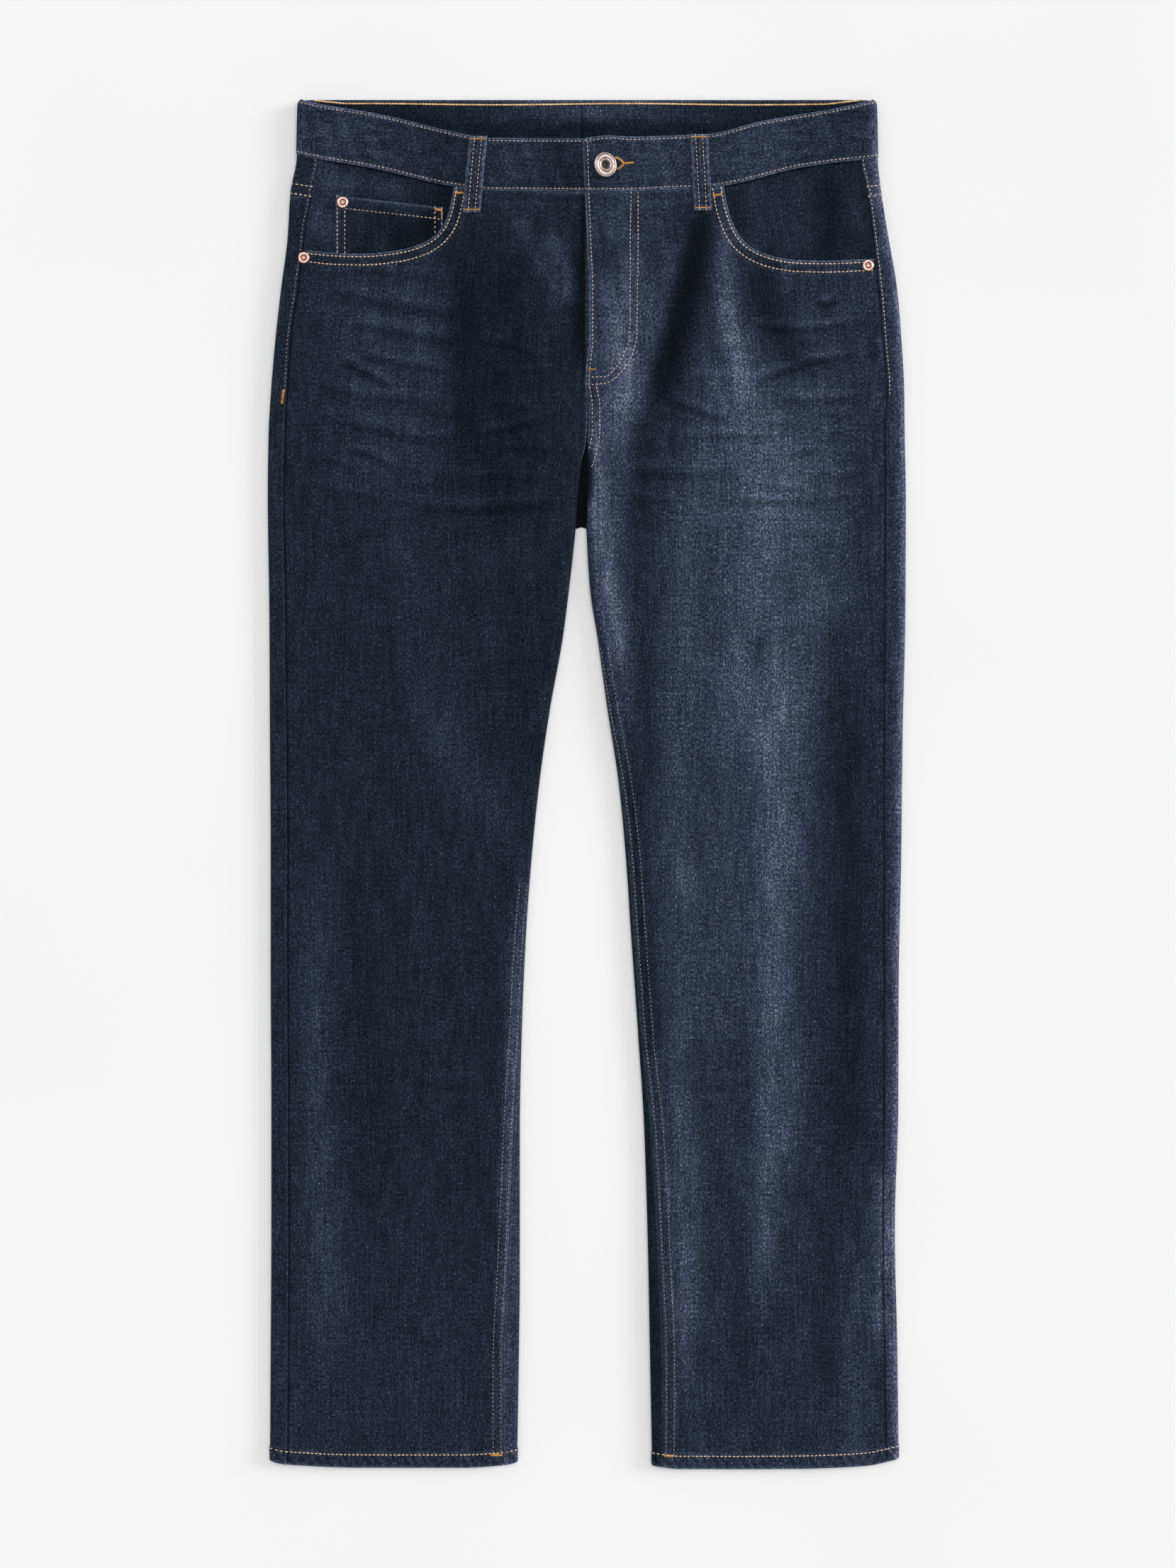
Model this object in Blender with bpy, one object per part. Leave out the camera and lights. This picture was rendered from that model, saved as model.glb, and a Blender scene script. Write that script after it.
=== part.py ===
"""Straight leg jeans, laid out flat on their back.

Metres, +Z up. The waist points to +Y, the front faces up, and the wearer's right leg lies at -X.
The origin is on the surface that the jeans lie on, under the middle of their outline.

Every cloth piece is a wall. Its points come from one cloth surface, the Lay class, which knows the
outline of the folded tube, the height of its top and the folds in it. A point on the cloth is
given by the distance round the cloth from the fold at the outer side of the leg: positive over the
top, negative under the leg. What is sewn on a panel uses the panel's own points, moved out.
"""

import math
from typing import NamedTuple

import bmesh
import bpy
import numpy as np
from mathutils import Matrix, Vector
from mathutils.bvhtree import BVHTree

# ---------------------------------------------------------------- driving dimensions (metres)
CLOTH = 0.0012  # thickness of one layer of denim
SEAM_GAP = 0.0003  # clearance between two pieces that meet
FOLD_RADIUS = 0.0036  # how far the cloth reaches in from the outline while it turns over
QUARTER = FOLD_RADIUS * math.pi / 2  # cloth length in a quarter of that turn
ROLL_WIDTH = 0.024  # how far the crest beside a fold reaches in
FOLD_CALM = 0.030  # creases fade out over this width beside the outer fold
LEG_CREST_FULL = 0.2000  # below this height a crest runs beside the inner folds too
LEG_CREST_NONE = 0.2900
CENTRE_FRONT = 0.0008
CENTRE_BACK = -0.0042

BAND_WIDTH = 0.0425
BAND_THICKNESS = 0.0022
BAND_PROUD = 0.0009  # how far the band stands out from the panels below it
BAND_TOP_BACK = 0.5378
BAND_MIDDLE = BAND_TOP_BACK - BAND_WIDTH / 2
BAND_END = -0.0030  # the left end of the waistband, on top
UNDERLAP_END = 0.0380  # the right end of the waistband, under the left one
LAP_STEP = 0.0030  # the right end steps down under the left one over this length
BAND_EASE = 0.0200  # beside its side folds the back edge of the band meets the front edge
WAIST_LIFT = 0.0016  # the back of the waistband lies this high, on its loops
WAIST_LIFT_FULL = 0.4750
WAIST_LIFT_NONE = 0.4480

HEM_DEPTH = 0.0115
HEM_PROUD = 0.0005
HEM_THICKNESS = 0.0024
HEM_STEP = 0.0016  # length of the step from the leg up to the hem

YOKE_SIDE = 0.4592  # height of the yoke seam at the sides
YOKE_CENTRE = 0.4180  # and at the centre back
CROTCH_END = 0.2014  # where the backs part, under the slit between the legs

POCKET_BAG_DROP = CLOTH + 0.0006  # the facings lie this far below the top of the cloth
POCKET_UNDERLAP = 0.0090  # how far a facing runs on under the front
POCKET_TAIL = 0.0270  # and how far its last edge hangs below the waistband
COIN_THICKNESS = 0.0009
COIN_CLEARANCE = 0.0006  # between the coin pocket and the scoop of the front

BACK_POCKET_LIFT = 0.0014
BACK_POCKET_THICKNESS = 0.0011
BACK_POCKET_WIDTH = 0.150
BACK_POCKET_DEPTH = 0.165
BACK_POCKET_TOP = 0.3900
BACK_POCKET_INNER = 0.0440  # from the centre back to the pocket's inner edge
BACK_POCKET_POINT = 0.0260  # how far the middle of its bottom edge hangs below the corners
BACK_POCKET_TAPER = 0.0040  # how far each side leans in towards the bottom
POCKET_MARGIN = 0.0120  # the back keeps its full lift this far beyond its pocket
POCKET_SLOPE = 0.0120  # and comes down to the surface over this length

LOOP_WIDTH = 0.0143
LOOP_LENGTH = 0.0595
LOOP_THICKNESS = 0.0013
LOOP_ARCH = 0.0007  # how far the middle of a loop stands off the band
LOOP_REACH = 0.0016  # a loop clears the highest cloth within this distance
LOOP_INSET = 0.0010  # from the top of the band to the end of a back loop

FLY_THICKNESS = 0.0008

BUTTON_DIAMETER = 0.0198
BUTTON_TILT = math.radians(26)  # its cap leans towards the wearer's left on its neck
BUTTON_NECK = 0.0034  # radius of the neck, which stands in the buttonhole
BUTTON_STAND = 0.0043  # from the foot of the neck to the middle of the cap's back
RIVET_DIAMETER = 0.0092


# ---------------------------------------------------------------- short tables
class Station(NamedTuple):
    """The outline across the body at one height.

    The edges are the folds as seen from above. A seam value is how far in from its fold the side
    seam lies. fold is the height of the crest beside the folds, lay the height of the middle.
    """

    y: float
    right_edge: float
    right_seam: float
    left_edge: float
    left_seam: float
    fold: float
    lay: float


STATIONS = (
    Station(0.5378, -0.2268, 0.0160, 0.2271, 0.0139, 0.0096, 0.0134),
    Station(0.4917, -0.2280, 0.0174, 0.2282, 0.0139, 0.0094, 0.0128),
    Station(0.4639, -0.2330, 0.0170, 0.2313, 0.0112, 0.0092, 0.0120),
    Station(0.4288, -0.2352, 0.0130, 0.2369, 0.0122, 0.0090, 0.0110),
    Station(0.3899, -0.2402, 0.0131, 0.2435, 0.0144, 0.0088, 0.0102),
    Station(0.3510, -0.2446, 0.0119, 0.2469, 0.0145, 0.0086, 0.0096),
    Station(0.3121, -0.2480, 0.0129, 0.2491, 0.0136, 0.0084, 0.0088),
    Station(0.2732, -0.2502, 0.0132, 0.2496, 0.0153, 0.0082, 0.0078),
    Station(0.2259, -0.2508, 0.0126, 0.2505, 0.0158, 0.0080, 0.0064),
    Station(0.1369, -0.2496, 0.0128, 0.2502, 0.0161, 0.0078, 0.0054),
    Station(0.0396, -0.2491, 0.0132, 0.2480, 0.0142, 0.0076, 0.0048),
    Station(-0.0577, -0.2485, 0.0134, 0.2469, 0.0131, 0.0072, 0.0050),
    Station(-0.1550, -0.2485, 0.0134, 0.2449, 0.0111, 0.0072, 0.0050),
    Station(-0.2523, -0.2480, 0.0136, 0.2446, 0.0110, 0.0070, 0.0050),
    Station(-0.3496, -0.2480, 0.0138, 0.2419, 0.0090, 0.0070, 0.0052),
    Station(-0.4413, -0.2485, 0.0139, 0.2438, 0.0100, 0.0070, 0.0056),
    Station(-0.5347, -0.2491, 0.0139, 0.2449, 0.0092, 0.0070, 0.0062),
)


class LegStation(NamedTuple):
    """The folds at the inner sides of the legs, and how far in from them the inseams lie.

    A negative seam lies round the fold, on the side of the leg that faces down.
    """

    y: float
    right_edge: float
    right_seam: float
    left_edge: float
    left_seam: float


LEG_STATIONS = (
    LegStation(0.3121, CENTRE_FRONT + FOLD_RADIUS, FOLD_RADIUS, CENTRE_FRONT - FOLD_RADIUS, FOLD_RADIUS),
    LegStation(0.2815, 0.0030, 0.0024, -0.0020, 0.0026),
    LegStation(0.2648, 0.0002, 0.0010, -0.0014, 0.0012),
    LegStation(0.2537, -0.0040, 0.0000, 0.0006, 0.0000),
    LegStation(0.2426, -0.0058, -0.0003, 0.0012, -0.0003),
    LegStation(0.2142, -0.0083, -0.0004, 0.0000, -0.0004),
    LegStation(0.2014, -0.0089, -0.0004, -0.0004, -0.0004),
    LegStation(0.1887, -0.0100, 0.0000, 0.0000, 0.0000),
    LegStation(0.1536, -0.0139, 0.0000, 0.0022, 0.0000),
    LegStation(0.1147, -0.0189, 0.0000, 0.0083, 0.0001),
    LegStation(0.0591, -0.0289, 0.0000, 0.0161, 0.0005),
    LegStation(0.0007, -0.0373, 0.0000, 0.0250, 0.0020),
    LegStation(-0.0577, -0.0434, 0.0001, 0.0306, 0.0031),
    LegStation(-0.1160, -0.0478, 0.0009, 0.0345, 0.0032),
    LegStation(-0.1939, -0.0512, 0.0016, 0.0400, 0.0035),
    LegStation(-0.2717, -0.0528, 0.0046, 0.0450, 0.0067),
    LegStation(-0.3885, -0.0528, 0.0098, 0.0484, 0.0096),
    LegStation(-0.4440, -0.0534, 0.0122, 0.0494, 0.0109),
    LegStation(-0.5347, -0.0550, 0.0106, 0.0512, 0.0089),
)


class Mark(NamedTuple):
    """A point on an edge, seen from above."""

    x: float
    y: float


RIGHT_POCKET = (
    Mark(-0.2188, 0.4188),
    Mark(-0.1979, 0.4166),
    Mark(-0.1757, 0.4161),
    Mark(-0.1490, 0.4186),
    Mark(-0.1301, 0.4238),
    Mark(-0.1192, 0.4305),
    Mark(-0.1118, 0.4400),
    Mark(-0.1075, 0.4528),
    Mark(-0.1045, 0.4680),
)
LEFT_POCKET = (
    Mark(0.1073, 0.4688),
    Mark(0.1098, 0.4544),
    Mark(0.1145, 0.4394),
    Mark(0.1218, 0.4272),
    Mark(0.1329, 0.4188),
    Mark(0.1468, 0.4138),
    Mark(0.1635, 0.4111),
    Mark(0.1863, 0.4105),
    Mark(0.2230, 0.4120),
)
BAND_BOTTOM_FRONT = (
    Mark(-0.2290, 0.4945),
    Mark(-0.2118, 0.4903),
    Mark(-0.1651, 0.4819),
    Mark(-0.1045, 0.4683),
    Mark(-0.0712, 0.4647),
    Mark(0.0284, 0.4642),
    Mark(0.0606, 0.4656),
    Mark(0.0984, 0.4675),
    Mark(0.1179, 0.4708),
    Mark(0.1668, 0.4828),
    Mark(0.2290, 0.4912),
)
BAND_TOP_FRONT = (
    Mark(-0.2290, 0.5380),
    Mark(-0.2074, 0.5328),
    Mark(-0.1607, 0.5245),
    Mark(-0.1045, 0.5111),
    Mark(-0.0767, 0.5064),
    Mark(0.0000, 0.5060),
    Mark(0.0445, 0.5075),
    Mark(0.0951, 0.5095),
    Mark(0.1357, 0.5192),
    Mark(0.1913, 0.5289),
    Mark(0.2290, 0.5376),
)
FLY_LEFT = (
    Mark(-0.0017, 0.4633),
    Mark(0.0000, 0.4227),
    Mark(0.0014, 0.3860),
    Mark(0.0014, 0.3493),
    Mark(-0.0011, 0.3232),
    Mark(-0.0015, 0.3126),
)
FLY_RIGHT = (
    Mark(0.0411, 0.4633),
    Mark(0.0411, 0.3527),
    Mark(0.0361, 0.3360),
    Mark(0.0284, 0.3232),
    Mark(0.0211, 0.3171),
    Mark(0.0095, 0.3126),
)
RIGHT_HEM = (
    Mark(-0.2520, -0.5304),
    Mark(-0.2369, -0.5340),
    Mark(-0.1779, -0.5366),
    Mark(-0.0995, -0.5367),
    Mark(-0.0656, -0.5346),
    Mark(-0.0520, -0.5320),
)
LEFT_HEM = (
    Mark(0.0490, -0.5348),
    Mark(0.0756, -0.5376),
    Mark(0.1223, -0.5378),
    Mark(0.1696, -0.5374),
    Mark(0.2163, -0.5354),
    Mark(0.2480, -0.5288),
)
COIN_LEFT = -0.1971
COIN_RIGHT = -0.1129
COIN_TOP_LEFT = 0.4616  # height of its top edge at the left
COIN_TOP_RIGHT = 0.4522

BUTTON_AT = Mark(0.0138, 0.4843)
RIVET_COIN_AT = Mark(-0.1915, 0.4561)
RIVET_RIGHT_AT = Mark(-0.2222, 0.4129)
RIVET_LEFT_AT = Mark(0.2205, 0.4068)
BACK_LOOPS = {"right": -0.1150, "centre": CENTRE_BACK, "left": 0.1066}


class FrontLoop(NamedTuple):
    """A belt loop over the front of the waistband: its upper end, and how far its lower end leans."""

    name: str
    top: Mark
    lean: float


FRONT_LOOPS = (
    FrontLoop("right", Mark(-0.0851, 0.5075), -0.0055),
    FrontLoop("left", Mark(0.0876, 0.5090), 0.0033),
)


class Turning(NamedTuple):
    """A point on a turned profile: its radius as a share of the piece's, and its height."""

    share: float
    height: float


CAP_PROFILE = (
    Turning(0.80, 0.0000),
    Turning(0.97, 0.0007),
    Turning(1.00, 0.0013),
    Turning(0.94, 0.0021),
    Turning(0.80, 0.0025),
    Turning(0.62, 0.0021),
    Turning(0.40, 0.0019),
    Turning(0.30, 0.0023),
    Turning(0.24, 0.0021),
    Turning(0.18, 0.0012),
    Turning(0.00, 0.0010),
)
RIVET_PROFILE = (
    Turning(0.00, 0.0000),
    Turning(0.92, 0.0000),
    Turning(1.00, 0.0004),
    Turning(0.84, 0.0011),
    Turning(0.60, 0.0012),
    Turning(0.42, 0.0007),
    Turning(0.20, 0.0008),
    Turning(0.00, 0.0012),
)


class Fold(NamedTuple):
    """A soft ridge (rise above 0) or trough (below 0) along three points, seen from above."""

    start: tuple
    middle: tuple
    end: tuple
    width: float
    rise: float


FOLDS = (
    # the left leg: a long crown from the hip to the shin, with a trough on each side of it
    Fold((0.1012, 0.4316), (0.1207, 0.2593), (0.1373, 0.1147), 0.032, 0.0024),
    Fold((0.1300, 0.2400), (0.1346, -0.0799), (0.1234, -0.3300), 0.030, 0.0026),
    Fold((0.0762, 0.4316), (0.0623, 0.3260), (0.0428, 0.2259), 0.020, -0.0018),
    Fold((0.0428, 0.2600), (0.0400, 0.0591), (0.0620, -0.2000), 0.018, -0.0008),
    Fold((0.1929, 0.4000), (0.1957, 0.0591), (0.1874, -0.3900), 0.026, -0.0008),
    Fold((0.0600, -0.3200), (0.0640, -0.4300), (0.0660, -0.5600), 0.014, 0.0012),
    Fold((0.1550, -0.3000), (0.1700, -0.4200), (0.1760, -0.5600), 0.026, 0.0010),
    # the right leg: a crest that runs in from the hip to the knee, then crests beside both folds
    Fold((-0.1824, 0.4000), (-0.1712, 0.2815), (-0.1601, 0.1925), 0.030, 0.0016),
    Fold((-0.1640, 0.2300), (-0.1400, 0.1200), (-0.0960, -0.0500), 0.028, 0.0026),
    Fold((-0.1045, 0.4316), (-0.1129, 0.2815), (-0.0990, 0.1500), 0.026, -0.0018),
    Fold((-0.2213, -0.0600), (-0.2210, -0.2600), (-0.2202, -0.4700), 0.014, 0.0014),
    Fold((-0.0700, -0.0800), (-0.0760, -0.3000), (-0.0800, -0.5600), 0.016, 0.0012),
    Fold((-0.1500, -0.1500), (-0.1520, -0.3200), (-0.1450, -0.5600), 0.030, 0.0008),
    # creases that run across the thighs
    Fold((-0.2050, 0.3420), (-0.1750, 0.3230), (-0.1420, 0.3040), 0.011, -0.0013),
    Fold((-0.1950, 0.3560), (-0.1650, 0.3380), (-0.1350, 0.3230), 0.012, 0.0010),
    Fold((-0.2120, 0.2780), (-0.1780, 0.2630), (-0.1450, 0.2500), 0.011, -0.0012),
    Fold((0.0760, 0.3150), (0.0960, 0.3000), (0.1180, 0.2850), 0.012, -0.0011),
    Fold((-0.2450, 0.2200), (-0.1300, 0.2190), (-0.0200, 0.2200), 0.011, -0.0008),
    Fold((0.0150, 0.2190), (0.1200, 0.2180), (0.2400, 0.2210), 0.011, -0.0008),
    Fold((-0.1250, 0.4580), (-0.1100, 0.4500), (-0.0960, 0.4400), 0.012, -0.0010),
)


# ---------------------------------------------------------------- curves and the cloth surface
class Curve:
    """A smooth line through knots, with no overshoot between them."""

    def __init__(self, places, values):
        order = np.argsort(places)
        self.places = np.asarray(places, dtype=float)[order]
        self.values = np.asarray(values, dtype=float)[order]
        steps = np.diff(self.places)
        rises = np.diff(self.values) / steps
        slopes = np.zeros_like(self.values)
        slopes[0] = rises[0]
        slopes[-1] = rises[-1]
        same_way = rises[:-1] * rises[1:] > 0
        mean = 2 * rises[:-1] * rises[1:] / np.where(same_way, rises[:-1] + rises[1:], 1.0)
        slopes[1:-1] = np.where(same_way, mean, 0.0)
        self.slopes = slopes

    def __call__(self, place):
        place = np.clip(place, self.places[0], self.places[-1])
        left = np.clip(np.searchsorted(self.places, place) - 1, 0, len(self.places) - 2)
        step = self.places[left + 1] - self.places[left]
        t = (place - self.places[left]) / step
        rest = 1 - t
        return (
            self.values[left] * (1 + 2 * t) * rest**2
            + self.slopes[left] * step * t * rest**2
            + self.values[left + 1] * (1 + 2 * rest) * t**2
            - self.slopes[left + 1] * step * rest * t**2
        )


def table_curve(table, column):
    """A curve of one column of a table over its y."""
    return Curve([row.y for row in table], [getattr(row, column) for row in table])


def mark_curve(marks):
    """The y of an edge over its x."""
    return Curve([mark.x for mark in marks], [mark.y for mark in marks])


def smooth_step(low, high, value):
    """0 at low, 1 at high, with a soft start and end."""
    t = np.clip((value - low) / (high - low), 0.0, 1.0)
    return t * t * (3 - 2 * t)


def fold_height(fold, x, y):
    """The height that a fold adds at points seen from above."""
    path = np.array([fold.start, fold.middle, fold.end])
    lengths = np.hypot(*np.diff(path, axis=0).T)
    nearest = np.full(np.shape(x), np.inf)
    along = np.zeros(np.shape(x))
    walked = 0.0
    for first, second, length in zip(path[:-1], path[1:], lengths):
        way = (second - first) / length
        reach = np.clip((x - first[0]) * way[0] + (y - first[1]) * way[1], 0.0, length)
        away = np.hypot(x - first[0] - reach * way[0], y - first[1] - reach * way[1])
        closer = away < nearest
        nearest = np.where(closer, away, nearest)
        along = np.where(closer, walked + reach, along)
        walked += length
    share = along / walked
    taper = smooth_step(0.0, 0.25, share) * smooth_step(0.0, 0.25, 1 - share)
    return fold.rise * taper * np.exp(-((nearest / fold.width) ** 2))


def cloth_distance(inset):
    """Distance round the cloth from the outermost line of a fold to a seam seen inset from it."""
    size = np.abs(inset)
    turned = QUARTER * np.arccos(np.clip(1 - size / FOLD_RADIUS, 0.0, 1.0)) / (math.pi / 2)
    return np.sign(inset) * np.where(size > FOLD_RADIUS, QUARTER + size - FOLD_RADIUS, turned)


class Lay:
    """The cloth of one half of the jeans, right or left, as a folded tube lying flat.

    Attributes:
        side: -1 for the wearer's right, at -X, and 1 for the left.
    """

    def __init__(self, name):
        self.name = name
        self.side = -1 if name == "right" else 1
        self.outer_edge = table_curve(STATIONS, f"{name}_edge")
        self.side_seam = table_curve(STATIONS, f"{name}_seam")
        self.fold = table_curve(STATIONS, "fold")
        self.lay = table_curve(STATIONS, "lay")
        self.inner_edge = table_curve(LEG_STATIONS, f"{name}_edge")
        self.inseam = table_curve(LEG_STATIONS, f"{name}_seam")
        self.hem = mark_curve(RIGHT_HEM if name == "right" else LEFT_HEM)

    def top(self, x, y):
        """Height of the upper face of the cloth."""
        in_from_side = self.side * (self.outer_edge(y) - x)
        in_from_leg = self.side * (x - self.inner_edge(y))
        crest = np.exp(-((in_from_side / ROLL_WIDTH) ** 2))
        leg = 1 - smooth_step(LEG_CREST_FULL, LEG_CREST_NONE, y)
        crest = crest + leg * np.exp(-((in_from_leg / ROLL_WIDTH) ** 2))
        height = self.lay(y) + (self.fold(y) - self.lay(y)) * np.minimum(crest, 1.0)
        folds = sum(fold_height(fold, x, y) for fold in FOLDS)
        calm = smooth_step(0.0, FOLD_CALM, in_from_side)
        return height + folds * calm

    def rest(self, x, y):
        """Height of the lower face of the cloth, 0 where it lies on the surface."""
        waist = WAIST_LIFT * smooth_step(WAIST_LIFT_NONE, WAIST_LIFT_FULL, y)
        return np.maximum(waist, self.pocket_lift(x, y))

    def pocket_lift(self, x, y):
        """The back lies over its pocket, which lies on the surface."""
        across = self.side * (x - CENTRE_BACK) - BACK_POCKET_INNER
        along = BACK_POCKET_TOP - y
        reach = POCKET_MARGIN + POCKET_SLOPE
        inner = smooth_step(-reach, -POCKET_MARGIN, across)
        outer = smooth_step(-reach, -POCKET_MARGIN, BACK_POCKET_WIDTH - across)
        top = smooth_step(-reach, -POCKET_MARGIN, along)
        bottom = smooth_step(-reach, -POCKET_MARGIN, BACK_POCKET_DEPTH - along)
        return BACK_POCKET_LIFT * inner * outer * bottom * top

    def width(self, y):
        """From the outer fold to the inner one, seen from above."""
        return self.side * (self.outer_edge(y) - self.inner_edge(y))

    def length_across(self, y):
        """Cloth length over the top from fold to fold."""
        return 2 * QUARTER + self.width(y) - 2 * FOLD_RADIUS

    def point(self, distance, y, depth, open_inside=False):
        """A point of the cloth.

        Args:
            distance: cloth length from the outer fold, positive over the top, negative below.
            y: height on the body.
            depth: how far inside the outer face; negative values lie outside it.
            open_inside: True where the cloth runs on past the centre with no inner fold.

        Returns:
            x, y and z.
        """
        outer = float(self.outer_edge(y))
        span = float(self.length_across(y))
        from_inner = span - abs(distance)
        if abs(distance) <= QUARTER:
            x_edge = outer - self.side * FOLD_RADIUS
            angle = distance / FOLD_RADIUS
            return self.turn(x_edge, y, angle, depth, 1)
        inner = float(self.inner_edge(y))
        if from_inner < -QUARTER and not open_inside:
            # round the inner fold, and on over the top as far as the inseam
            x = inner + self.side * (FOLD_RADIUS - from_inner - QUARTER)
            return x, y, float(self.top(x, y)) - depth
        if from_inner <= QUARTER and not open_inside:
            x_edge = inner + self.side * FOLD_RADIUS
            angle = from_inner / FOLD_RADIUS
            return self.turn(x_edge, y, angle if distance > 0 else -angle, depth, -1)
        x = outer - self.side * (FOLD_RADIUS + abs(distance) - QUARTER)
        if distance > 0:
            return x, y, float(self.top(x, y)) - depth
        return x, y, float(self.rest(x, y)) + depth

    def turn(self, x_edge, y, angle, depth, outward):
        """A point on the half turn of a fold, whose arc starts above and ends below x_edge."""
        high = float(self.top(x_edge, y))
        low = float(self.rest(x_edge, y))
        reach = FOLD_RADIUS - depth
        tall = (high - low) / 2 - depth
        x = x_edge + self.side * outward * reach * math.cos(angle)
        return x, y, (high + low) / 2 + tall * math.sin(angle)

    def distance_at(self, x, y):
        """Cloth length from the outer fold to a place on the top."""
        return self.side * (float(self.outer_edge(y)) - x) - FOLD_RADIUS + QUARTER

    def distance_below(self, x, y):
        """Cloth length from the outer fold to a place on the underside, as a negative value."""
        return -self.distance_at(x, y)


RIGHT = Lay("right")
LEFT = Lay("left")
HALVES = {"right": RIGHT, "left": LEFT}


def top_height(x, y):
    """Height of the upper face of the cloth on either half."""
    return float((RIGHT if x < CENTRE_FRONT else LEFT).top(x, y))


# ---------------------------------------------------------------- materials
def principled(name, colour, roughness, metallic=0.0):
    """A plain Principled material.

    Args:
        name: the material's name.
        colour: linear red, green and blue.
        roughness: 0 to 1.
        metallic: 0 or 1.

    Returns:
        The material.
    """
    material = bpy.data.materials.new(name)
    material.use_nodes = True
    shader = material.node_tree.nodes["Principled BSDF"]
    shader.inputs["Base Color"].default_value = (*colour, 1.0)
    shader.inputs["Roughness"].default_value = roughness
    shader.inputs["Metallic"].default_value = metallic
    material.diffuse_color = (*colour, 1.0)
    return material


def make_materials():
    """The cloths and metals of the jeans."""
    return {
        "denim": principled("dark_indigo_denim", (0.020, 0.029, 0.048), 0.85),
        "facing": principled("unworn_indigo_denim", (0.013, 0.019, 0.034), 0.88),
        "button": principled("antique_silver", (0.52, 0.49, 0.47), 0.38, 1.0),
        "rivet": principled("antique_copper", (0.62, 0.36, 0.30), 0.40, 1.0),
    }


# ---------------------------------------------------------------- meshes
def add_object(name, mesh_builder, material):
    """Makes one object of a bmesh.

    Args:
        name: the object's name.
        mesh_builder: the bmesh, which this frees.
        material: its material.

    Returns:
        The object.
    """
    bmesh.ops.recalc_face_normals(mesh_builder, faces=mesh_builder.faces)
    mesh = bpy.data.meshes.new(name)
    mesh_builder.to_mesh(mesh)
    mesh_builder.free()
    mesh.materials.append(material)
    mesh.shade_smooth()
    mesh.set_sharp_from_angle(angle=math.radians(35))
    thing = bpy.data.objects.new(name, mesh)
    bpy.context.scene.collection.objects.link(thing)
    return thing


def make_wall(name, outside, inside, material):
    """A closed wall between two grids of points, which have the same rows and columns."""
    rows = len(outside)
    columns = len(outside[0])
    wall = bmesh.new()
    outer = [[wall.verts.new(point) for point in row] for row in outside]
    inner = [[wall.verts.new(point) for point in row] for row in inside]
    for i in range(rows - 1):
        for j in range(columns - 1):
            wall.faces.new((outer[i][j], outer[i][j + 1], outer[i + 1][j + 1], outer[i + 1][j]))
            wall.faces.new((inner[i][j], inner[i + 1][j], inner[i + 1][j + 1], inner[i][j + 1]))
    for i in range(rows - 1):
        for j in (0, columns - 1):
            wall.faces.new((outer[i][j], outer[i + 1][j], inner[i + 1][j], inner[i][j]))
    for j in range(columns - 1):
        for i in (0, rows - 1):
            wall.faces.new((outer[i][j], outer[i][j + 1], inner[i][j + 1], inner[i][j]))
    return add_object(name, wall, material)


def make_turned(name, profile, segments, centre, material, tilt=0.0):
    """A turned solid.

    Args:
        name: the object's name.
        profile: radius and height pairs, from the axis below to the axis above.
        segments: how many sides it has.
        centre: the place of its axis at height 0.
        material: its material.
        tilt: how far what lies at height 0 and above leans towards +X.

    Returns:
        The object.
    """
    turned = bmesh.new()
    lean = Matrix.Rotation(tilt, 3, "Y")
    rings = []
    for radius, height in profile:
        sides = segments if radius > 0 else 1
        turns = [2 * math.pi * k / sides for k in range(sides)]
        ring = [Vector((radius * math.cos(turn), radius * math.sin(turn), height)) for turn in turns]
        if height >= 0:
            ring = [lean @ point for point in ring]
        rings.append([turned.verts.new(point) for point in ring])
    for lower, upper in zip(rings[:-1], rings[1:]):
        for k in range(segments):
            after = (k + 1) % segments
            if len(lower) == 1:
                turned.faces.new((lower[0], upper[k], upper[after]))
            elif len(upper) == 1:
                turned.faces.new((lower[k], lower[after], upper[0]))
            else:
                turned.faces.new((lower[k], lower[after], upper[after], upper[k]))
    thing = add_object(name, turned, material)
    thing.location = centre
    return thing


def surface_of(*things):
    """A search tree for the upper faces of finished objects at the origin."""
    vertices = []
    polygons = []
    for thing in things:
        start = len(vertices)
        vertices.extend(vertex.co.copy() for vertex in thing.data.vertices)
        polygons.extend([start + k for k in polygon.vertices] for polygon in thing.data.polygons)
    return BVHTree.FromPolygons(vertices, polygons)


def height_on(surface, x, y):
    """Height of the highest face of a surface under a point."""
    hit = surface.ray_cast(Vector((x, y, 1.0)), Vector((0, 0, -1)))
    return hit[0].z if hit[0] else top_height(x, y)


# ---------------------------------------------------------------- where rows and columns go
def spread(first, last, count):
    """count + 1 places from first to last."""
    return [first + (last - first) * k / count for k in range(count + 1)]


BLOCK_END = 0.3510  # the rows above it follow the pocket and the band, those below run level
THIGH_END = 0.2140
THIGH_ROWS = spread(BLOCK_END, THIGH_END, 8)
CROTCH_ROWS = [CROTCH_END + 0.0008, CROTCH_END - 0.0008, 0.1887]
LEG_ROWS = spread(0.1640, -0.5000, 19)
LEVEL_ROWS = THIGH_ROWS + CROTCH_ROWS + LEG_ROWS
FRONT_BLOCK_ROWS = 5
FRONT_TOP_COLUMNS = 7  # cells of a front between its pocket and the centre front
BACK_BLOCK_ROWS = 5
YOKE_ROWS = 3
FACING_ROWS = 4
COIN_ROWS = 3
FLY_STRAIGHT_ROWS = 8
FLY_ROUND_ROWS = 6
FLY_COLUMNS = 4
LOOP_ROWS = 9
POCKET_CELLS = 4

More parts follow.
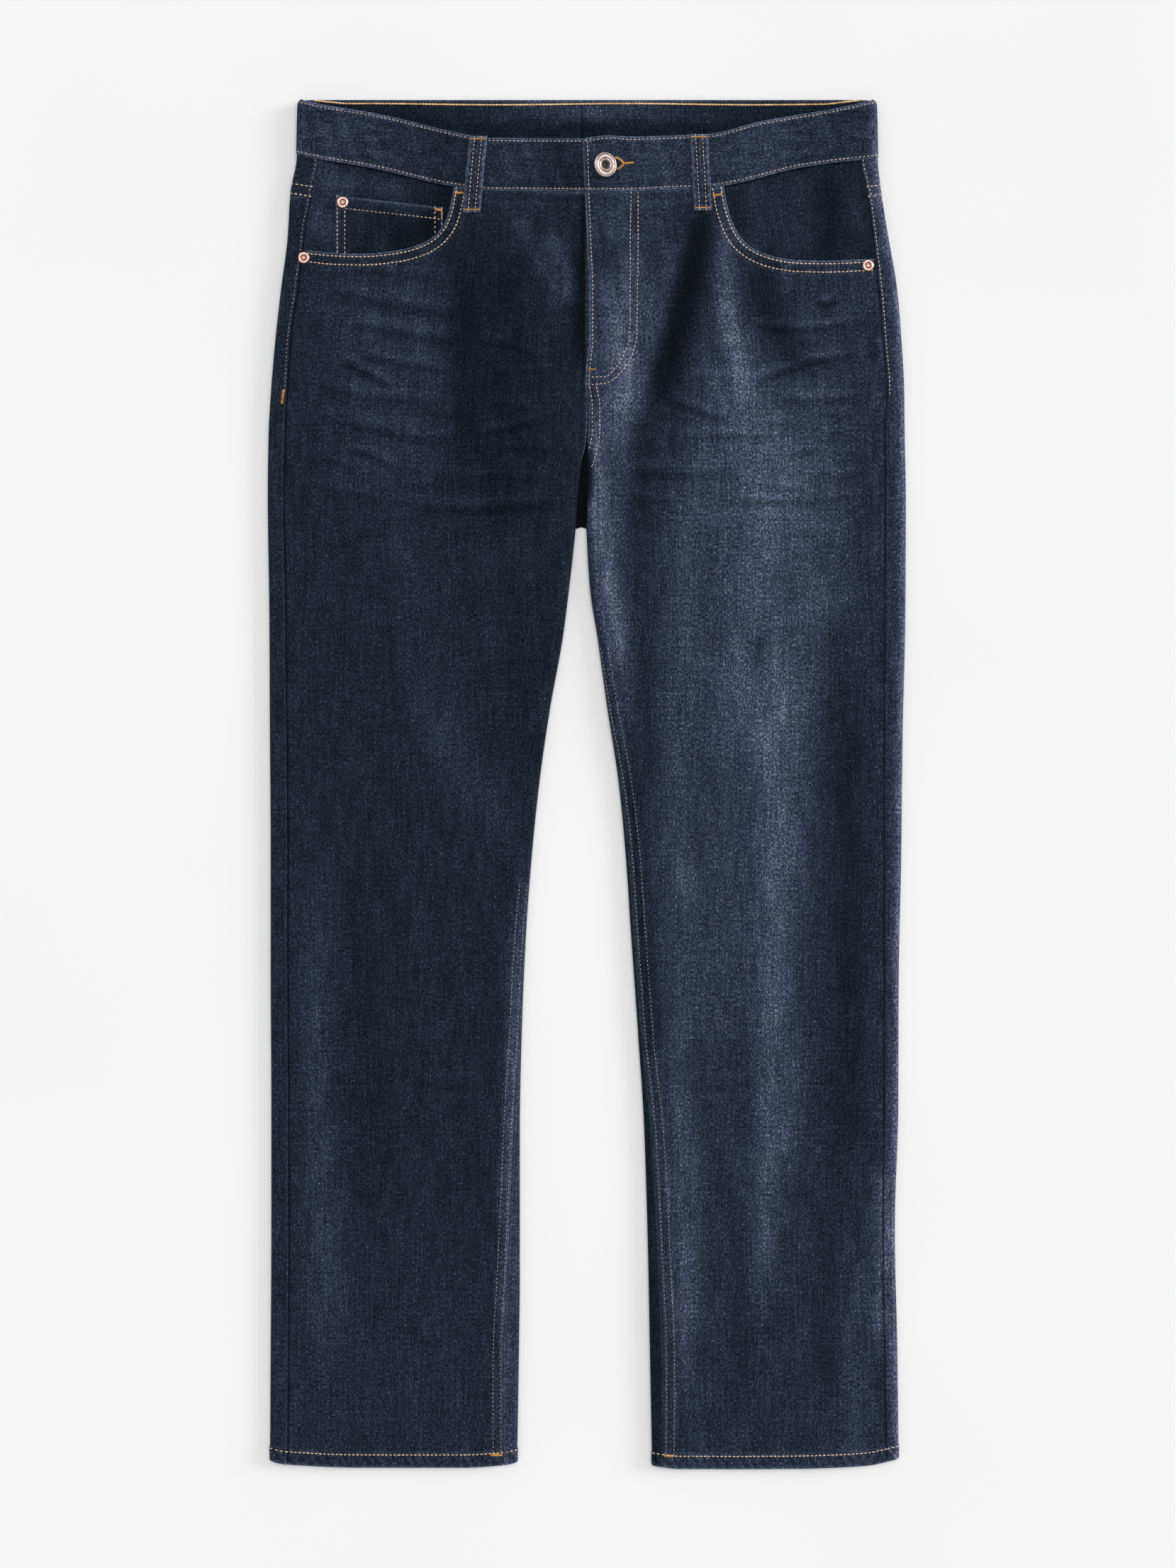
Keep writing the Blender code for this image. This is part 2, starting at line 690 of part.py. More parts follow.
NEAR_SIDE_SEAM = (0.0, 0.006, 0.016)
NEAR_INSEAM = (0.016, 0.0075, 0.0035, 0.0)
BACK_OUTER_TURN = (1.0, 0.6, 0.2, -0.2, -0.6, -1.0)
BACK_CENTRE_STRIP = 0.0170  # the width that the inner columns share beside the centre back
BACK_INNER_COLUMNS = 6  # from there, or from the start of the inner fold, to the back's last edge
BACK_MIDDLE_COLUMNS = 8


def seam_distances(half, y):
    """Cloth lengths from the outer fold to the side seam and to the inseam, over the top."""
    outer = float(cloth_distance(half.side_seam(y)))
    inner = float(half.length_across(y)) - float(cloth_distance(half.inseam(y)))
    return outer + SEAM_GAP / 2, inner - SEAM_GAP / 2


def front_columns(half, y, count):
    """Distances of a front's columns at one height, close together near its seams."""
    outer, inner = seam_distances(half, y)
    columns = [outer + step for step in NEAR_SIDE_SEAM]
    last = inner - NEAR_INSEAM[0]
    middle = spread(columns[-1], last, count - len(NEAR_SIDE_SEAM) - len(NEAR_INSEAM) + 1)
    columns += middle[1:]
    columns += [inner - step for step in NEAR_INSEAM[1:]]
    return columns


def pocket_marks(half):
    """The scoop of a front pocket, from the side seam to the waistband."""
    return RIGHT_POCKET if half.side < 0 else LEFT_POCKET[::-1]


def front_top_xs(half):
    """Columns of a front between its pocket and the centre front, which the waistband shares."""
    return spread(pocket_marks(half)[-1].x, CENTRE_FRONT + half.side * SEAM_GAP / 2, FRONT_TOP_COLUMNS)


def front_top_marks(half):
    """The upper edge of a front from the side seam, down and up the pocket's scoop, to the centre."""
    bottom_of_band = mark_curve(BAND_BOTTOM_FRONT)
    pocket = pocket_marks(half)
    outer, _ = seam_distances(half, pocket[0].y)
    marks = [(half.point(outer, pocket[0].y, 0.0)[0], pocket[0].y)]
    marks += [(mark.x, mark.y) for mark in pocket[1:-1]]
    marks += [(x, float(bottom_of_band(x)) - SEAM_GAP) for x in front_top_xs(half)]
    return marks


def hem_rows(half, x, before):
    """The last rows of a leg: the step of the hem, and its edge."""
    edge = float(half.hem(x))
    fold = edge + HEM_DEPTH
    return [(2 * before + fold) / 3, fold + HEM_STEP / 2, fold - HEM_STEP / 2, edge]


def hem_depths(row_from_end):
    """How deep the faces of the wall lie at a row, counted from the edge of the hem."""
    if row_from_end <= 1:
        return -HEM_PROUD, HEM_THICKNESS - HEM_PROUD
    return 0.0, CLOTH


def make_front(half, material):
    """A front, from the band and the pocket's scoop to the hem."""
    marks = front_top_marks(half)
    count = len(marks)
    block_bottom = [half.point(d, BLOCK_END, 0.0)[0] for d in front_columns(half, BLOCK_END, count)]
    outside = []
    inside = []
    for i in range(FRONT_BLOCK_ROWS):
        share = i / FRONT_BLOCK_ROWS
        upper = []
        lower = []
        for j, (x_top, y_top) in enumerate(marks):
            y = y_top + (BLOCK_END - y_top) * share
            if j == 0:
                outer, _ = seam_distances(half, y)
                x = half.point(outer, y, 0.0)[0]
            elif j == count - 1:
                x = CENTRE_FRONT + half.side * SEAM_GAP / 2
            else:
                x = x_top + (block_bottom[j] - x_top) * share
            z = float(half.top(x, y))
            upper.append((x, y, z))
            lower.append((x, y, z - CLOTH))
        outside.append(upper)
        inside.append(lower)
    for y in LEVEL_ROWS:
        columns = front_columns(half, y, count)
        outside.append([half.point(d, y, 0.0) for d in columns])
        inside.append([half.point(d, y, CLOTH) for d in columns])
    columns = front_columns(half, LEVEL_ROWS[-1], count)
    ends = [hem_rows(half, half.point(d, LEVEL_ROWS[-1], 0.0)[0], LEVEL_ROWS[-1]) for d in columns]
    for k in range(len(ends[0])):
        out_depth, in_depth = hem_depths(len(ends[0]) - 1 - k)
        upper = []
        lower = []
        for j in range(count):
            y = ends[j][k]
            distance = front_columns(half, y, count)[j]
            upper.append(half.point(distance, y, out_depth))
            lower.append(half.point(distance, y, in_depth))
        outside.append(upper)
        inside.append(lower)
    return make_wall(f"front_{half.name}", outside, inside, material)


def back_outer_columns(half, y):
    """Distances of a back's columns round the outer fold, from the side seam to the underside."""
    outer = float(cloth_distance(half.side_seam(y))) - SEAM_GAP / 2
    strip = spread(outer, QUARTER, 2)[:-1]
    return strip + [QUARTER * share for share in BACK_OUTER_TURN]


def back_end(half, y):
    """The last distance of a back at one height: the centre back above the crotch, or the inseam."""
    if y > CROTCH_END:
        centre = CENTRE_BACK + half.side * SEAM_GAP / 2
        return half.distance_below(centre, y), True
    end = float(half.length_across(y)) + float(cloth_distance(half.inseam(y)))
    return -(end - SEAM_GAP / 2), False


def back_columns(half, y):
    """Distances of all of a back's columns at one height, and whether it has no inner fold."""
    end, open_inside = back_end(half, y)
    columns = back_outer_columns(half, y)
    last = end + BACK_CENTRE_STRIP if open_inside else QUARTER - float(half.length_across(y))
    columns += spread(columns[-1], last, BACK_MIDDLE_COLUMNS)[1:]
    columns += spread(last, end, BACK_INNER_COLUMNS)[1:]
    return columns, open_inside


def back_rows_between(half, top_line, bottom_line, count):
    """Rows of a back piece between two lines.

    Args:
        half: the right or left half.
        top_line: a function of a column's share of the way to the centre, giving y.
        bottom_line: the same for the lower line.
        count: how many rows of cells there are.

    Returns:
        The outside and inside grids.
    """
    outside = []
    inside = []
    for i in range(count + 1):
        upper = []
        lower = []
        total = len(back_columns(half, BLOCK_END)[0])
        for j in range(total):
            high = top_line(j)
            y = high + (bottom_line(j) - high) * i / count
            columns, open_inside = back_columns(half, y)
            upper.append(half.point(columns[j], y, 0.0, open_inside))
            lower.append(half.point(columns[j], y, CLOTH, open_inside))
        outside.append(upper)
        inside.append(lower)
    return outside, inside


def yoke_line(half, shift):
    """The yoke seam as a function of a back's column, moved along the body by shift."""
    columns = back_columns(half, YOKE_SIDE)[0]
    turned = len(back_outer_columns(half, YOKE_SIDE))
    flat = columns[turned - 1] - columns[-1]

    def line(j):
        share = max(0.0, (columns[turned - 1] - columns[j]) / flat)
        return YOKE_SIDE + (YOKE_CENTRE - YOKE_SIDE) * share + shift

    return line


def band_bottom_line(half, shift):
    """The lower edge of the waistband as a function of a back's column, level across the back."""
    front = mark_curve(BAND_BOTTOM_FRONT)
    side = float(front(half.outer_edge(BAND_MIDDLE)))

    def line(j):
        distance = back_columns(half, side)[0][j]
        x = half.point(distance, side, 0.0, True)[0]
        return (float(front(x)) if distance > QUARTER else side) + shift

    return line


def make_yoke(half, material):
    """A yoke, between the waistband and the back."""
    top = band_bottom_line(half, -SEAM_GAP)
    bottom = yoke_line(half, SEAM_GAP / 2)
    outside, inside = back_rows_between(half, top, bottom, YOKE_ROWS)
    return make_wall(f"yoke_{half.name}", outside, inside, material)


def make_back(half, material):
    """A back, from the yoke to the hem."""
    outside, inside = back_rows_between(
        half, yoke_line(half, -SEAM_GAP / 2), lambda j: BLOCK_END, BACK_BLOCK_ROWS
    )
    rows = LEVEL_ROWS[1:]
    for y in rows:
        columns, open_inside = back_columns(half, y)
        outside.append([half.point(d, y, 0.0, open_inside) for d in columns])
        inside.append([half.point(d, y, CLOTH, open_inside) for d in columns])
    columns, _ = back_columns(half, rows[-1])
    ends = [hem_rows(half, half.point(d, rows[-1], 0.0)[0], rows[-1]) for d in columns]
    for k in range(len(ends[0])):
        out_depth, in_depth = hem_depths(len(ends[0]) - 1 - k)
        upper = []
        lower = []
        for j in range(len(columns)):
            y = ends[j][k]
            distance = back_columns(half, y)[0][j]
            upper.append(half.point(distance, y, out_depth if distance > 0 else 0.0))
            lower.append(half.point(distance, y, in_depth))
        outside.append(upper)
        inside.append(lower)
    return make_wall(f"back_{half.name}", outside, inside, material)


# ---------------------------------------------------------------- waistband
BAND_ROWS = (0.0, 0.5, 1.0)
BAND_COLUMNS_BACK = 12
BAND_SIDE_LEVEL = STATIONS[1].y  # where the band's side seam is measured


class BandColumn(NamedTuple):
    """A line across the waistband: at an x on its back or front, or at a distance in its turn."""

    kind: str
    place: float


def band_columns(half):
    """A waistband's columns, from the centre back to its end at the centre front."""
    centre = CENTRE_BACK + half.side * SEAM_GAP / 2
    turn_x = float(half.outer_edge(BAND_MIDDLE)) - half.side * BAND_EASE
    columns = [BandColumn("back", x) for x in spread(centre, turn_x, BAND_COLUMNS_BACK)]
    columns += [BandColumn("turn", QUARTER * share) for share in BACK_OUTER_TURN[::-1]]
    front_xs = [half.point(seam_distances(half, BAND_SIDE_LEVEL)[0], BAND_SIDE_LEVEL, 0.0)[0]]
    front_xs += [mark.x for mark in pocket_marks(half)[1:-1]] + front_top_xs(half)[:-1]
    if half.side < 0:
        front_xs += [BAND_END - LAP_STEP, BAND_END]
        front_xs += spread(BAND_END, UNDERLAP_END, 3)[1:]
    else:
        front_xs += [CENTRE_FRONT, BAND_END]
    return columns + [BandColumn("front", x) for x in front_xs]


def band_edges(half, column):
    """The y of the upper and the lower edge of the waistband at a column."""
    on_front = column.place if column.kind == "front" else float(half.outer_edge(BAND_MIDDLE))
    under = 0.0
    if column.kind == "back":
        under = float(smooth_step(0.0, BAND_EASE, half.distance_at(column.place, BAND_MIDDLE)))
    y_top = float(mark_curve(BAND_TOP_FRONT)(on_front))
    y_low = float(mark_curve(BAND_BOTTOM_FRONT)(on_front))
    return y_top + (BAND_TOP_BACK - y_top) * under, y_low


def band_point(half, column, y, depth):
    """A point of the waistband, which stands proud of the panels on the front."""
    distance = column.place
    if column.kind == "back":
        distance = half.distance_below(column.place, y)
    elif column.kind == "front":
        distance = half.distance_at(column.place, y)
    proud = BAND_PROUD * float(smooth_step(-QUARTER, QUARTER, distance))
    x, y, z = half.point(distance, y, depth - proud, True)
    lapped = half.side < 0 and column.kind == "front" and column.place > BAND_END - LAP_STEP / 2
    return x, y, z - (BAND_THICKNESS + SEAM_GAP if lapped else 0.0)


def make_waistband(half, material):
    """Half a waistband, from the centre back round the side to its end at the centre front."""
    outside = []
    inside = []
    for share in BAND_ROWS:
        upper = []
        lower = []
        for column in band_columns(half):
            y_top, y_low = band_edges(half, column)
            y = y_top + (y_low - y_top) * share
            upper.append(band_point(half, column, y, 0.0))
            lower.append(band_point(half, column, y, BAND_THICKNESS))
        outside.append(upper)
        inside.append(lower)
    return make_wall(f"waistband_{half.name}", outside, inside, material)


# ---------------------------------------------------------------- pieces on the panels
def make_facing(half, material):
    """The facing seen in a front pocket's mouth, which runs on under the front."""
    bottom_of_band = mark_curve(BAND_BOTTOM_FRONT)
    pocket = pocket_marks(half)
    scoop = mark_curve(pocket)
    inner_end = pocket[-1].x - half.side * POCKET_UNDERLAP
    outer, _ = seam_distances(half, pocket[0].y)
    start = half.point(outer, pocket[0].y, 0.0)[0]
    xs = [start] + [mark.x for mark in pocket[1:]] + [inner_end]
    outside = []
    inside = []
    for i in range(FACING_ROWS + 1):
        upper = []
        lower = []
        for j, x_low in enumerate(xs):
            y_high = float(bottom_of_band(x_low)) - SEAM_GAP
            y_low = float(scoop(x_low)) - POCKET_UNDERLAP
            if j == len(xs) - 1:
                y_low = y_high + SEAM_GAP - POCKET_TAIL
            y = y_high + (y_low - y_high) * i / FACING_ROWS
            x = x_low
            if j == 0:
                edge, _ = seam_distances(half, y)
                x = half.point(edge, y, 0.0)[0]
            z = float(half.top(x, y)) - POCKET_BAG_DROP
            upper.append((x, y, z))
            lower.append((x, y, z - CLOTH))
        outside.append(upper)
        inside.append(lower)
    return make_wall(f"facing_{half.name}", outside, inside, material)


def make_coin_pocket(facing, material):
    """The coin pocket on the right facing, down to the scoop of the front."""
    surface = surface_of(facing)
    scoop = mark_curve(RIGHT_POCKET)
    xs = [COIN_LEFT] + [mark.x for mark in RIGHT_POCKET if COIN_LEFT < mark.x < COIN_RIGHT] + [COIN_RIGHT]
    outside = []
    inside = []
    for i in range(COIN_ROWS + 1):
        upper = []
        lower = []
        for x in xs:
            across = (x - COIN_LEFT) / (COIN_RIGHT - COIN_LEFT)
            y_high = COIN_TOP_LEFT + (COIN_TOP_RIGHT - COIN_TOP_LEFT) * across
            y_low = float(scoop(x)) + COIN_CLEARANCE
            y = y_high + (y_low - y_high) * i / COIN_ROWS
            z = height_on(surface, x, y) + SEAM_GAP
            upper.append((x, y, z + COIN_THICKNESS))
            lower.append((x, y, z))
        outside.append(upper)
        inside.append(lower)
    return make_wall("coin_pocket", outside, inside, material)


def make_fly(fronts, material):
    """The placket from the waistband down the centre front, with its lower end rounded off."""
    surface = surface_of(*fronts)
    left = Curve([mark.y for mark in FLY_LEFT], [mark.x for mark in FLY_LEFT])
    right = Curve([mark.y for mark in FLY_RIGHT], [mark.x for mark in FLY_RIGHT])
    ys = spread(FLY_RIGHT[0].y, FLY_RIGHT[1].y, FLY_STRAIGHT_ROWS)
    ys += spread(FLY_RIGHT[1].y, FLY_RIGHT[-1].y, FLY_ROUND_ROWS)[1:]
    outside = []
    inside = []
    for y in ys:
        upper = []
        lower = []
        for share in spread(0.0, 1.0, FLY_COLUMNS):
            x = float(left(y)) + (float(right(y)) - float(left(y))) * share
            z = height_on(surface, x, y) + SEAM_GAP
            upper.append((x, y, z + FLY_THICKNESS))
            lower.append((x, y, z))
        outside.append(upper)
        inside.append(lower)
    return make_wall("fly", outside, inside, material)


def make_back_pocket(half, material):
    """A patch pocket with a pointed lower edge, lying on the surface under the back."""
    outside = []
    inside = []
    for down in spread(0.0, 1.0, POCKET_CELLS):
        upper = []
        lower = []
        for across in spread(0.0, 1.0, POCKET_CELLS):
            lean = BACK_POCKET_TAPER * down * (1 - 2 * across)
            x = CENTRE_BACK + half.side * (BACK_POCKET_INNER + BACK_POCKET_WIDTH * across + lean)
            depth = BACK_POCKET_DEPTH - BACK_POCKET_POINT * abs(2 * across - 1)
            y = BACK_POCKET_TOP - depth * down
            upper.append((x, y, 0.0))
            lower.append((x, y, BACK_POCKET_THICKNESS))
        outside.append(upper)
        inside.append(lower)
    return make_wall(f"back_pocket_{half.name}", outside, inside, material)


def highest_near(surface, x, y):
    """Height of the highest face of a surface close to a point."""
    steps = (-LOOP_REACH, 0.0, LOOP_REACH)
    return max(height_on(surface, x + dx, y + dy) for dx in steps for dy in steps)


def make_front_loop(loop, seats, material):
    """A belt loop over the front of the waistband, down onto the panel below it."""
    surface = surface_of(*seats)
    outside = []
    inside = []
    for share in spread(0.0, 1.0, LOOP_ROWS):
        y = loop.top.y - LOOP_LENGTH * share
        upper = []
        lower = []
        for across in (-0.5, 0.0, 0.5):
            x = loop.top.x + loop.lean * share + LOOP_WIDTH * across
            z = highest_near(surface, x, y) + SEAM_GAP + LOOP_ARCH * math.sin(math.pi * share)
            upper.append((x, y, z + LOOP_THICKNESS))
            lower.append((x, y, z))
        outside.append(upper)
        inside.append(lower)
    return make_wall(f"loop_front_{loop.name}", outside, inside, material)


def make_back_loop(name, x_centre, material):
    """A belt loop on the back of the waistband, lying on the surface."""
    outside = []
    inside = []
    xs = (x_centre - LOOP_WIDTH / 2, x_centre + LOOP_WIDTH / 2)
    for share in (0.0, 0.5, 1.0):
        y = BAND_TOP_BACK - LOOP_INSET - LOOP_LENGTH * share
        outside.append([(x, y, 0.0) for x in xs])
        inside.append([(x, y, LOOP_THICKNESS) for x in xs])
    return make_wall(name, outside, inside, material)


def make_button(bands, material):
    """The jeans button: a dished cap with a raised rim, tilted on the neck that carries it."""
    radius = BUTTON_DIAMETER / 2
    seat = height_on(surface_of(*bands), BUTTON_AT.x, BUTTON_AT.y) + SEAM_GAP
    profile = [(0.0, -BUTTON_STAND), (BUTTON_NECK, -BUTTON_STAND), (BUTTON_NECK, 0.0)]
    profile += [(radius * turning.share, turning.height) for turning in CAP_PROFILE]
    centre = (BUTTON_AT.x, BUTTON_AT.y, seat + BUTTON_STAND)
    return make_turned("button", profile, 24, centre, material, BUTTON_TILT)


def make_rivet(name, at, seats, material):
    """A rivet: a low dome with a ring and a dimple."""
    radius = RIVET_DIAMETER / 2
    surface = surface_of(*seats)
    around = [(math.cos(turn), math.sin(turn)) for turn in spread(0.0, 2 * math.pi, 8)[1:]]
    seat = max(height_on(surface, at.x + radius * c, at.y + radius * s) for c, s in around)
    profile = [(radius * turning.share, turning.height) for turning in RIVET_PROFILE]
    return make_turned(name, profile, 16, (at.x, at.y, seat + SEAM_GAP), material)


# ---------------------------------------------------------------- the jeans
def clear_scene():
    """Removes what is in the scene, so that it holds the jeans alone."""
    for thing in list(bpy.data.objects):
        bpy.data.objects.remove(thing, do_unlink=True)


def main():
    """Builds every piece."""
    clear_scene()
    cloths = make_materials()
    denim = cloths["denim"]
    fronts = []
    bands = []
    facings = {}
    for name, half in HALVES.items():
        fronts.append(make_front(half, denim))
        make_back(half, denim)
        make_yoke(half, denim)
        bands.append(make_waistband(half, denim))
        facings[name] = make_facing(half, cloths["facing"])
        make_back_pocket(half, denim)
    coin = make_coin_pocket(facings["right"], cloths["facing"])
    fly = make_fly(fronts, denim)
    upper = bands + fronts + [fly]
    for loop in FRONT_LOOPS:
        make_front_loop(loop, upper, denim)
    for name, x_centre in BACK_LOOPS.items():
        make_back_loop(f"loop_back_{name}", x_centre, denim)
    make_button(bands, cloths["button"])
    make_rivet("rivet_coin", RIVET_COIN_AT, [coin, facings["right"]], cloths["rivet"])
    make_rivet("rivet_pocket_right", RIVET_RIGHT_AT, fronts, cloths["rivet"])
    make_rivet("rivet_pocket_left", RIVET_LEFT_AT, fronts, cloths["rivet"])


main()
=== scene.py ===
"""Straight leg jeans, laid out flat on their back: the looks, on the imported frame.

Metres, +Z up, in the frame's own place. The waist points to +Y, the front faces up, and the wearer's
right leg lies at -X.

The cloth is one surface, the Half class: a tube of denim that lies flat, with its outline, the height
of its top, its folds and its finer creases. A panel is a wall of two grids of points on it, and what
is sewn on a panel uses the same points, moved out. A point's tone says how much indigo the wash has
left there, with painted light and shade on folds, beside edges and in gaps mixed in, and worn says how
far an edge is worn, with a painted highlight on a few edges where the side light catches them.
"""

import logging
import math
from dataclasses import dataclass, field
from enum import Enum, IntEnum
from typing import Callable, NamedTuple, Sequence

import bpy
import numpy as np
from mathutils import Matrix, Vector
from mathutils.bvhtree import BVHTree


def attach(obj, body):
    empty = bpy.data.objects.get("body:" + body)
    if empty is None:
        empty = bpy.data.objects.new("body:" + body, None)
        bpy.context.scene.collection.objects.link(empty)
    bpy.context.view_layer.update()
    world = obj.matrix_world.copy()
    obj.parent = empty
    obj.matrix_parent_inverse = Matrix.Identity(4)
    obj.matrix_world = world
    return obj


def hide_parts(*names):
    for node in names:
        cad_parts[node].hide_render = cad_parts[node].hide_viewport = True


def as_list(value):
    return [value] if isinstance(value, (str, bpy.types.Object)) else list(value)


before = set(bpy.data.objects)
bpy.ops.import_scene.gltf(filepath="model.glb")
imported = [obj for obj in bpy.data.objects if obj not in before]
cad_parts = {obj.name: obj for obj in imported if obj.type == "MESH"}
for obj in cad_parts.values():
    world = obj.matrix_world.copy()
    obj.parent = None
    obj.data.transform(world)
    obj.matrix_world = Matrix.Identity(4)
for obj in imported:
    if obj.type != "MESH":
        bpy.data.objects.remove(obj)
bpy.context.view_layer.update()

LOG = logging.getLogger("jeans")
Array = np.ndarray
Material = bpy.types.Material
Thing = bpy.types.Object
Point2 = tuple[float, float]

# ---------------------------------------------------------------- sizes shared with the solids (metres)
CLOTH = 0.0012  # thickness of one layer of denim
SEAM_GAP = 0.0003  # clearance between two pieces that meet
FOLD_RADIUS = 0.0036  # how far the cloth reaches in from the outline while it turns over
QUARTER = FOLD_RADIUS * math.pi / 2  # cloth length in a quarter of that turn
ROLL_WIDTH = 0.024  # how far the crest beside a fold reaches in
FOLD_CALM = 0.030  # creases fade out over this width beside the outer fold
LEG_CREST_FULL = 0.2000  # below this height a crest runs beside the inner folds too
LEG_CREST_NONE = 0.2900
CENTRE_FRONT = 0.0008
CENTRE_BACK = -0.0042

BAND_WIDTH = 0.0425
BAND_THICKNESS = 0.0022
BAND_PROUD = 0.0009  # how far the band stands out from the panels below it
BAND_TOP_BACK = 0.5378
BAND_MIDDLE = BAND_TOP_BACK - BAND_WIDTH / 2
BAND_END = -0.0030  # the left end of the waistband, on top
UNDERLAP_END = 0.0380  # the right end of the waistband, under the left one
LAP_STEP = 0.0030  # the right end steps down under the left one over this length
BAND_EASE = 0.0200  # beside its side folds the back edge of the band meets the front edge
WAIST_LIFT = 0.0016  # the back of the waistband lies this high, on its loops
WAIST_LIFT_FULL = 0.4750
WAIST_LIFT_NONE = 0.4480

HEM_DEPTH = 0.0115
HEM_PROUD = 0.0005
HEM_THICKNESS = 0.0024
HEM_STEP = 0.0016  # length of the step from the leg up to the hem

YOKE_SIDE = 0.4592  # height of the yoke seam at the sides
YOKE_CENTRE = 0.4180  # and at the centre back
CROTCH_END = 0.2014  # where the backs part, under the slit between the legs
CROTCH_STEP = 0.0008  # rows of the backs lie this far above and below that end
CROTCH_GAP = 0.0040  # and the next ones this far
BLOCK_END = 0.3510  # rows above it follow the pocket and the band, those below run level
LAST_LEVEL = -0.5000  # the last level row; those below it follow the hem
HEM_LEVEL = -0.5300  # where a hem's width is taken
REVERSE_LEVEL = -0.4200  # below it the reverse of a back can be seen in the leg's end

POCKET_BAG_DROP = CLOTH + 0.0006  # the facings lie this far below the top of the cloth
POCKET_UNDERLAP = 0.0090  # how far a facing runs on under the front
POCKET_TAIL = 0.0270  # and how far its last edge hangs below the waistband
COIN_THICKNESS = 0.0009
COIN_CLEARANCE = 0.0006  # between the coin pocket and the scoop of the front

BACK_POCKET_LIFT = 0.0014
BACK_POCKET_THICKNESS = 0.0011
BACK_POCKET_WIDTH = 0.150
BACK_POCKET_DEPTH = 0.165
BACK_POCKET_TOP = 0.3900
BACK_POCKET_INNER = 0.0440  # from the centre back to the pocket's inner edge
BACK_POCKET_POINT = 0.0260  # how far the middle of its bottom edge hangs below the corners
BACK_POCKET_TAPER = 0.0040  # how far each side leans in towards the bottom
POCKET_MARGIN = 0.0120  # the back keeps its full lift this far beyond its pocket
POCKET_SLOPE = 0.0120  # and comes down to the surface over this length

LOOP_WIDTH = 0.0143
LOOP_LENGTH = 0.0595
LOOP_THICKNESS = 0.0013
LOOP_ARCH = 0.0007  # how far the middle of a loop stands off the band
LOOP_REACH = 0.0016  # a loop clears the highest cloth within this distance
LOOP_INSET = 0.0010  # from the top of the band to the end of a back loop

BUTTON_DIAMETER = 0.0198
BUTTON_TILT = math.radians(26)  # its cap leans towards the wearer's left on its neck
BUTTON_STAND = 0.0043  # from the foot of the neck to the middle of the cap's back
RIVET_DIAMETER = 0.0092


# ---------------------------------------------------------------- short tables
class Station(NamedTuple):
    """The outline across the body at one height, with the heights of its crests and its middle."""

    y: float
    right_edge: float
    right_seam: float
    left_edge: float
    left_seam: float
    fold: float
    lay: float


STATIONS = (
    Station(0.5378, -0.2268, 0.0160, 0.2271, 0.0139, 0.0096, 0.0134),
    Station(0.4917, -0.2280, 0.0174, 0.2282, 0.0139, 0.0094, 0.0128),
    Station(0.4639, -0.2330, 0.0170, 0.2313, 0.0112, 0.0092, 0.0120),
    Station(0.4288, -0.2352, 0.0130, 0.2369, 0.0122, 0.0090, 0.0110),
    Station(0.3899, -0.2402, 0.0131, 0.2435, 0.0144, 0.0088, 0.0102),
    Station(0.3510, -0.2446, 0.0119, 0.2469, 0.0145, 0.0086, 0.0096),
    Station(0.3121, -0.2480, 0.0129, 0.2491, 0.0136, 0.0084, 0.0088),
    Station(0.2732, -0.2502, 0.0132, 0.2496, 0.0153, 0.0082, 0.0078),
    Station(0.2259, -0.2508, 0.0126, 0.2505, 0.0158, 0.0080, 0.0064),
    Station(0.1369, -0.2496, 0.0128, 0.2502, 0.0161, 0.0078, 0.0054),
    Station(0.0396, -0.2491, 0.0132, 0.2480, 0.0142, 0.0076, 0.0048),
    Station(-0.0577, -0.2485, 0.0134, 0.2469, 0.0131, 0.0072, 0.0050),
    Station(-0.1550, -0.2485, 0.0134, 0.2449, 0.0111, 0.0072, 0.0050),
    Station(-0.2523, -0.2480, 0.0136, 0.2446, 0.0110, 0.0070, 0.0050),
    Station(-0.3496, -0.2480, 0.0138, 0.2419, 0.0090, 0.0070, 0.0052),
    Station(-0.4413, -0.2485, 0.0139, 0.2438, 0.0100, 0.0070, 0.0056),
    Station(-0.5347, -0.2491, 0.0139, 0.2449, 0.0092, 0.0070, 0.0062),
)


class LegStation(NamedTuple):
    """The folds at the inner sides of the legs, and how far in from them the inseams lie."""

    y: float
    right_edge: float
    right_seam: float
    left_edge: float
    left_seam: float


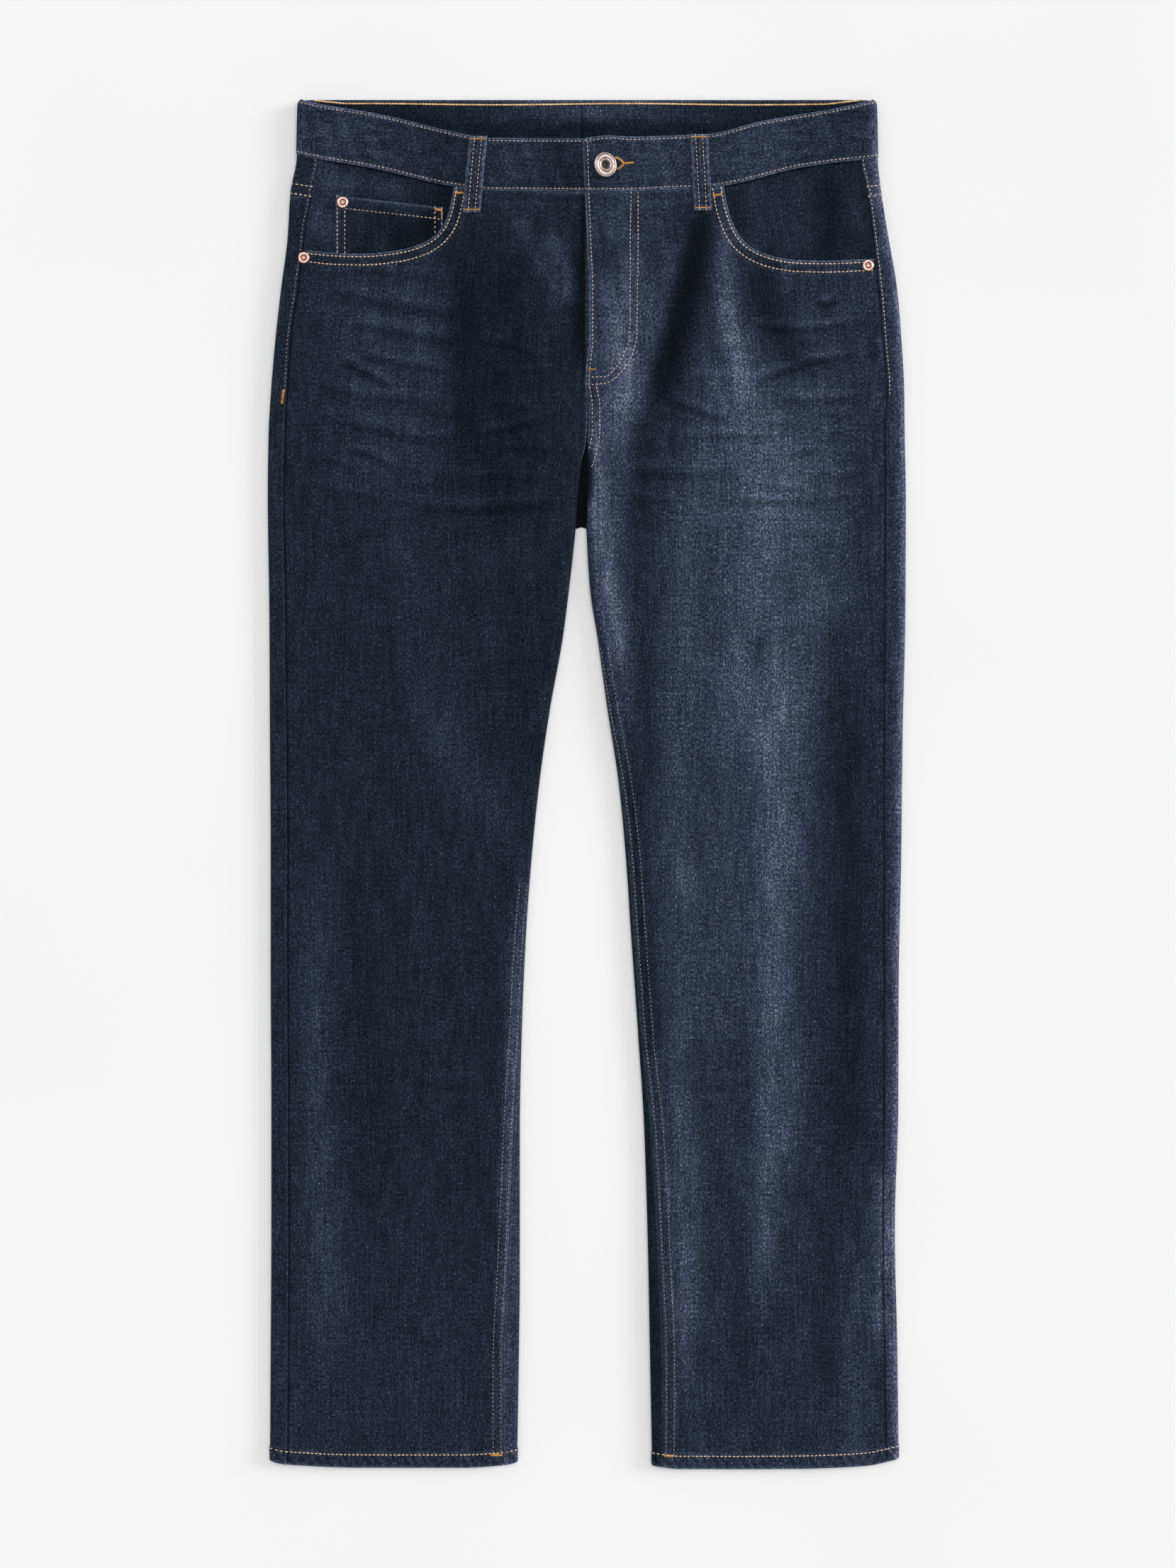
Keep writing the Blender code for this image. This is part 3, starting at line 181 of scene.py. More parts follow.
LEG_STATIONS = (
    LegStation(0.3121, CENTRE_FRONT + FOLD_RADIUS, FOLD_RADIUS, CENTRE_FRONT - FOLD_RADIUS, FOLD_RADIUS),
    LegStation(0.2815, 0.0030, 0.0024, -0.0020, 0.0026),
    LegStation(0.2648, 0.0002, 0.0010, -0.0014, 0.0012),
    LegStation(0.2537, -0.0040, 0.0000, 0.0006, 0.0000),
    LegStation(0.2426, -0.0058, -0.0003, 0.0012, -0.0003),
    LegStation(0.2142, -0.0083, -0.0004, 0.0000, -0.0004),
    LegStation(0.2014, -0.0089, -0.0004, -0.0004, -0.0004),
    LegStation(0.1887, -0.0100, 0.0000, 0.0000, 0.0000),
    LegStation(0.1536, -0.0139, 0.0000, 0.0022, 0.0000),
    LegStation(0.1147, -0.0189, 0.0000, 0.0083, 0.0001),
    LegStation(0.0591, -0.0289, 0.0000, 0.0161, 0.0005),
    LegStation(0.0007, -0.0373, 0.0000, 0.0250, 0.0020),
    LegStation(-0.0577, -0.0434, 0.0001, 0.0306, 0.0031),
    LegStation(-0.1160, -0.0478, 0.0009, 0.0345, 0.0032),
    LegStation(-0.1939, -0.0512, 0.0016, 0.0400, 0.0035),
    LegStation(-0.2717, -0.0528, 0.0046, 0.0450, 0.0067),
    LegStation(-0.3885, -0.0528, 0.0098, 0.0484, 0.0096),
    LegStation(-0.4440, -0.0534, 0.0122, 0.0494, 0.0109),
    LegStation(-0.5347, -0.0550, 0.0106, 0.0512, 0.0089),
)


class Mark(NamedTuple):
    """A point on an edge, seen from above."""

    x: float
    y: float


def marks(*places: Point2) -> tuple[Mark, ...]:
    """The points of an edge, from their x and y."""
    return tuple(Mark(*place) for place in places)


RIGHT_POCKET = marks(
    (-0.2188, 0.4188), (-0.1979, 0.4166), (-0.1757, 0.4161), (-0.1490, 0.4186), (-0.1301, 0.4238),
    (-0.1192, 0.4305), (-0.1118, 0.4400), (-0.1075, 0.4528), (-0.1045, 0.4680),
)
LEFT_POCKET = marks(
    (0.1073, 0.4688), (0.1098, 0.4544), (0.1145, 0.4394), (0.1218, 0.4272), (0.1329, 0.4188),
    (0.1468, 0.4138), (0.1635, 0.4111), (0.1863, 0.4105), (0.2230, 0.4120),
)
BAND_BOTTOM_FRONT = marks(
    (-0.2290, 0.4945), (-0.2118, 0.4903), (-0.1651, 0.4819), (-0.1045, 0.4683), (-0.0712, 0.4647),
    (0.0284, 0.4642), (0.0606, 0.4656), (0.0984, 0.4675), (0.1179, 0.4708), (0.1668, 0.4828),
    (0.2290, 0.4912),
)
BAND_TOP_FRONT = marks(
    (-0.2290, 0.5380), (-0.2074, 0.5328), (-0.1607, 0.5245), (-0.1045, 0.5111), (-0.0767, 0.5064),
    (0.0000, 0.5060), (0.0445, 0.5075), (0.0951, 0.5095), (0.1357, 0.5192), (0.1913, 0.5289),
    (0.2290, 0.5376),
)
FLY_LEFT = marks(
    (-0.0017, 0.4633), (0.0000, 0.4227), (0.0014, 0.3860), (0.0014, 0.3493), (-0.0011, 0.3232),
    (-0.0015, 0.3126),
)
FLY_RIGHT = marks(
    (0.0411, 0.4633), (0.0411, 0.3527), (0.0361, 0.3360), (0.0284, 0.3232), (0.0211, 0.3171),
    (0.0095, 0.3126),
)
RIGHT_HEM = marks(
    (-0.2520, -0.5304), (-0.2369, -0.5340), (-0.1779, -0.5366), (-0.0995, -0.5367), (-0.0656, -0.5346),
    (-0.0520, -0.5320),
)
LEFT_HEM = marks(
    (0.0490, -0.5348), (0.0756, -0.5376), (0.1223, -0.5378), (0.1696, -0.5374), (0.2163, -0.5354),
    (0.2480, -0.5288),
)
COIN_LEFT = -0.1971
COIN_RIGHT = -0.1129
COIN_TOP_LEFT = 0.4616  # height of its top edge at the left
COIN_TOP_RIGHT = 0.4522

BUTTON_AT = Mark(0.0138, 0.4843)
RIVET_COIN_AT = Mark(-0.1915, 0.4561)
RIVET_RIGHT_AT = Mark(-0.2222, 0.4129)
RIVET_LEFT_AT = Mark(0.2205, 0.4068)
BACK_LOOPS = {"right": -0.1150, "centre": CENTRE_BACK, "left": 0.1066}


class FrontLoop(NamedTuple):
    """A belt loop over the front of the waistband: its upper end, and how far its lower end leans."""

    name: str
    top: Mark
    lean: float


FRONT_LOOPS = (
    FrontLoop("right", Mark(-0.0851, 0.5075), -0.0055),
    FrontLoop("left", Mark(0.0876, 0.5090), 0.0033),
)


class Stroke(NamedTuple):
    """A soft line along three points, seen from above, which run towards +X on a whisker."""

    path: tuple[Point2, Point2, Point2]
    width: float
    rise: float = 0.0  # height of its ridge, or of a trough below 0
    tone: float = 0.0  # how much lighter it is, or darker below 0


def folds(*rows: tuple[float, ...]) -> tuple[Stroke, ...]:
    """Soft ridges and troughs, from the x and y of three points, a width and a rise."""
    return tuple(Stroke(three_points(row), row[6], rise=row[7]) for row in rows)


def fades(*rows: tuple[float, ...]) -> tuple[Stroke, ...]:
    """Stretches that are lighter or darker, from three points, a width and a tone: wash fades, and painted
    light and shade on folds and beside edges.
    """
    return tuple(Stroke(three_points(row), row[6], tone=row[7]) for row in rows)


def whiskers(*rows: tuple[float, ...]) -> tuple[Stroke, ...]:
    """Fine creases, from three points, a width, a rise and how far they are faded.

    Each is a trough with a ridge on its upper side. The trough is darker, as painted shade in the crease, and
    the ridge lighter, where the wash has faded it.
    """
    return tuple(Stroke(three_points(row), *row[6:]) for row in rows)


def three_points(row: tuple[float, ...]) -> tuple[Point2, Point2, Point2]:
    """The three points that a row of a table of strokes starts with."""
    return row[0:2], row[2:4], row[4:6]


FOLDS = folds(
    # the left leg: a long crown from the hip to the shin, with a trough on each side of it
    (0.1012, 0.4316, 0.1207, 0.2593, 0.1373, 0.1147, 0.032, 0.0024),
    (0.1300, 0.2400, 0.1346, -0.0799, 0.1234, -0.3300, 0.030, 0.0026),
    (0.0762, 0.4316, 0.0623, 0.3260, 0.0428, 0.2259, 0.020, -0.0018),
    (0.0428, 0.2600, 0.0400, 0.0591, 0.0620, -0.2000, 0.018, -0.0008),
    (0.1929, 0.4000, 0.1957, 0.0591, 0.1874, -0.3900, 0.026, -0.0008),
    (0.0600, -0.3200, 0.0640, -0.4300, 0.0660, -0.5600, 0.014, 0.0012),
    (0.1550, -0.3000, 0.1700, -0.4200, 0.1760, -0.5600, 0.026, 0.0010),
    # the right leg: a crest that runs in from the hip to the knee, then crests beside both folds
    (-0.1824, 0.4000, -0.1712, 0.2815, -0.1601, 0.1925, 0.030, 0.0016),
    (-0.1640, 0.2300, -0.1400, 0.1200, -0.0960, -0.0500, 0.028, 0.0026),
    (-0.1045, 0.4316, -0.1129, 0.2815, -0.0990, 0.1500, 0.026, -0.0018),
    (-0.2213, -0.0600, -0.2210, -0.2600, -0.2202, -0.4700, 0.014, 0.0014),
    (-0.0700, -0.0800, -0.0760, -0.3000, -0.0800, -0.5600, 0.016, 0.0012),
    (-0.1500, -0.1500, -0.1520, -0.3200, -0.1450, -0.5600, 0.030, 0.0008),
    # creases that run across the thighs
    (-0.2050, 0.3420, -0.1750, 0.3230, -0.1420, 0.3040, 0.011, -0.0013),
    (-0.1950, 0.3560, -0.1650, 0.3380, -0.1350, 0.3230, 0.012, 0.0010),
    (-0.2120, 0.2780, -0.1780, 0.2630, -0.1450, 0.2500, 0.011, -0.0012),
    (0.0760, 0.3150, 0.0960, 0.3000, 0.1180, 0.2850, 0.012, -0.0011),
    (-0.2450, 0.2200, -0.1300, 0.2190, -0.0200, 0.2200, 0.011, -0.0008),
    (0.0150, 0.2190, 0.1200, 0.2180, 0.2400, 0.2210, 0.011, -0.0008),
    (-0.1250, 0.4580, -0.1100, 0.4500, -0.0960, 0.4400, 0.012, -0.0010),
)


WHISKERS = whiskers(
    # the right thigh
    (-0.192, 0.404, -0.152, 0.399, -0.110, 0.397, 0.003, 0.00025, 0.05),
    (-0.207, 0.387, -0.160, 0.375, -0.096, 0.367, 0.004, 0.00040, 0.09),
    (-0.199, 0.363, -0.152, 0.353, -0.091, 0.345, 0.004, 0.00040, 0.08),
    (-0.186, 0.338, -0.149, 0.329, -0.102, 0.322, 0.003, 0.00040, 0.09),
    (-0.195, 0.333, -0.173, 0.321, -0.151, 0.308, 0.003, 0.00050, 0.12),
    (-0.219, 0.312, -0.178, 0.303, -0.105, 0.297, 0.004, 0.00030, 0.07),
    (-0.219, 0.287, -0.155, 0.274, -0.096, 0.264, 0.004, 0.00040, 0.07),
    (-0.192, 0.263, -0.174, 0.259, -0.150, 0.247, 0.003, 0.00050, 0.11),
    (-0.152, 0.216, -0.093, 0.214, -0.016, 0.220, 0.004, 0.00040, 0.08),
    (-0.094, 0.273, -0.060, 0.279, -0.024, 0.290, 0.003, 0.00030, 0.07),
    (-0.087, 0.349, -0.060, 0.343, -0.030, 0.330, 0.003, 0.00030, 0.06),
    (-0.149, 0.231, -0.116, 0.235, -0.071, 0.233, 0.004, 0.00020, 0.04),
    (-0.080, 0.297, -0.060, 0.296, -0.034, 0.290, 0.003, 0.00025, 0.05),
    (-0.080, 0.321, -0.052, 0.322, -0.024, 0.325, 0.003, 0.00020, 0.04),
    (-0.148, 0.293, -0.124, 0.291, -0.100, 0.287, 0.003, 0.00020, 0.04),
    (-0.217, 0.256, -0.196, 0.251, -0.172, 0.243, 0.003, 0.00020, 0.04),
    (-0.156, 0.247, -0.100, 0.241, -0.026, 0.239, 0.003, 0.00025, 0.05),
    (-0.223, 0.234, -0.195, 0.229, -0.160, 0.221, 0.003, 0.00025, 0.05),
    (-0.072, 0.263, -0.048, 0.263, -0.020, 0.260, 0.003, 0.00020, 0.04),
    # the left thigh
    (0.121, 0.358, 0.168, 0.355, 0.219, 0.361, 0.003, 0.00050, 0.08),
    (0.126, 0.313, 0.154, 0.323, 0.198, 0.335, 0.003, 0.00050, 0.11),
    (0.060, 0.302, 0.088, 0.292, 0.112, 0.281, 0.003, 0.00060, 0.10),
    (0.146, 0.301, 0.176, 0.300, 0.221, 0.303, 0.003, 0.00030, 0.08),
    (0.062, 0.270, 0.106, 0.272, 0.158, 0.272, 0.003, 0.00030, 0.06),
    (0.156, 0.255, 0.171, 0.260, 0.185, 0.264, 0.003, 0.00030, 0.07),
    (0.021, 0.246, 0.065, 0.241, 0.115, 0.243, 0.004, 0.00030, 0.07),
    (0.179, 0.243, 0.201, 0.240, 0.219, 0.244, 0.003, 0.00030, 0.06),
    (0.100, 0.221, 0.150, 0.221, 0.215, 0.224, 0.003, 0.00040, 0.06),
    (0.137, 0.232, 0.154, 0.230, 0.176, 0.231, 0.003, 0.00020, 0.06),
    (0.179, 0.379, 0.187, 0.375, 0.196, 0.378, 0.003, 0.00050, 0.14),
    (0.222, 0.352, 0.226, 0.340, 0.225, 0.329, 0.003, 0.00060, 0.10),
    (0.149, 0.335, 0.186, 0.332, 0.219, 0.336, 0.003, 0.00030, 0.06),
    (0.135, 0.280, 0.150, 0.282, 0.165, 0.282, 0.003, 0.00020, 0.05),
    (0.092, 0.342, 0.114, 0.342, 0.137, 0.339, 0.003, 0.00020, 0.05),
    (0.092, 0.331, 0.112, 0.330, 0.134, 0.327, 0.003, 0.00020, 0.04),
    (0.078, 0.318, 0.104, 0.318, 0.130, 0.315, 0.003, 0.00020, 0.05),
    (0.030, 0.224, 0.050, 0.222, 0.072, 0.222, 0.003, 0.00020, 0.05),
)


# Lighter and darker stretches of the fronts: wash fades, mixed with painted light and shade on the folds,
# beside the fly and in the slit between the legs.
FADES = fades(
    # the right leg
    (-0.070, 0.460, -0.066, 0.330, -0.058, 0.170, 0.032, -0.09),
    (-0.094, 0.450, -0.097, 0.330, -0.096, 0.220, 0.010, -0.09),
    # painted shadow beside the fly's left edge
    (-0.003, 0.480, -0.001, 0.385, -0.001, 0.300, 0.003, -0.34),
    (-0.062, 0.462, -0.042, 0.422, -0.015, 0.365, 0.009, 0.14),
    (-0.195, 0.430, -0.165, 0.330, -0.150, 0.200, 0.045, 0.10),
    (-0.160, 0.250, -0.137, 0.120, -0.113, 0.010, 0.018, 0.05),
    (-0.128, 0.080, -0.100, 0.005, -0.050, -0.050, 0.018, 0.10),
    (-0.044, 0.190, -0.054, 0.087, -0.062, 0.000, 0.019, -0.04),
    (-0.210, -0.020, -0.213, -0.220, -0.200, -0.500, 0.018, 0.13),
    (-0.180, -0.020, -0.178, -0.200, -0.160, -0.350, 0.018, -0.04),
    (-0.048, -0.020, -0.060, -0.270, -0.062, -0.560, 0.008, 0.27),
    (-0.140, 0.420, -0.130, 0.370, -0.125, 0.300, 0.014, 0.07),
    # the left leg
    # painted highlight along the inner fold
    (0.007, 0.310, 0.009, 0.215, 0.033, 0.060, 0.009, 0.29),
    (0.026, 0.480, 0.030, 0.370, 0.020, 0.240, 0.018, 0.19),
    (0.085, 0.465, 0.060, 0.370, 0.030, 0.270, 0.006, 0.08),
    (0.096, 0.470, 0.078, 0.385, 0.054, 0.290, 0.013, -0.37),
    (0.066, 0.340, 0.045, 0.265, 0.040, 0.180, 0.012, -0.14),
    (0.040, 0.240, 0.046, 0.100, 0.047, -0.050, 0.008, -0.09),
    (0.107, 0.465, 0.109, 0.390, 0.128, 0.280, 0.008, 0.21),
    (0.110, 0.380, 0.135, 0.200, 0.135, 0.000, 0.040, 0.20),
    (0.080, 0.330, 0.076, 0.120, 0.073, -0.130, 0.016, 0.11),
    (0.138, 0.140, 0.146, -0.030, 0.146, -0.220, 0.016, 0.22),
    (0.148, -0.120, 0.143, -0.270, 0.133, -0.440, 0.012, 0.19),
    (0.182, 0.350, 0.188, 0.220, 0.180, 0.080, 0.018, 0.09),
    (0.200, 0.150, 0.207, -0.080, 0.200, -0.380, 0.018, -0.15),
    (0.130, 0.430, 0.142, 0.370, 0.172, 0.310, 0.012, -0.20),
    (0.072, -0.160, 0.071, -0.320, 0.079, -0.520, 0.009, 0.14),
    (0.112, 0.130, 0.110, -0.050, 0.108, -0.230, 0.016, 0.11),
    (0.215, -0.350, 0.212, -0.450, 0.210, -0.560, 0.014, 0.07),
    (0.020, 0.432, 0.019, 0.412, 0.018, 0.394, 0.012, -0.13),
    (0.020, 0.392, 0.018, 0.350, 0.014, 0.320, 0.010, 0.08),
    (-0.032, 0.438, -0.017, 0.408, -0.011, 0.372, 0.007, 0.19),
    # painted shadow beside the fly's left edge, on the right front
    (-0.004, 0.430, -0.006, 0.390, -0.007, 0.320, 0.006, -0.22),
    (0.028, 0.060, 0.043, -0.110, 0.053, -0.250, 0.008, -0.14),
    # painted shade where the slit between the legs begins
    (-0.001, 0.272, 0.0026, 0.246, 0.0020, 0.218, 0.0034, -0.36),
    (0.137, 0.130, 0.138, 0.085, 0.138, 0.040, 0.010, -0.17),
    (0.168, 0.120, 0.166, 0.000, 0.160, -0.120, 0.014, 0.10),
    (0.128, -0.300, 0.122, -0.400, 0.118, -0.510, 0.010, -0.07),
    (0.190, -0.300, 0.188, -0.400, 0.186, -0.510, 0.010, -0.09),
    (0.070, 0.430, 0.058, 0.380, 0.045, 0.330, 0.007, 0.10),
    (0.078, 0.325, 0.073, 0.275, 0.064, 0.220, 0.012, -0.10),
    (0.030, 0.350, 0.031, 0.320, 0.027, 0.285, 0.010, 0.16),
    (0.033, 0.458, 0.032, 0.432, 0.032, 0.410, 0.010, -0.10),
    (0.028, 0.300, 0.026, 0.245, 0.026, 0.170, 0.008, 0.11),
    (0.074, -0.030, 0.077, -0.110, 0.081, -0.230, 0.014, 0.12),
    (0.083, -0.240, 0.084, -0.360, 0.083, -0.460, 0.008, 0.12),
    (0.161, -0.190, 0.160, -0.255, 0.155, -0.320, 0.008, 0.11),
    (0.231, -0.280, 0.231, -0.370, 0.230, -0.460, 0.006, 0.22),
    (0.155, 0.300, 0.156, 0.245, 0.158, 0.180, 0.020, 0.09),
    (0.105, 0.385, 0.106, 0.360, 0.110, 0.335, 0.007, 0.16),
)

FACING_FADES = fades(
    # the right facing and its coin pocket
    (-0.218, 0.540, -0.208, 0.476, -0.205, 0.400, 0.016, 0.18),
    (-0.212, 0.474, -0.165, 0.469, -0.128, 0.462, 0.009, 0.15),
    # painted shadow under the edge of the front's scoop, in these two rows
    (-0.112, 0.480, -0.112, 0.454, -0.122, 0.420, 0.010, -0.14),
    (-0.160, 0.422, -0.134, 0.430, -0.116, 0.448, 0.012, -0.15),
    # the left facing
    (0.128, 0.480, 0.131, 0.450, 0.136, 0.410, 0.009, 0.12),
    (0.146, 0.480, 0.150, 0.450, 0.155, 0.410, 0.009, 0.11),
    (0.166, 0.490, 0.168, 0.450, 0.170, 0.410, 0.010, 0.09),
    (0.189, 0.490, 0.190, 0.450, 0.192, 0.400, 0.009, -0.08),
    # painted highlight near the side seam
    (0.207, 0.490, 0.209, 0.450, 0.212, 0.400, 0.006, 0.06),
)


# how much lighter or darker the waistband is at each x along it
BAND_WASH = (
    (-0.2300, 0.150), (-0.1740, 0.140), (-0.1400, 0.085), (-0.1100, 0.010), (-0.0850, 0.060),
    (-0.0545, 0.125), (-0.0210, 0.020), (0.0200, 0.030), (0.0520, 0.070), (0.1070, 0.040), (0.1370, 0.095),
    (0.1710, 0.030), (0.2010, -0.030),
)


# ---------------------------------------------------------------- curves and the cloth surface
class Side(Enum):
    """The wearer's right, at -X, and left."""

    RIGHT = "right"
    LEFT = "left"


class Curve:
    """A smooth line through knots, with no overshoot between them."""

    def __init__(self, places: Sequence[float], values: Sequence[float]) -> None:
        """Fits the line.

        Args:
            places: where the knots are.
            values: what the line is there.
        """
        order = np.argsort(places)
        self.places = np.asarray(places, dtype=float)[order]
        self.values = np.asarray(values, dtype=float)[order]
        steps = np.diff(self.places)
        rises = np.diff(self.values) / steps
        slopes = np.zeros_like(self.values)
        slopes[0] = rises[0]
        slopes[-1] = rises[-1]
        same_way = rises[:-1] * rises[1:] > 0
        mean = 2 * rises[:-1] * rises[1:] / np.where(same_way, rises[:-1] + rises[1:], 1.0)
        slopes[1:-1] = np.where(same_way, mean, 0.0)
        self.slopes = slopes

    def __call__(self, place: Array | float) -> Array:
        """The line's value at a place, or at each of several."""
        place = np.clip(place, self.places[0], self.places[-1])
        left = np.clip(np.searchsorted(self.places, place) - 1, 0, len(self.places) - 2)
        step = self.places[left + 1] - self.places[left]
        share = (place - self.places[left]) / step
        rest = 1 - share
        return (
            self.values[left] * (1 + 2 * share) * rest**2
            + self.slopes[left] * step * share * rest**2
            + self.values[left + 1] * (1 + 2 * rest) * share**2
            - self.slopes[left + 1] * step * rest * share**2
        )


def table_curve(table: Sequence, column: str) -> Curve:
    """A curve of one column of a table over its y."""
    return Curve([row.y for row in table], [getattr(row, column) for row in table])


def mark_curve(edge: Sequence[Mark]) -> Curve:
    """The y of an edge over its x."""
    return Curve([mark.x for mark in edge], [mark.y for mark in edge])


def edge_curve(edge: Sequence[Mark]) -> Curve:
    """The x of an upright edge over its y."""
    return Curve([mark.y for mark in edge], [mark.x for mark in edge])


def smooth_step(low: float, high: float, value: Array | float) -> Array:
    """0 at low, 1 at high, with a soft start and end."""
    share = np.clip((value - low) / (high - low), 0.0, 1.0)
    return share * share * (3 - 2 * share)


def spread(first: float, last: float, count: int) -> Array:
    """count + 1 places from first to last."""
    return np.linspace(first, last, count + 1)


def bump(offset: Array, width: float = 1.0) -> Array:
    """A soft hump of height 1, which is low beyond its width."""
    return np.exp(-((offset / width) ** 2))


def joined(*parts: Array) -> Array:
    """Grids of numbers as one grid of points, or of four corners."""
    return np.stack(parts, axis=-1)


def path_places(path: Sequence[Point2], x: Array, y: Array) -> tuple[Array, Array, Array]:
    """Where points lie along a path, seen from above.

    Args:
        path: the path's corners.
        x: the points' x.
        y: the points' y.

    Returns:
        The share of the way along the path, the length so far, and how far the point is to its left.
    """
    corners = np.array(path, dtype=float)
    lengths = np.hypot(*np.diff(corners, axis=0).T)
    nearest = np.full(np.shape(x), np.inf)
    along = np.zeros(np.shape(x))
    side = np.ones(np.shape(x))
    walked = 0.0
    for first, second, length in zip(corners[:-1], corners[1:], lengths):
        way = (second - first) / length
        reach = np.clip((x - first[0]) * way[0] + (y - first[1]) * way[1], 0.0, length)
        right = x - first[0] - reach * way[0]
        up = y - first[1] - reach * way[1]
        away = np.hypot(right, up)
        closer = away < nearest
        nearest = np.where(closer, away, nearest)
        along = np.where(closer, walked + reach, along)
        side = np.where(closer, np.where(way[0] * up - way[1] * right < 0, -1.0, 1.0), side)
        walked += length
    return along / walked, along, nearest * side


FAR_OFF = 3.5  # a stroke is left out beyond this many of its widths
TAPER = 0.25  # the share of its length over which it fades out at each end


def add_stroke(total: Array, stroke: Stroke, amount: float, x: Array, y: Array, profile: Callable) -> None:
    """Adds one stroke's share to a grid, where it reaches.

    Args:
        total: the grid that is added to.
        stroke: the stroke.
        amount: how much it adds where its profile is 1.
        x: the grid's x.
        y: the grid's y.
        profile: gives its shape across from the offset to its left, in widths.
    """
    reach = FAR_OFF * stroke.width
    near = np.full(np.shape(x), True)
    for values, places in zip((x, y), zip(*stroke.path)):
        near &= (values > min(places) - reach) & (values < max(places) + reach)
    if near.any():
        share, _, offset = path_places(stroke.path, x[near], y[near])
        taper = smooth_step(0.0, TAPER, share) * smooth_step(0.0, TAPER, 1 - share)
        total[near] += taper * (amount * profile(offset / stroke.width))


def crease_profile(offset: Array) -> Array:
    """Across a whisker: a trough, with a broader ridge on its left."""
    return 0.7 * bump(offset - 1.8, 1.2) - bump(offset)


def fold_relief(x: Array, y: Array) -> Array:
    """Height that the large folds add."""
    total = np.zeros(np.shape(x))
    for fold in FOLDS:
        add_stroke(total, fold, fold.rise, x, y, bump)
    return total


def whisker_relief(x: Array, y: Array, column: str) -> Array:
    """What the whiskers add to the height, or to the tone, as column says."""
    total = np.zeros(np.shape(x))
    for row in WHISKERS:
        add_stroke(total, row, getattr(row, column), x, y, crease_profile)
    return total


def slack(x: Array, y: Array) -> Array:
    """The small unevenness of cloth that lies slack, from -1 to 1."""
    return (
        0.34 * np.sin(117 * x + 61 * y + 2.0 * np.sin(23 * y + 0.4))
        + 0.26 * np.sin(-74 * x + 139 * y + 1.7 * np.sin(41 * x))
        + 0.22 * np.sin(211 * x - 96 * y + 1.1)
        + 0.18 * np.sin(163 * x + 227 * y + 2.0 * np.sin(37 * x + 19 * y))
    )


def pucker(along: Array, pitch: float, phase: float) -> Array:
    """Uneven little waves along a seam, from about -1 to 1."""
    turn = 2 * math.pi * along / pitch
    return 0.6 * np.sin(turn + phase) + 0.4 * np.sin(1.618 * turn + 2.3 * phase + 0.8 * np.sin(0.31 * turn))


SLACK_HEIGHT = 0.00018
PUCKER_HEIGHT = 0.00016
PUCKER_PITCH = 0.0085
PUCKER_REACH = 0.0085
FELL_WIDTH = 0.0088  # the doubled cloth of an inseam, between its two rows of stitches
FELL_HEIGHT = 0.00035


def waving(along: Array, pitch: float, phase: float) -> Array:
    """How strongly a puckered edge is rubbed along its length, from about 0.2 to 1."""
    return 0.6 + 0.4 * pucker(along, pitch, phase)


def seam_step(offset: Array, width: float, height: float) -> Array:
    """The height of a seam's doubled cloth, offset from its edge."""
    inside = smooth_step(-0.0006, 0.0006, offset) * smooth_step(-0.0009, 0.0009, width - offset)
    return height * inside


def cloth_distance(inset: Array | float) -> Array:
    """Distance round the cloth from the outermost line of a fold to a seam seen inset from it."""
    size = np.abs(inset)
    turned = QUARTER * np.arccos(np.clip(1 - size / FOLD_RADIUS, 0.0, 1.0)) / (math.pi / 2)
    return np.sign(inset) * np.where(size > FOLD_RADIUS, QUARTER + size - FOLD_RADIUS, turned)


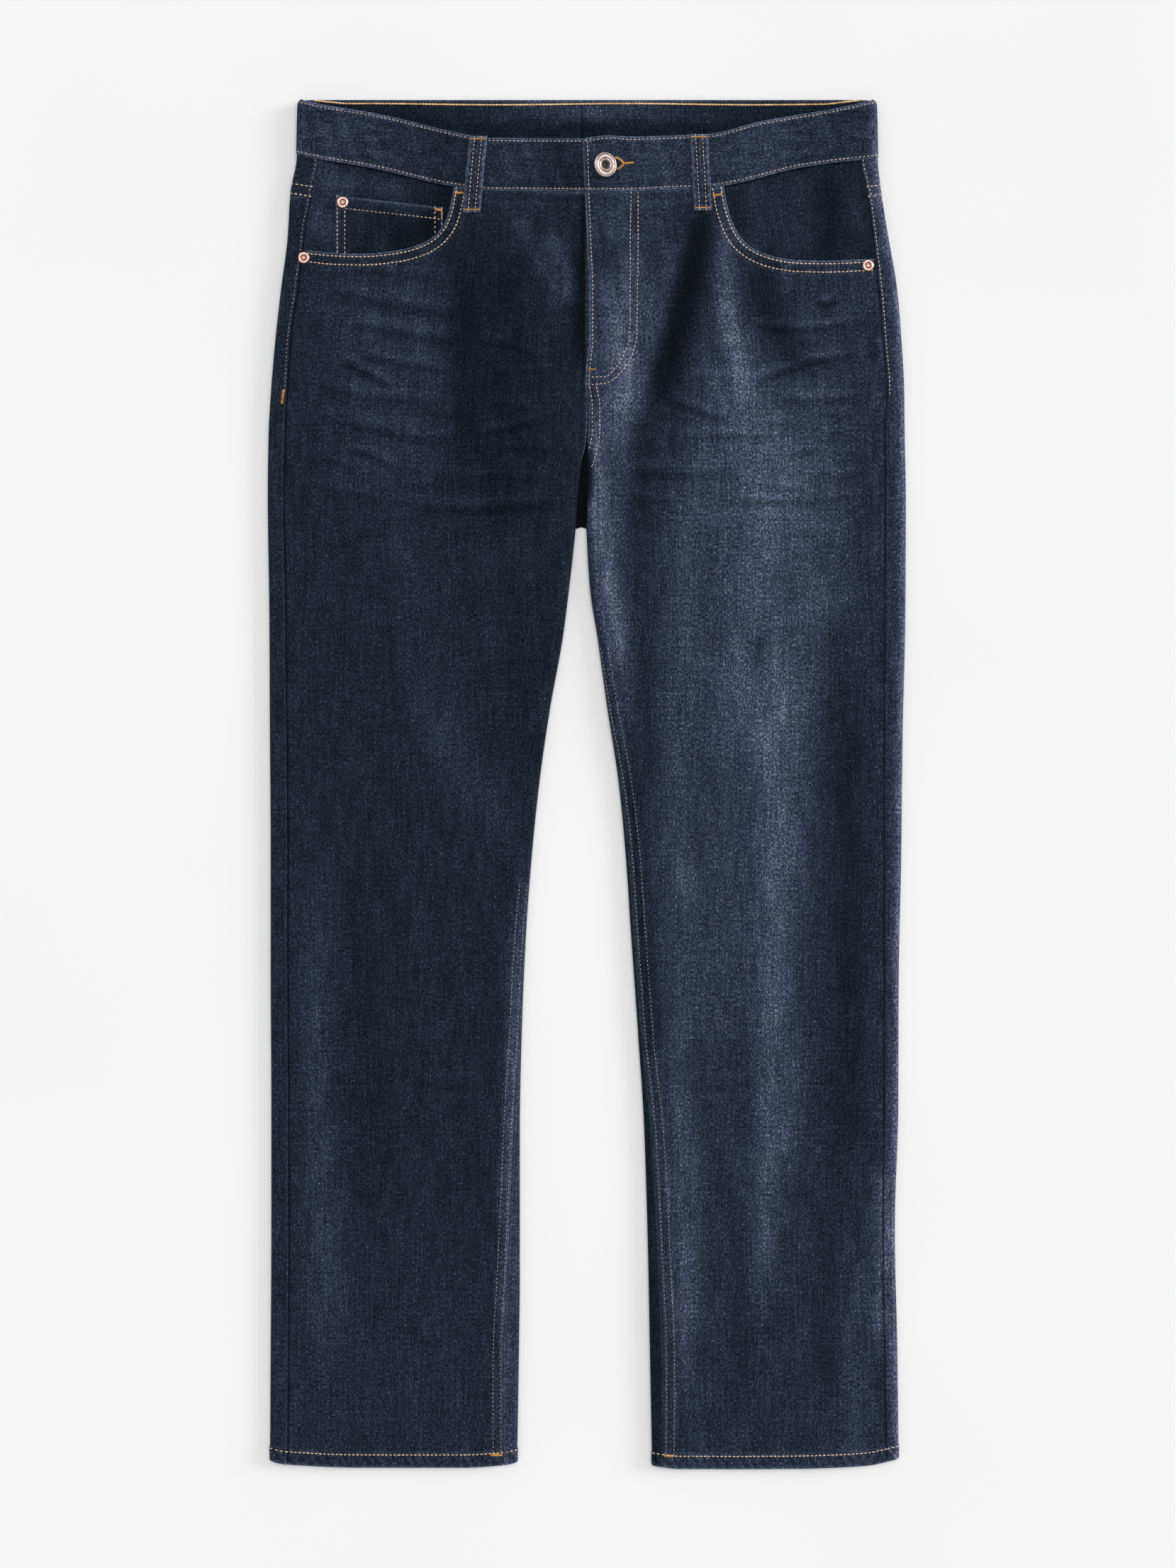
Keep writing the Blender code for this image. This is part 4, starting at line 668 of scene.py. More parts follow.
class Half:
    """The cloth of one half of the jeans as a folded tube lying flat.

    A point on it is given by the cloth length from the fold at the outer side of the leg: positive
    over the top, negative under the leg.
    """

    def __init__(self, side: Side) -> None:
        """Reads the tables for one side.

        Args:
            side: the wearer's right or left.
        """
        name = side.value
        self.name = name
        self.sign = -1 if side is Side.RIGHT else 1
        self.outer_edge = table_curve(STATIONS, f"{name}_edge")
        self.side_seam = table_curve(STATIONS, f"{name}_seam")
        self.fold = table_curve(STATIONS, "fold")
        self.lay = table_curve(STATIONS, "lay")
        self.inner_edge = table_curve(LEG_STATIONS, f"{name}_edge")
        self.inseam = table_curve(LEG_STATIONS, f"{name}_seam")
        self.hem = mark_curve(RIGHT_HEM if side is Side.RIGHT else LEFT_HEM)
        self.pocket = RIGHT_POCKET if side is Side.RIGHT else LEFT_POCKET[::-1]

    def inseam_x(self, y: Array) -> Array:
        """Where the inseam is seen from above."""
        return self.inner_edge(y) + self.sign * self.inseam(y)

    def fine(self, x: Array, y: Array) -> Array:
        """Height of what is finer than the folds: whiskers, slack cloth, puckers and felled seams."""
        height = whisker_relief(x, y, "rise") + SLACK_HEIGHT * slack(x, y)
        from_inseam = self.sign * (x - self.inseam_x(y))
        leg = 1 - smooth_step(0.2300, 0.2700, y)
        height += leg * seam_step(from_inseam, FELL_WIDTH, FELL_HEIGHT)
        waves = pucker(y, PUCKER_PITCH, 0.7 + self.sign)
        height += leg * PUCKER_HEIGHT * waves * bump(from_inseam - FELL_WIDTH, PUCKER_REACH)
        _, along, offset = path_places(self.pocket, x, y)
        waves = pucker(along, PUCKER_PITCH, 2.1 - self.sign)
        return height + PUCKER_HEIGHT * waves * bump(np.abs(offset) - 0.0060, PUCKER_REACH * 0.7)

    def top(self, x: Array, y: Array) -> Array:
        """Height of the upper face of the cloth."""
        x, y = np.broadcast_arrays(np.asarray(x, dtype=float), np.asarray(y, dtype=float))
        in_from_side = self.sign * (self.outer_edge(y) - x)
        in_from_leg = self.sign * (x - self.inner_edge(y))
        crest = bump(in_from_side, ROLL_WIDTH)
        leg = 1 - smooth_step(LEG_CREST_FULL, LEG_CREST_NONE, y)
        crest = crest + leg * bump(in_from_leg, ROLL_WIDTH)
        height = self.lay(y) + (self.fold(y) - self.lay(y)) * np.minimum(crest, 1.0)
        calm = smooth_step(0.0, FOLD_CALM, in_from_side)
        edge_calm = smooth_step(-0.002, 0.012, in_from_side)
        return height + fold_relief(x, y) * calm + self.fine(x, y) * edge_calm

    def rest(self, x: Array, y: Array) -> Array:
        """Height of the lower face of the cloth, 0 where it lies on the surface."""
        waist = WAIST_LIFT * smooth_step(WAIST_LIFT_NONE, WAIST_LIFT_FULL, y)
        return np.maximum(waist, self.pocket_lift(x, y))

    def pocket_lift(self, x: Array, y: Array) -> Array:
        """The back lies over its pocket, which lies on the surface."""
        across = self.sign * (x - CENTRE_BACK) - BACK_POCKET_INNER
        along = BACK_POCKET_TOP - y
        reach = POCKET_MARGIN + POCKET_SLOPE
        inner = smooth_step(-reach, -POCKET_MARGIN, across)
        outer = smooth_step(-reach, -POCKET_MARGIN, BACK_POCKET_WIDTH - across)
        top = smooth_step(-reach, -POCKET_MARGIN, along)
        bottom = smooth_step(-reach, -POCKET_MARGIN, BACK_POCKET_DEPTH - along)
        return BACK_POCKET_LIFT * inner * outer * bottom * top

    def length_across(self, y: Array) -> Array:
        """Cloth length over the top from fold to fold."""
        width = self.sign * (self.outer_edge(y) - self.inner_edge(y))
        return 2 * QUARTER + width - 2 * FOLD_RADIUS

    def points(self, distance: Array, y: Array, depth: Array | float, open_inside: bool = False) -> Array:
        """Points of the cloth.

        Args:
            distance: cloth length from the outer fold, positive over the top, negative below.
            y: height on the body.
            depth: how far inside the outer face; negative values lie outside it.
            open_inside: True where the cloth runs on past the centre with no inner fold.

        Returns:
            x, y and z in the last axis.
        """
        distance, y, depth = np.broadcast_arrays(distance, y, np.asarray(depth, dtype=float))
        outer = self.outer_edge(y)
        size = np.abs(distance)
        from_inner = self.length_across(y) - size
        x_flat = outer - self.sign * (FOLD_RADIUS + size - QUARTER)
        on_top = self.top(x_flat, y) - depth
        z_flat = np.where(distance > 0, on_top, self.rest(x_flat, y) + depth)
        in_outer = size <= QUARTER
        in_inner = (np.abs(from_inner) <= QUARTER) & (not open_inside) & ~in_outer
        inner_line = self.inner_edge(y) + self.sign * FOLD_RADIUS
        round_inner = (from_inner < -QUARTER) & (not open_inside)
        x_round = inner_line - self.sign * (from_inner + QUARTER)
        z_round = self.top(x_round, y) - depth
        x_flat = np.where(round_inner, x_round, x_flat)
        z_flat = np.where(round_inner, z_round, z_flat)
        x_edge = np.where(in_outer, outer - self.sign * FOLD_RADIUS, inner_line)
        angle = np.where(in_outer, distance, np.sign(distance) * from_inner) / FOLD_RADIUS
        outward = np.where(in_outer, 1, -1)
        high = self.top(x_edge, y)
        low = self.rest(x_edge, y)
        tall = (high - low) / 2 - depth
        x_turn = x_edge + self.sign * outward * (FOLD_RADIUS - depth) * np.cos(angle)
        z_turn = (high + low) / 2 + tall * np.sin(angle)
        turned = in_outer | in_inner
        return joined(np.where(turned, x_turn, x_flat), y, np.where(turned, z_turn, z_flat))

    def distance_at(self, x: Array, y: Array) -> Array:
        """Cloth length from the outer fold to a place on the top."""
        return self.sign * (self.outer_edge(y) - x) - FOLD_RADIUS + QUARTER

    def back_seam(self, y: Array) -> Array:
        """Cloth length from the outer fold to the side seam's edge on the back."""
        return cloth_distance(self.side_seam(y)) - SEAM_GAP / 2

    def seam_distances(self, y: Array) -> tuple[Array, Array]:
        """Cloth lengths from the outer fold to the side seam and to the inseam, over the top."""
        outer = cloth_distance(self.side_seam(y))
        inner = self.length_across(y) - cloth_distance(self.inseam(y))
        return outer + SEAM_GAP / 2, inner - SEAM_GAP / 2


RIGHT = Half(Side.RIGHT)
LEFT = Half(Side.LEFT)
HALVES = (RIGHT, LEFT)
BAND_BOTTOM = mark_curve(BAND_BOTTOM_FRONT)
BAND_TOP = mark_curve(BAND_TOP_FRONT)


# ---------------------------------------------------------------- the wash, with painted light and shade: how dark the denim is
# base tones of the legs: partly the wash, partly painted light, which makes the left leg the lighter one
RIGHT_TONE = 0.38
LEFT_TONE = 0.485
RIGHT_SHIN_TONE = 0.05  # the shins are lighter by this much
LEFT_SHIN_TONE = -0.02
BACK_TONE = 0.46
FACING_TONE = 0.34
REVERSE_TONE = 0.50  # the side of the cloth that shows less indigo
INSIDE_SHADE_TONE = 0.05  # painted shade inside the legs, where the slit between them looks in
WHISKER_FADE = 1.35  # how strongly all the whiskers show
WORN_EDGE = 0.0014  # width of the rubbed line along an edge


def panel_tone(half: Half, x: Array, y: Array) -> Array:
    """Tone of a front or of what is sewn on it, from 0, raw, to 1, bleached, with painted light and shade
    mixed in.

    Args:
        half: the right or left half.
        x: the points' x.
        y: the points' y.

    Returns:
        The tone at each point.
    """
    tone = np.full(np.shape(x), RIGHT_TONE if half.sign < 0 else LEFT_TONE)
    for fade in FADES:
        if (fade.path[1][0] > CENTRE_FRONT) == (half.sign > 0):
            add_stroke(tone, fade, fade.tone, x, y, bump)
    tone += WHISKER_FADE * whisker_relief(x, y, "tone")
    shin = RIGHT_SHIN_TONE if half.sign < 0 else LEFT_SHIN_TONE
    tone += shin * (1 - smooth_step(-0.5, -0.25, y))
    tone += 0.035 * slack(1.7 * x + 0.3, 0.8 * y) + 0.02 * slack(3.1 * x, 2.3 * y - 0.4)
    return tone


def facing_tone(x: Array, y: Array) -> Array:
    """Tone of a facing, or of the coin pocket on it, at each point."""
    tone = np.full(np.shape(x), FACING_TONE) + 0.05 * slack(1.5 * x, 1.2 * y)
    for fade in FACING_FADES:
        add_stroke(tone, fade, fade.tone, x, y, bump)
    return tone


def edge_wear(offset: Array, along: Array, strength: float = 1.0) -> Array:
    """How worn the cloth is near an edge, broken up along it.

    Args:
        offset: distance from the edge.
        along: length along the edge.
        strength: the most wear there is.

    Returns:
        The wear, from 0 to strength.
    """
    broken = 0.75 + 0.25 * pucker(along, 0.0071, 1.3)
    return strength * broken * bump(offset, WORN_EDGE)


# ---------------------------------------------------------------- declaring pieces
ROOT = "root"


class Slot(Enum):
    """The record's material slots."""

    DENIM = "denim"
    FACING = "facing_denim"
    BUTTON = "button_metal"
    RIVET = "rivet_metal"


@dataclass
class Cut:
    """A finished piece of cloth, with the flat size that it was cut to.

    Attributes:
        thing: the piece.
        size: width and length of the cut that shows.
        area: flat area of the cut.
        rests_on: names of what it lies on.
        sewing: stitches and other pieces on it.
    """

    thing: Thing
    size: tuple[float, float]
    area: float
    rests_on: tuple[str, ...]
    sewing: list[Thing] = field(default_factory=list)

    def declare(self) -> None:
        """Reads what the piece rests on and what is sewn on it, and keeps nothing."""
        list(self.rests_on)
        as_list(self.sewing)


def dress(thing: Thing, node: str, slot: Slot) -> Thing:
    """Makes a piece stand for its solid.

    Args:
        thing: the finished piece.
        node: the solid's name.
        slot: the record's material slot; not used.

    Returns:
        The piece.
    """
    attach(thing, ROOT)
    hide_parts(node)
    LOG.info("%s: %d faces", thing.name, len(thing.data.polygons))
    return thing


# ---------------------------------------------------------------- meshes
@dataclass
class Wall:
    """Two grids of points that make a closed wall of cloth, and what its finish needs to know.

    Attributes:
        outer: points of the outer face, rows by columns by 3.
        inner: points of the inner face.
        cloth: place on the cut cloth in metres, with the warp along the second axis.
        tone: tone of the outer face.
        worn: wear of both faces, with a painted highlight on a few edges.
        reverse: tone of the inner face.
    """

    outer: Array
    inner: Array
    cloth: Array
    tone: Array
    worn: Array
    reverse: Array | float = REVERSE_TONE

    def make(self, name: str, node: str, finish: Material, rests_on: Sequence[str] = ()) -> Cut:
        """Makes the closed mesh and puts it in its solid's place.

        Args:
            name: the piece's name.
            node: its solid's name.
            finish: its material.
            rests_on: names of what it lies on.

        Returns:
            The piece, with the flat size worked out from its places on the cloth.
        """
        rows, columns = self.tone.shape
        index = np.arange(rows * columns).reshape(rows, columns)
        far = index + rows * columns
        cells = (index[:-1, :-1], index[:-1, 1:], index[1:, 1:], index[1:, :-1])
        upper = joined(*cells).reshape(-1, 4)
        lower = (upper + rows * columns)[:, ::-1]
        border = np.concatenate([index[0, :-1], index[:-1, -1], index[-1, :0:-1], index[:0:-1, 0]])
        after = np.roll(border, -1)
        offset = int(far[0, 0])
        rim = joined(after, border, border + offset, after + offset)
        faces = np.concatenate([upper, lower, rim])
        points = np.concatenate([self.outer.reshape(-1, 3), self.inner.reshape(-1, 3)])
        first, second, third, fourth = (points[faces[:, corner]] for corner in range(4))
        volume = np.sum(first * np.cross(second, third)) + np.sum(first * np.cross(third, fourth))
        if volume < 0:
            faces = faces[:, ::-1]
        reverse = np.broadcast_to(np.asarray(self.reverse, dtype=float), self.tone.shape)
        values = {
            "tone": np.concatenate([self.tone.ravel(), reverse.ravel()]),
            "worn": np.tile(self.worn.ravel(), 2),
        }
        thing = mesh_object(name, points, faces, np.tile(self.cloth.reshape(-1, 2), (2, 1)), values, finish)
        dress(thing, node, Slot.FACING if "facing" in finish.name else Slot.DENIM)
        width, length = (float(size) for size in np.ptp(self.cloth.reshape(-1, 2), axis=0))
        return Cut(thing, (width, length), min(flat_area(self.cloth), width * length), tuple(rests_on))


def placed(name: str, data: bpy.types.ID) -> Thing:
    """An object at the origin, in the scene."""
    thing = bpy.data.objects.new(name, data)
    bpy.context.scene.collection.objects.link(thing)
    return thing


def mesh_object(
    name: str,
    points: Array,
    faces: Array,
    cloth: Array,
    values: dict[str, Array],
    finish: Material,
) -> Thing:
    """Makes a mesh object of four-sided faces.

    Args:
        name: the object's name.
        points: its points.
        faces: four point numbers for each face.
        cloth: each point's place on the cloth, for the UV map.
        values: named numbers, one for each point.
        finish: its material.

    Returns:
        The object, linked to the scene.
    """
    mesh = bpy.data.meshes.new(name)
    mesh.vertices.add(len(points))
    mesh.vertices.foreach_set("co", points.astype(np.float32).ravel())
    mesh.loops.add(faces.size)
    mesh.loops.foreach_set("vertex_index", faces.astype(np.int32).ravel())
    mesh.polygons.add(len(faces))
    mesh.polygons.foreach_set("loop_start", np.arange(0, faces.size, 4, dtype=np.int32))
    mesh.update(calc_edges=True)
    layer = mesh.uv_layers.new(name="UVMap")
    layer.data.foreach_set("uv", cloth[faces.ravel()].astype(np.float32).ravel())
    for key, amounts in values.items():
        attribute = mesh.attributes.new(key, "FLOAT", "POINT")
        attribute.data.foreach_set("value", amounts.astype(np.float32))
    mesh.materials.append(finish)
    mesh.shade_smooth()
    mesh.validate()
    return placed(name, mesh)


def flat_area(cloth: Array) -> float:
    """Area of a grid of places on the cut cloth, in square metres."""
    across = cloth[1:, 1:] - cloth[:-1, :-1]
    down = cloth[1:, :-1] - cloth[:-1, 1:]
    return float(np.sum(np.abs(across[..., 0] * down[..., 1] - across[..., 1] * down[..., 0])) / 2)


def pinch(edge: Array, thickness: float = CLOTH, radius: float = 0.0011) -> Array:
    """How far a face comes in near the edge of a piece, so that the edge is round."""
    share = 1 - np.clip(edge / radius, 0.0, 1.0)
    return 0.42 * thickness * share**2.2


EDGE_STEPS = (0.0, 0.0003, 0.0007, 0.0012)  # columns and rows beside an edge


def rising(steps: Sequence[float]) -> Array:
    """Steps beside a stretch's start, as shares of the last one."""
    return np.array(steps) / steps[-1]


def falling(steps: Sequence[float]) -> Array:
    """Steps beside a stretch's end, measured from it, as shares of the way to it."""
    return 1 - np.array(steps[::-1]) / steps[-1]


class Ladder:
    """Columns that keep their shares of the way between knots, which may move from row to row."""

    def __init__(self, *stretches: Array) -> None:
        """Numbers the columns.

        Args:
            stretches: for each stretch between two knots, its columns' shares from 0 to 1.
        """
        self.shares = np.concatenate([stretches[0], *(shares[1:] for shares in stretches[1:])])
        sizes = [len(stretches[0]), *(len(shares) - 1 for shares in stretches[1:])]
        self.stretch = np.repeat(np.arange(len(stretches)), sizes)
        self.count = len(self.shares)

    def places(self, *knots: Array | float) -> Array:
        """Where the columns are.

        Args:
            knots: each knot's place, one number or a grid with a value for each column.

        Returns:
            One row of places, or a grid of them.
        """
        shape = np.broadcast_shapes((self.count,), *(np.shape(knot) for knot in knots))
        grids = [np.broadcast_to(knot, shape) for knot in knots]
        result = np.empty(shape)
        for k, (low, high) in enumerate(zip(grids[:-1], grids[1:])):
            here = self.stretch == k
            result[..., here] = low[..., here] + (high - low)[..., here] * self.shares[here]
        return result


def even_places(length: float, near: Sequence[float], step: float, far: Sequence[float]) -> Array:
    """Places from 0 to length, close together beside both ends.

    Args:
        length: the whole length.
        near: places beside the start.
        step: about how far apart the others are.
        far: places beside the end, measured from it.

    Returns:
        The places in order.
    """
    count = max(1, round((length - near[-1] - far[-1]) / step))
    ladder = Ladder(rising(near), spread(0.0, 1.0, count), falling(far))
    return ladder.places(0.0, near[-1], length - far[-1], length)


# ---------------------------------------------------------------- panels
HEM_STITCH = 0.0102  # the hem's stitches above its edge
POCKET_ROWS = (0.0025, 0.0090)  # the stitches below the scoop
INSEAM_ROWS = (0.0020, 0.0079)  # the stitches beside the inseam
YOKE_ROWS = (0.0019, 0.0094)  # the stitches above the yoke seam
SEAT_GAP = 0.00003  # between the two backs at the seat seam
INNER_SHADE = {"right": -0.10, "left": 0.17}  # how much darker the back is beside the inseam
PRESS = 0.00016  # how far a row of stitches presses the cloth in
ROW_WIDTH = 0.0011  # of what a row of stitches presses in
HEM_WEAR = 0.75
ROPE_SLANT = 0.6
ROPE_PITCH = 0.0076  # of the slanting waves along a hem
ROPE_HEIGHT = 0.00014
ROPE_TONE = 0.14  # how much lighter the waves' tops are
HEM_TONE = 0.04


@dataclass
class Front:
    """A front, from the band and the pocket's scoop to the hem."""

    half: Half
    near_side: tuple[float, ...] = (*EDGE_STEPS, 0.0020, 0.0035, 0.0060, 0.0100, 0.0160)
    near_inseam: tuple[float, ...] = (
        *EDGE_STEPS,
        *(0.0020, 0.0032, 0.0044, 0.0056, 0.0068, 0.0079, 0.0086, 0.0093, 0.0101, 0.0115, 0.0135, 0.0160),
    )
    scoop_columns: int = 45
    band_columns: int = 27
    near_top: tuple[float, ...] = (
        *EDGE_STEPS,
        *(0.0019, 0.0027, 0.0038, 0.0052, 0.0066, 0.0080, 0.0090, 0.0100),
    )
    block_rows: int = 44
    thigh_step: float = 0.0022
    leg_step: float = 0.0036
    thigh_end: float = 0.1900
    hem_rows: tuple[float, ...] = (
        *(0.0150, 0.0132, 0.0123, 0.0115, 0.0107, 0.0098, 0.0088, 0.0070, 0.0052, 0.0036, 0.0022),
    )
    roll_tone: float = 0.10  # how much lighter the roll above the hem's stitches is
    seam_shade: float = 0.22  # how much darker the seam's edge is

    def ladder(self) -> Ladder:
        """The columns: close together at both seams, even between them."""
        middle = spread(0.0, 1.0, self.scoop_columns + self.band_columns)
        return Ladder(rising(self.near_side), middle, falling(self.near_inseam))

    def columns(self, y: Array | float) -> Array:
        """Cloth distance of each column, at one height or at a grid of heights."""
        outer, inner = self.half.seam_distances(y)
        return self.ladder().places(outer, outer + self.near_side[-1], inner - self.near_inseam[-1], inner)

    def top_line(self) -> tuple[Array, Array]:
        """x and y of every column's upper end: down and up the scoop, then along the band."""
        half = self.half
        pocket = half.pocket
        scoop = mark_curve(pocket)
        outer, _ = half.seam_distances(pocket[0].y)
        start = half.points(outer, pocket[0].y, 0.0)[..., 0]
        side_x = start - half.sign * np.array(self.near_side)
        fine_x = spread(side_x[-1], pocket[-1].x, 400)
        fine_y = scoop(fine_x)
        length = np.concatenate([[0.0], np.cumsum(np.hypot(np.diff(fine_x), np.diff(fine_y)))])
        places = spread(0.0, length[-1], self.scoop_columns)[1:]
        scoop_x = np.interp(places, length, fine_x)
        centre = CENTRE_FRONT + half.sign * SEAM_GAP / 2
        last_x = centre + half.sign * self.near_inseam[-1]
        band_x = spread(pocket[-1].x, last_x, self.band_columns)[1:-1]
        inner_x = centre + half.sign * np.array(self.near_inseam[::-1])
        rest_x = np.concatenate([band_x, inner_x])
        x = np.concatenate([side_x, scoop_x, rest_x])
        y = np.concatenate([scoop(side_x), np.interp(places, length, fine_y), BAND_BOTTOM(rest_x) - SEAM_GAP])
        return x, y

    def block(self) -> tuple[Array, Array]:
        """x and y of the rows between the upper edge and the level rows."""
        half = self.half
        x_top, y_top = self.top_line()
        length = y_top - BLOCK_END
        near = np.array(self.near_top)
        shares = spread(0.0, 1.0, self.block_rows)[1:-1]
        down = [np.full_like(length, step) for step in near]
        down += [near[-1] + (length - near[-1]) * share for share in shares]
        reach = np.stack(down)
        y = y_top - reach
        x_low = half.points(self.columns(BLOCK_END), BLOCK_END, 0.0)[..., 0]
        x = x_top + (x_low - x_top) * reach / length
        sides = len(self.near_side)
        outer, _ = half.seam_distances(y[:, :sides])
        x[:, :sides] = half.points(outer + np.array(self.near_side), y[:, :sides], 0.0)[..., 0]
        return x, y

    def leg_rows(self) -> Array:
        """y of the level rows and of the hem's rows, rows by columns."""
        thigh = np.arange(BLOCK_END, self.thigh_end, -self.thigh_step)
        steps = max(1, round((self.thigh_end - LAST_LEVEL) / self.leg_step))
        level = np.concatenate([thigh, spread(self.thigh_end, LAST_LEVEL, steps)])
        rows = np.repeat(level[:, None], self.ladder().count, axis=1)
        x = self.half.points(self.columns(LAST_LEVEL), LAST_LEVEL, 0.0)[..., 0]
        edge = self.half.hem(x)
        above = np.array((*self.hem_rows, *EDGE_STEPS[::-1]))[:, None] + edge
        gap = (LAST_LEVEL + above[0]) / 2
        return np.concatenate([rows, gap[None], above])

    def build(self, denim: Material) -> Cut:
        """Makes the panel.

        Args:
            denim: its finish.

        Returns:
            The panel as a cut.
        """
        half = self.half
        x_block, y_block = self.block()
        y_leg = self.leg_rows()
        distance = self.columns(y_leg)
        x_leg = half.points(distance, y_leg, 0.0)[..., 0]
        x = np.concatenate([x_block, x_leg])
        y = np.concatenate([y_block, y_leg])
        across = np.concatenate([half.distance_at(x_block, y_block), distance])
        outer, inner = half.seam_distances(y)
        blocks = len(x_block)
        above = y - half.hem(x)
        from_top = np.full(x.shape, 1.0)
        along_top = np.zeros(x.shape)
        corner = (CENTRE_FRONT, float(BAND_BOTTOM(CENTRE_FRONT)))
        upper_edge = (*half.pocket, corner)
        _, along_top[:blocks], offset = path_places(upper_edge, x_block, y_block)
        from_top[:blocks] = np.abs(offset)
        from_centre = np.concatenate([half.sign * (x_block - CENTRE_FRONT), (inner - across)[blocks:]])
        from_side = np.minimum(across - outer, 1.0)
        edge = np.clip(np.minimum.reduce([from_top, from_centre, from_side, above]), 0.0, None)
        hem = hem_share(above)
        thickness = CLOTH + (HEM_THICKNESS - CLOTH) * hem
        roping = hem * ropes(x, above, 0.4)
        roll = self.roll_tone * bump(above - HEM_DEPTH - 0.0004, ROW_WIDTH)
        roll = roll * waving(x, 0.0066, 0.9)
        pressed = PRESS * bump(above - HEM_STITCH, ROW_WIDTH)
        for row_offset in POCKET_ROWS:
            pressed += PRESS * bump(from_top - row_offset, 0.0009)
        out_depth = pinch(edge, thickness) - HEM_PROUD * hem - ROPE_HEIGHT * roping + pressed
        in_depth = thickness - HEM_PROUD * hem - pinch(edge, thickness)
        outside = self.lift(x_block, y_block, distance, y_leg, out_depth)
        inside = self.lift(x_block, y_block, distance, y_leg, in_depth)
        tone = panel_tone(half, x, y)
        tone += seam_fades(half, x, y, inner - across) + HEM_TONE * hem + ROPE_TONE * roping + roll
        tone += 0.05 * bump(above - HEM_DEPTH, 0.0012) + scoop_fade(from_top, along_top)
        worn = edge_wear(from_top, along_top, 1.0)
        worn = np.maximum(worn, edge_wear(above, x, HEM_WEAR))
        tone -= self.seam_shade * bump(from_side, 0.0011)
        # The inseam's fold is worn; on the right leg up the thigh it is lighter still, a painted highlight
        # where the side light catches the fold.
        rubbed_and_lit = 0.55 if half.sign > 0 else 0.35 + 0.50 * smooth_step(-0.06, 0.0, y)
        worn = np.maximum(worn, edge_wear(inner - across, y, 1.0) * rubbed_and_lit)
        cloth = joined(across, y)
        wall = Wall(outside, inside, cloth, tone, worn)
        return wall.make(f"{half.name}_front", f"front_{half.name}", denim, [f"back_{half.name}"])

    def lift(self, x: Array, y: Array, distance: Array, y_leg: Array, depth: Array) -> Array:
        """Points of the block and of the leg at a depth."""
        block = joined(x, y, self.half.top(x, y) - depth[: len(x)])
        return np.concatenate([block, self.half.points(distance, y_leg, depth[len(x) :])])


def hem_share(above: Array) -> Array:
    """1 in the doubled cloth of a hem and 0 above it, at heights above its edge."""
    return 1 - smooth_step(HEM_DEPTH - HEM_STEP / 2, HEM_DEPTH + HEM_STEP / 2, above)


def ropes(x: Array, above: Array, phase: float) -> Array:
    """The slanting waves that a hem is twisted into."""
    return pucker(x + ROPE_SLANT * above, ROPE_PITCH, phase)


def seam_fades(half: Half, x: Array, y: Array, from_inseam: Array) -> Array:
    """What rubbing adds beside the inseam: a light ridge where the doubled cloth ends."""
    leg = 1 - smooth_step(0.2200, 0.2900, y)
    waves = waving(y, PUCKER_PITCH, 0.7 + half.sign)
    ridge = bump(from_inseam - FELL_WIDTH, 0.0014) - 0.6 * bump(from_inseam - FELL_WIDTH - 0.0034, 0.0020)
    strength = 0.11 if half.sign > 0 else 0.05
    return leg * strength * waves * ridge


def scoop_fade(from_top: Array, along: Array) -> Array:
    """What rubbing adds beside a pocket's mouth."""
    waves = waving(along, PUCKER_PITCH, 2.1)
    return 0.12 * waves * bump(from_top - 0.0105, 0.0016) + 0.14 * bump(from_top, 0.0035)


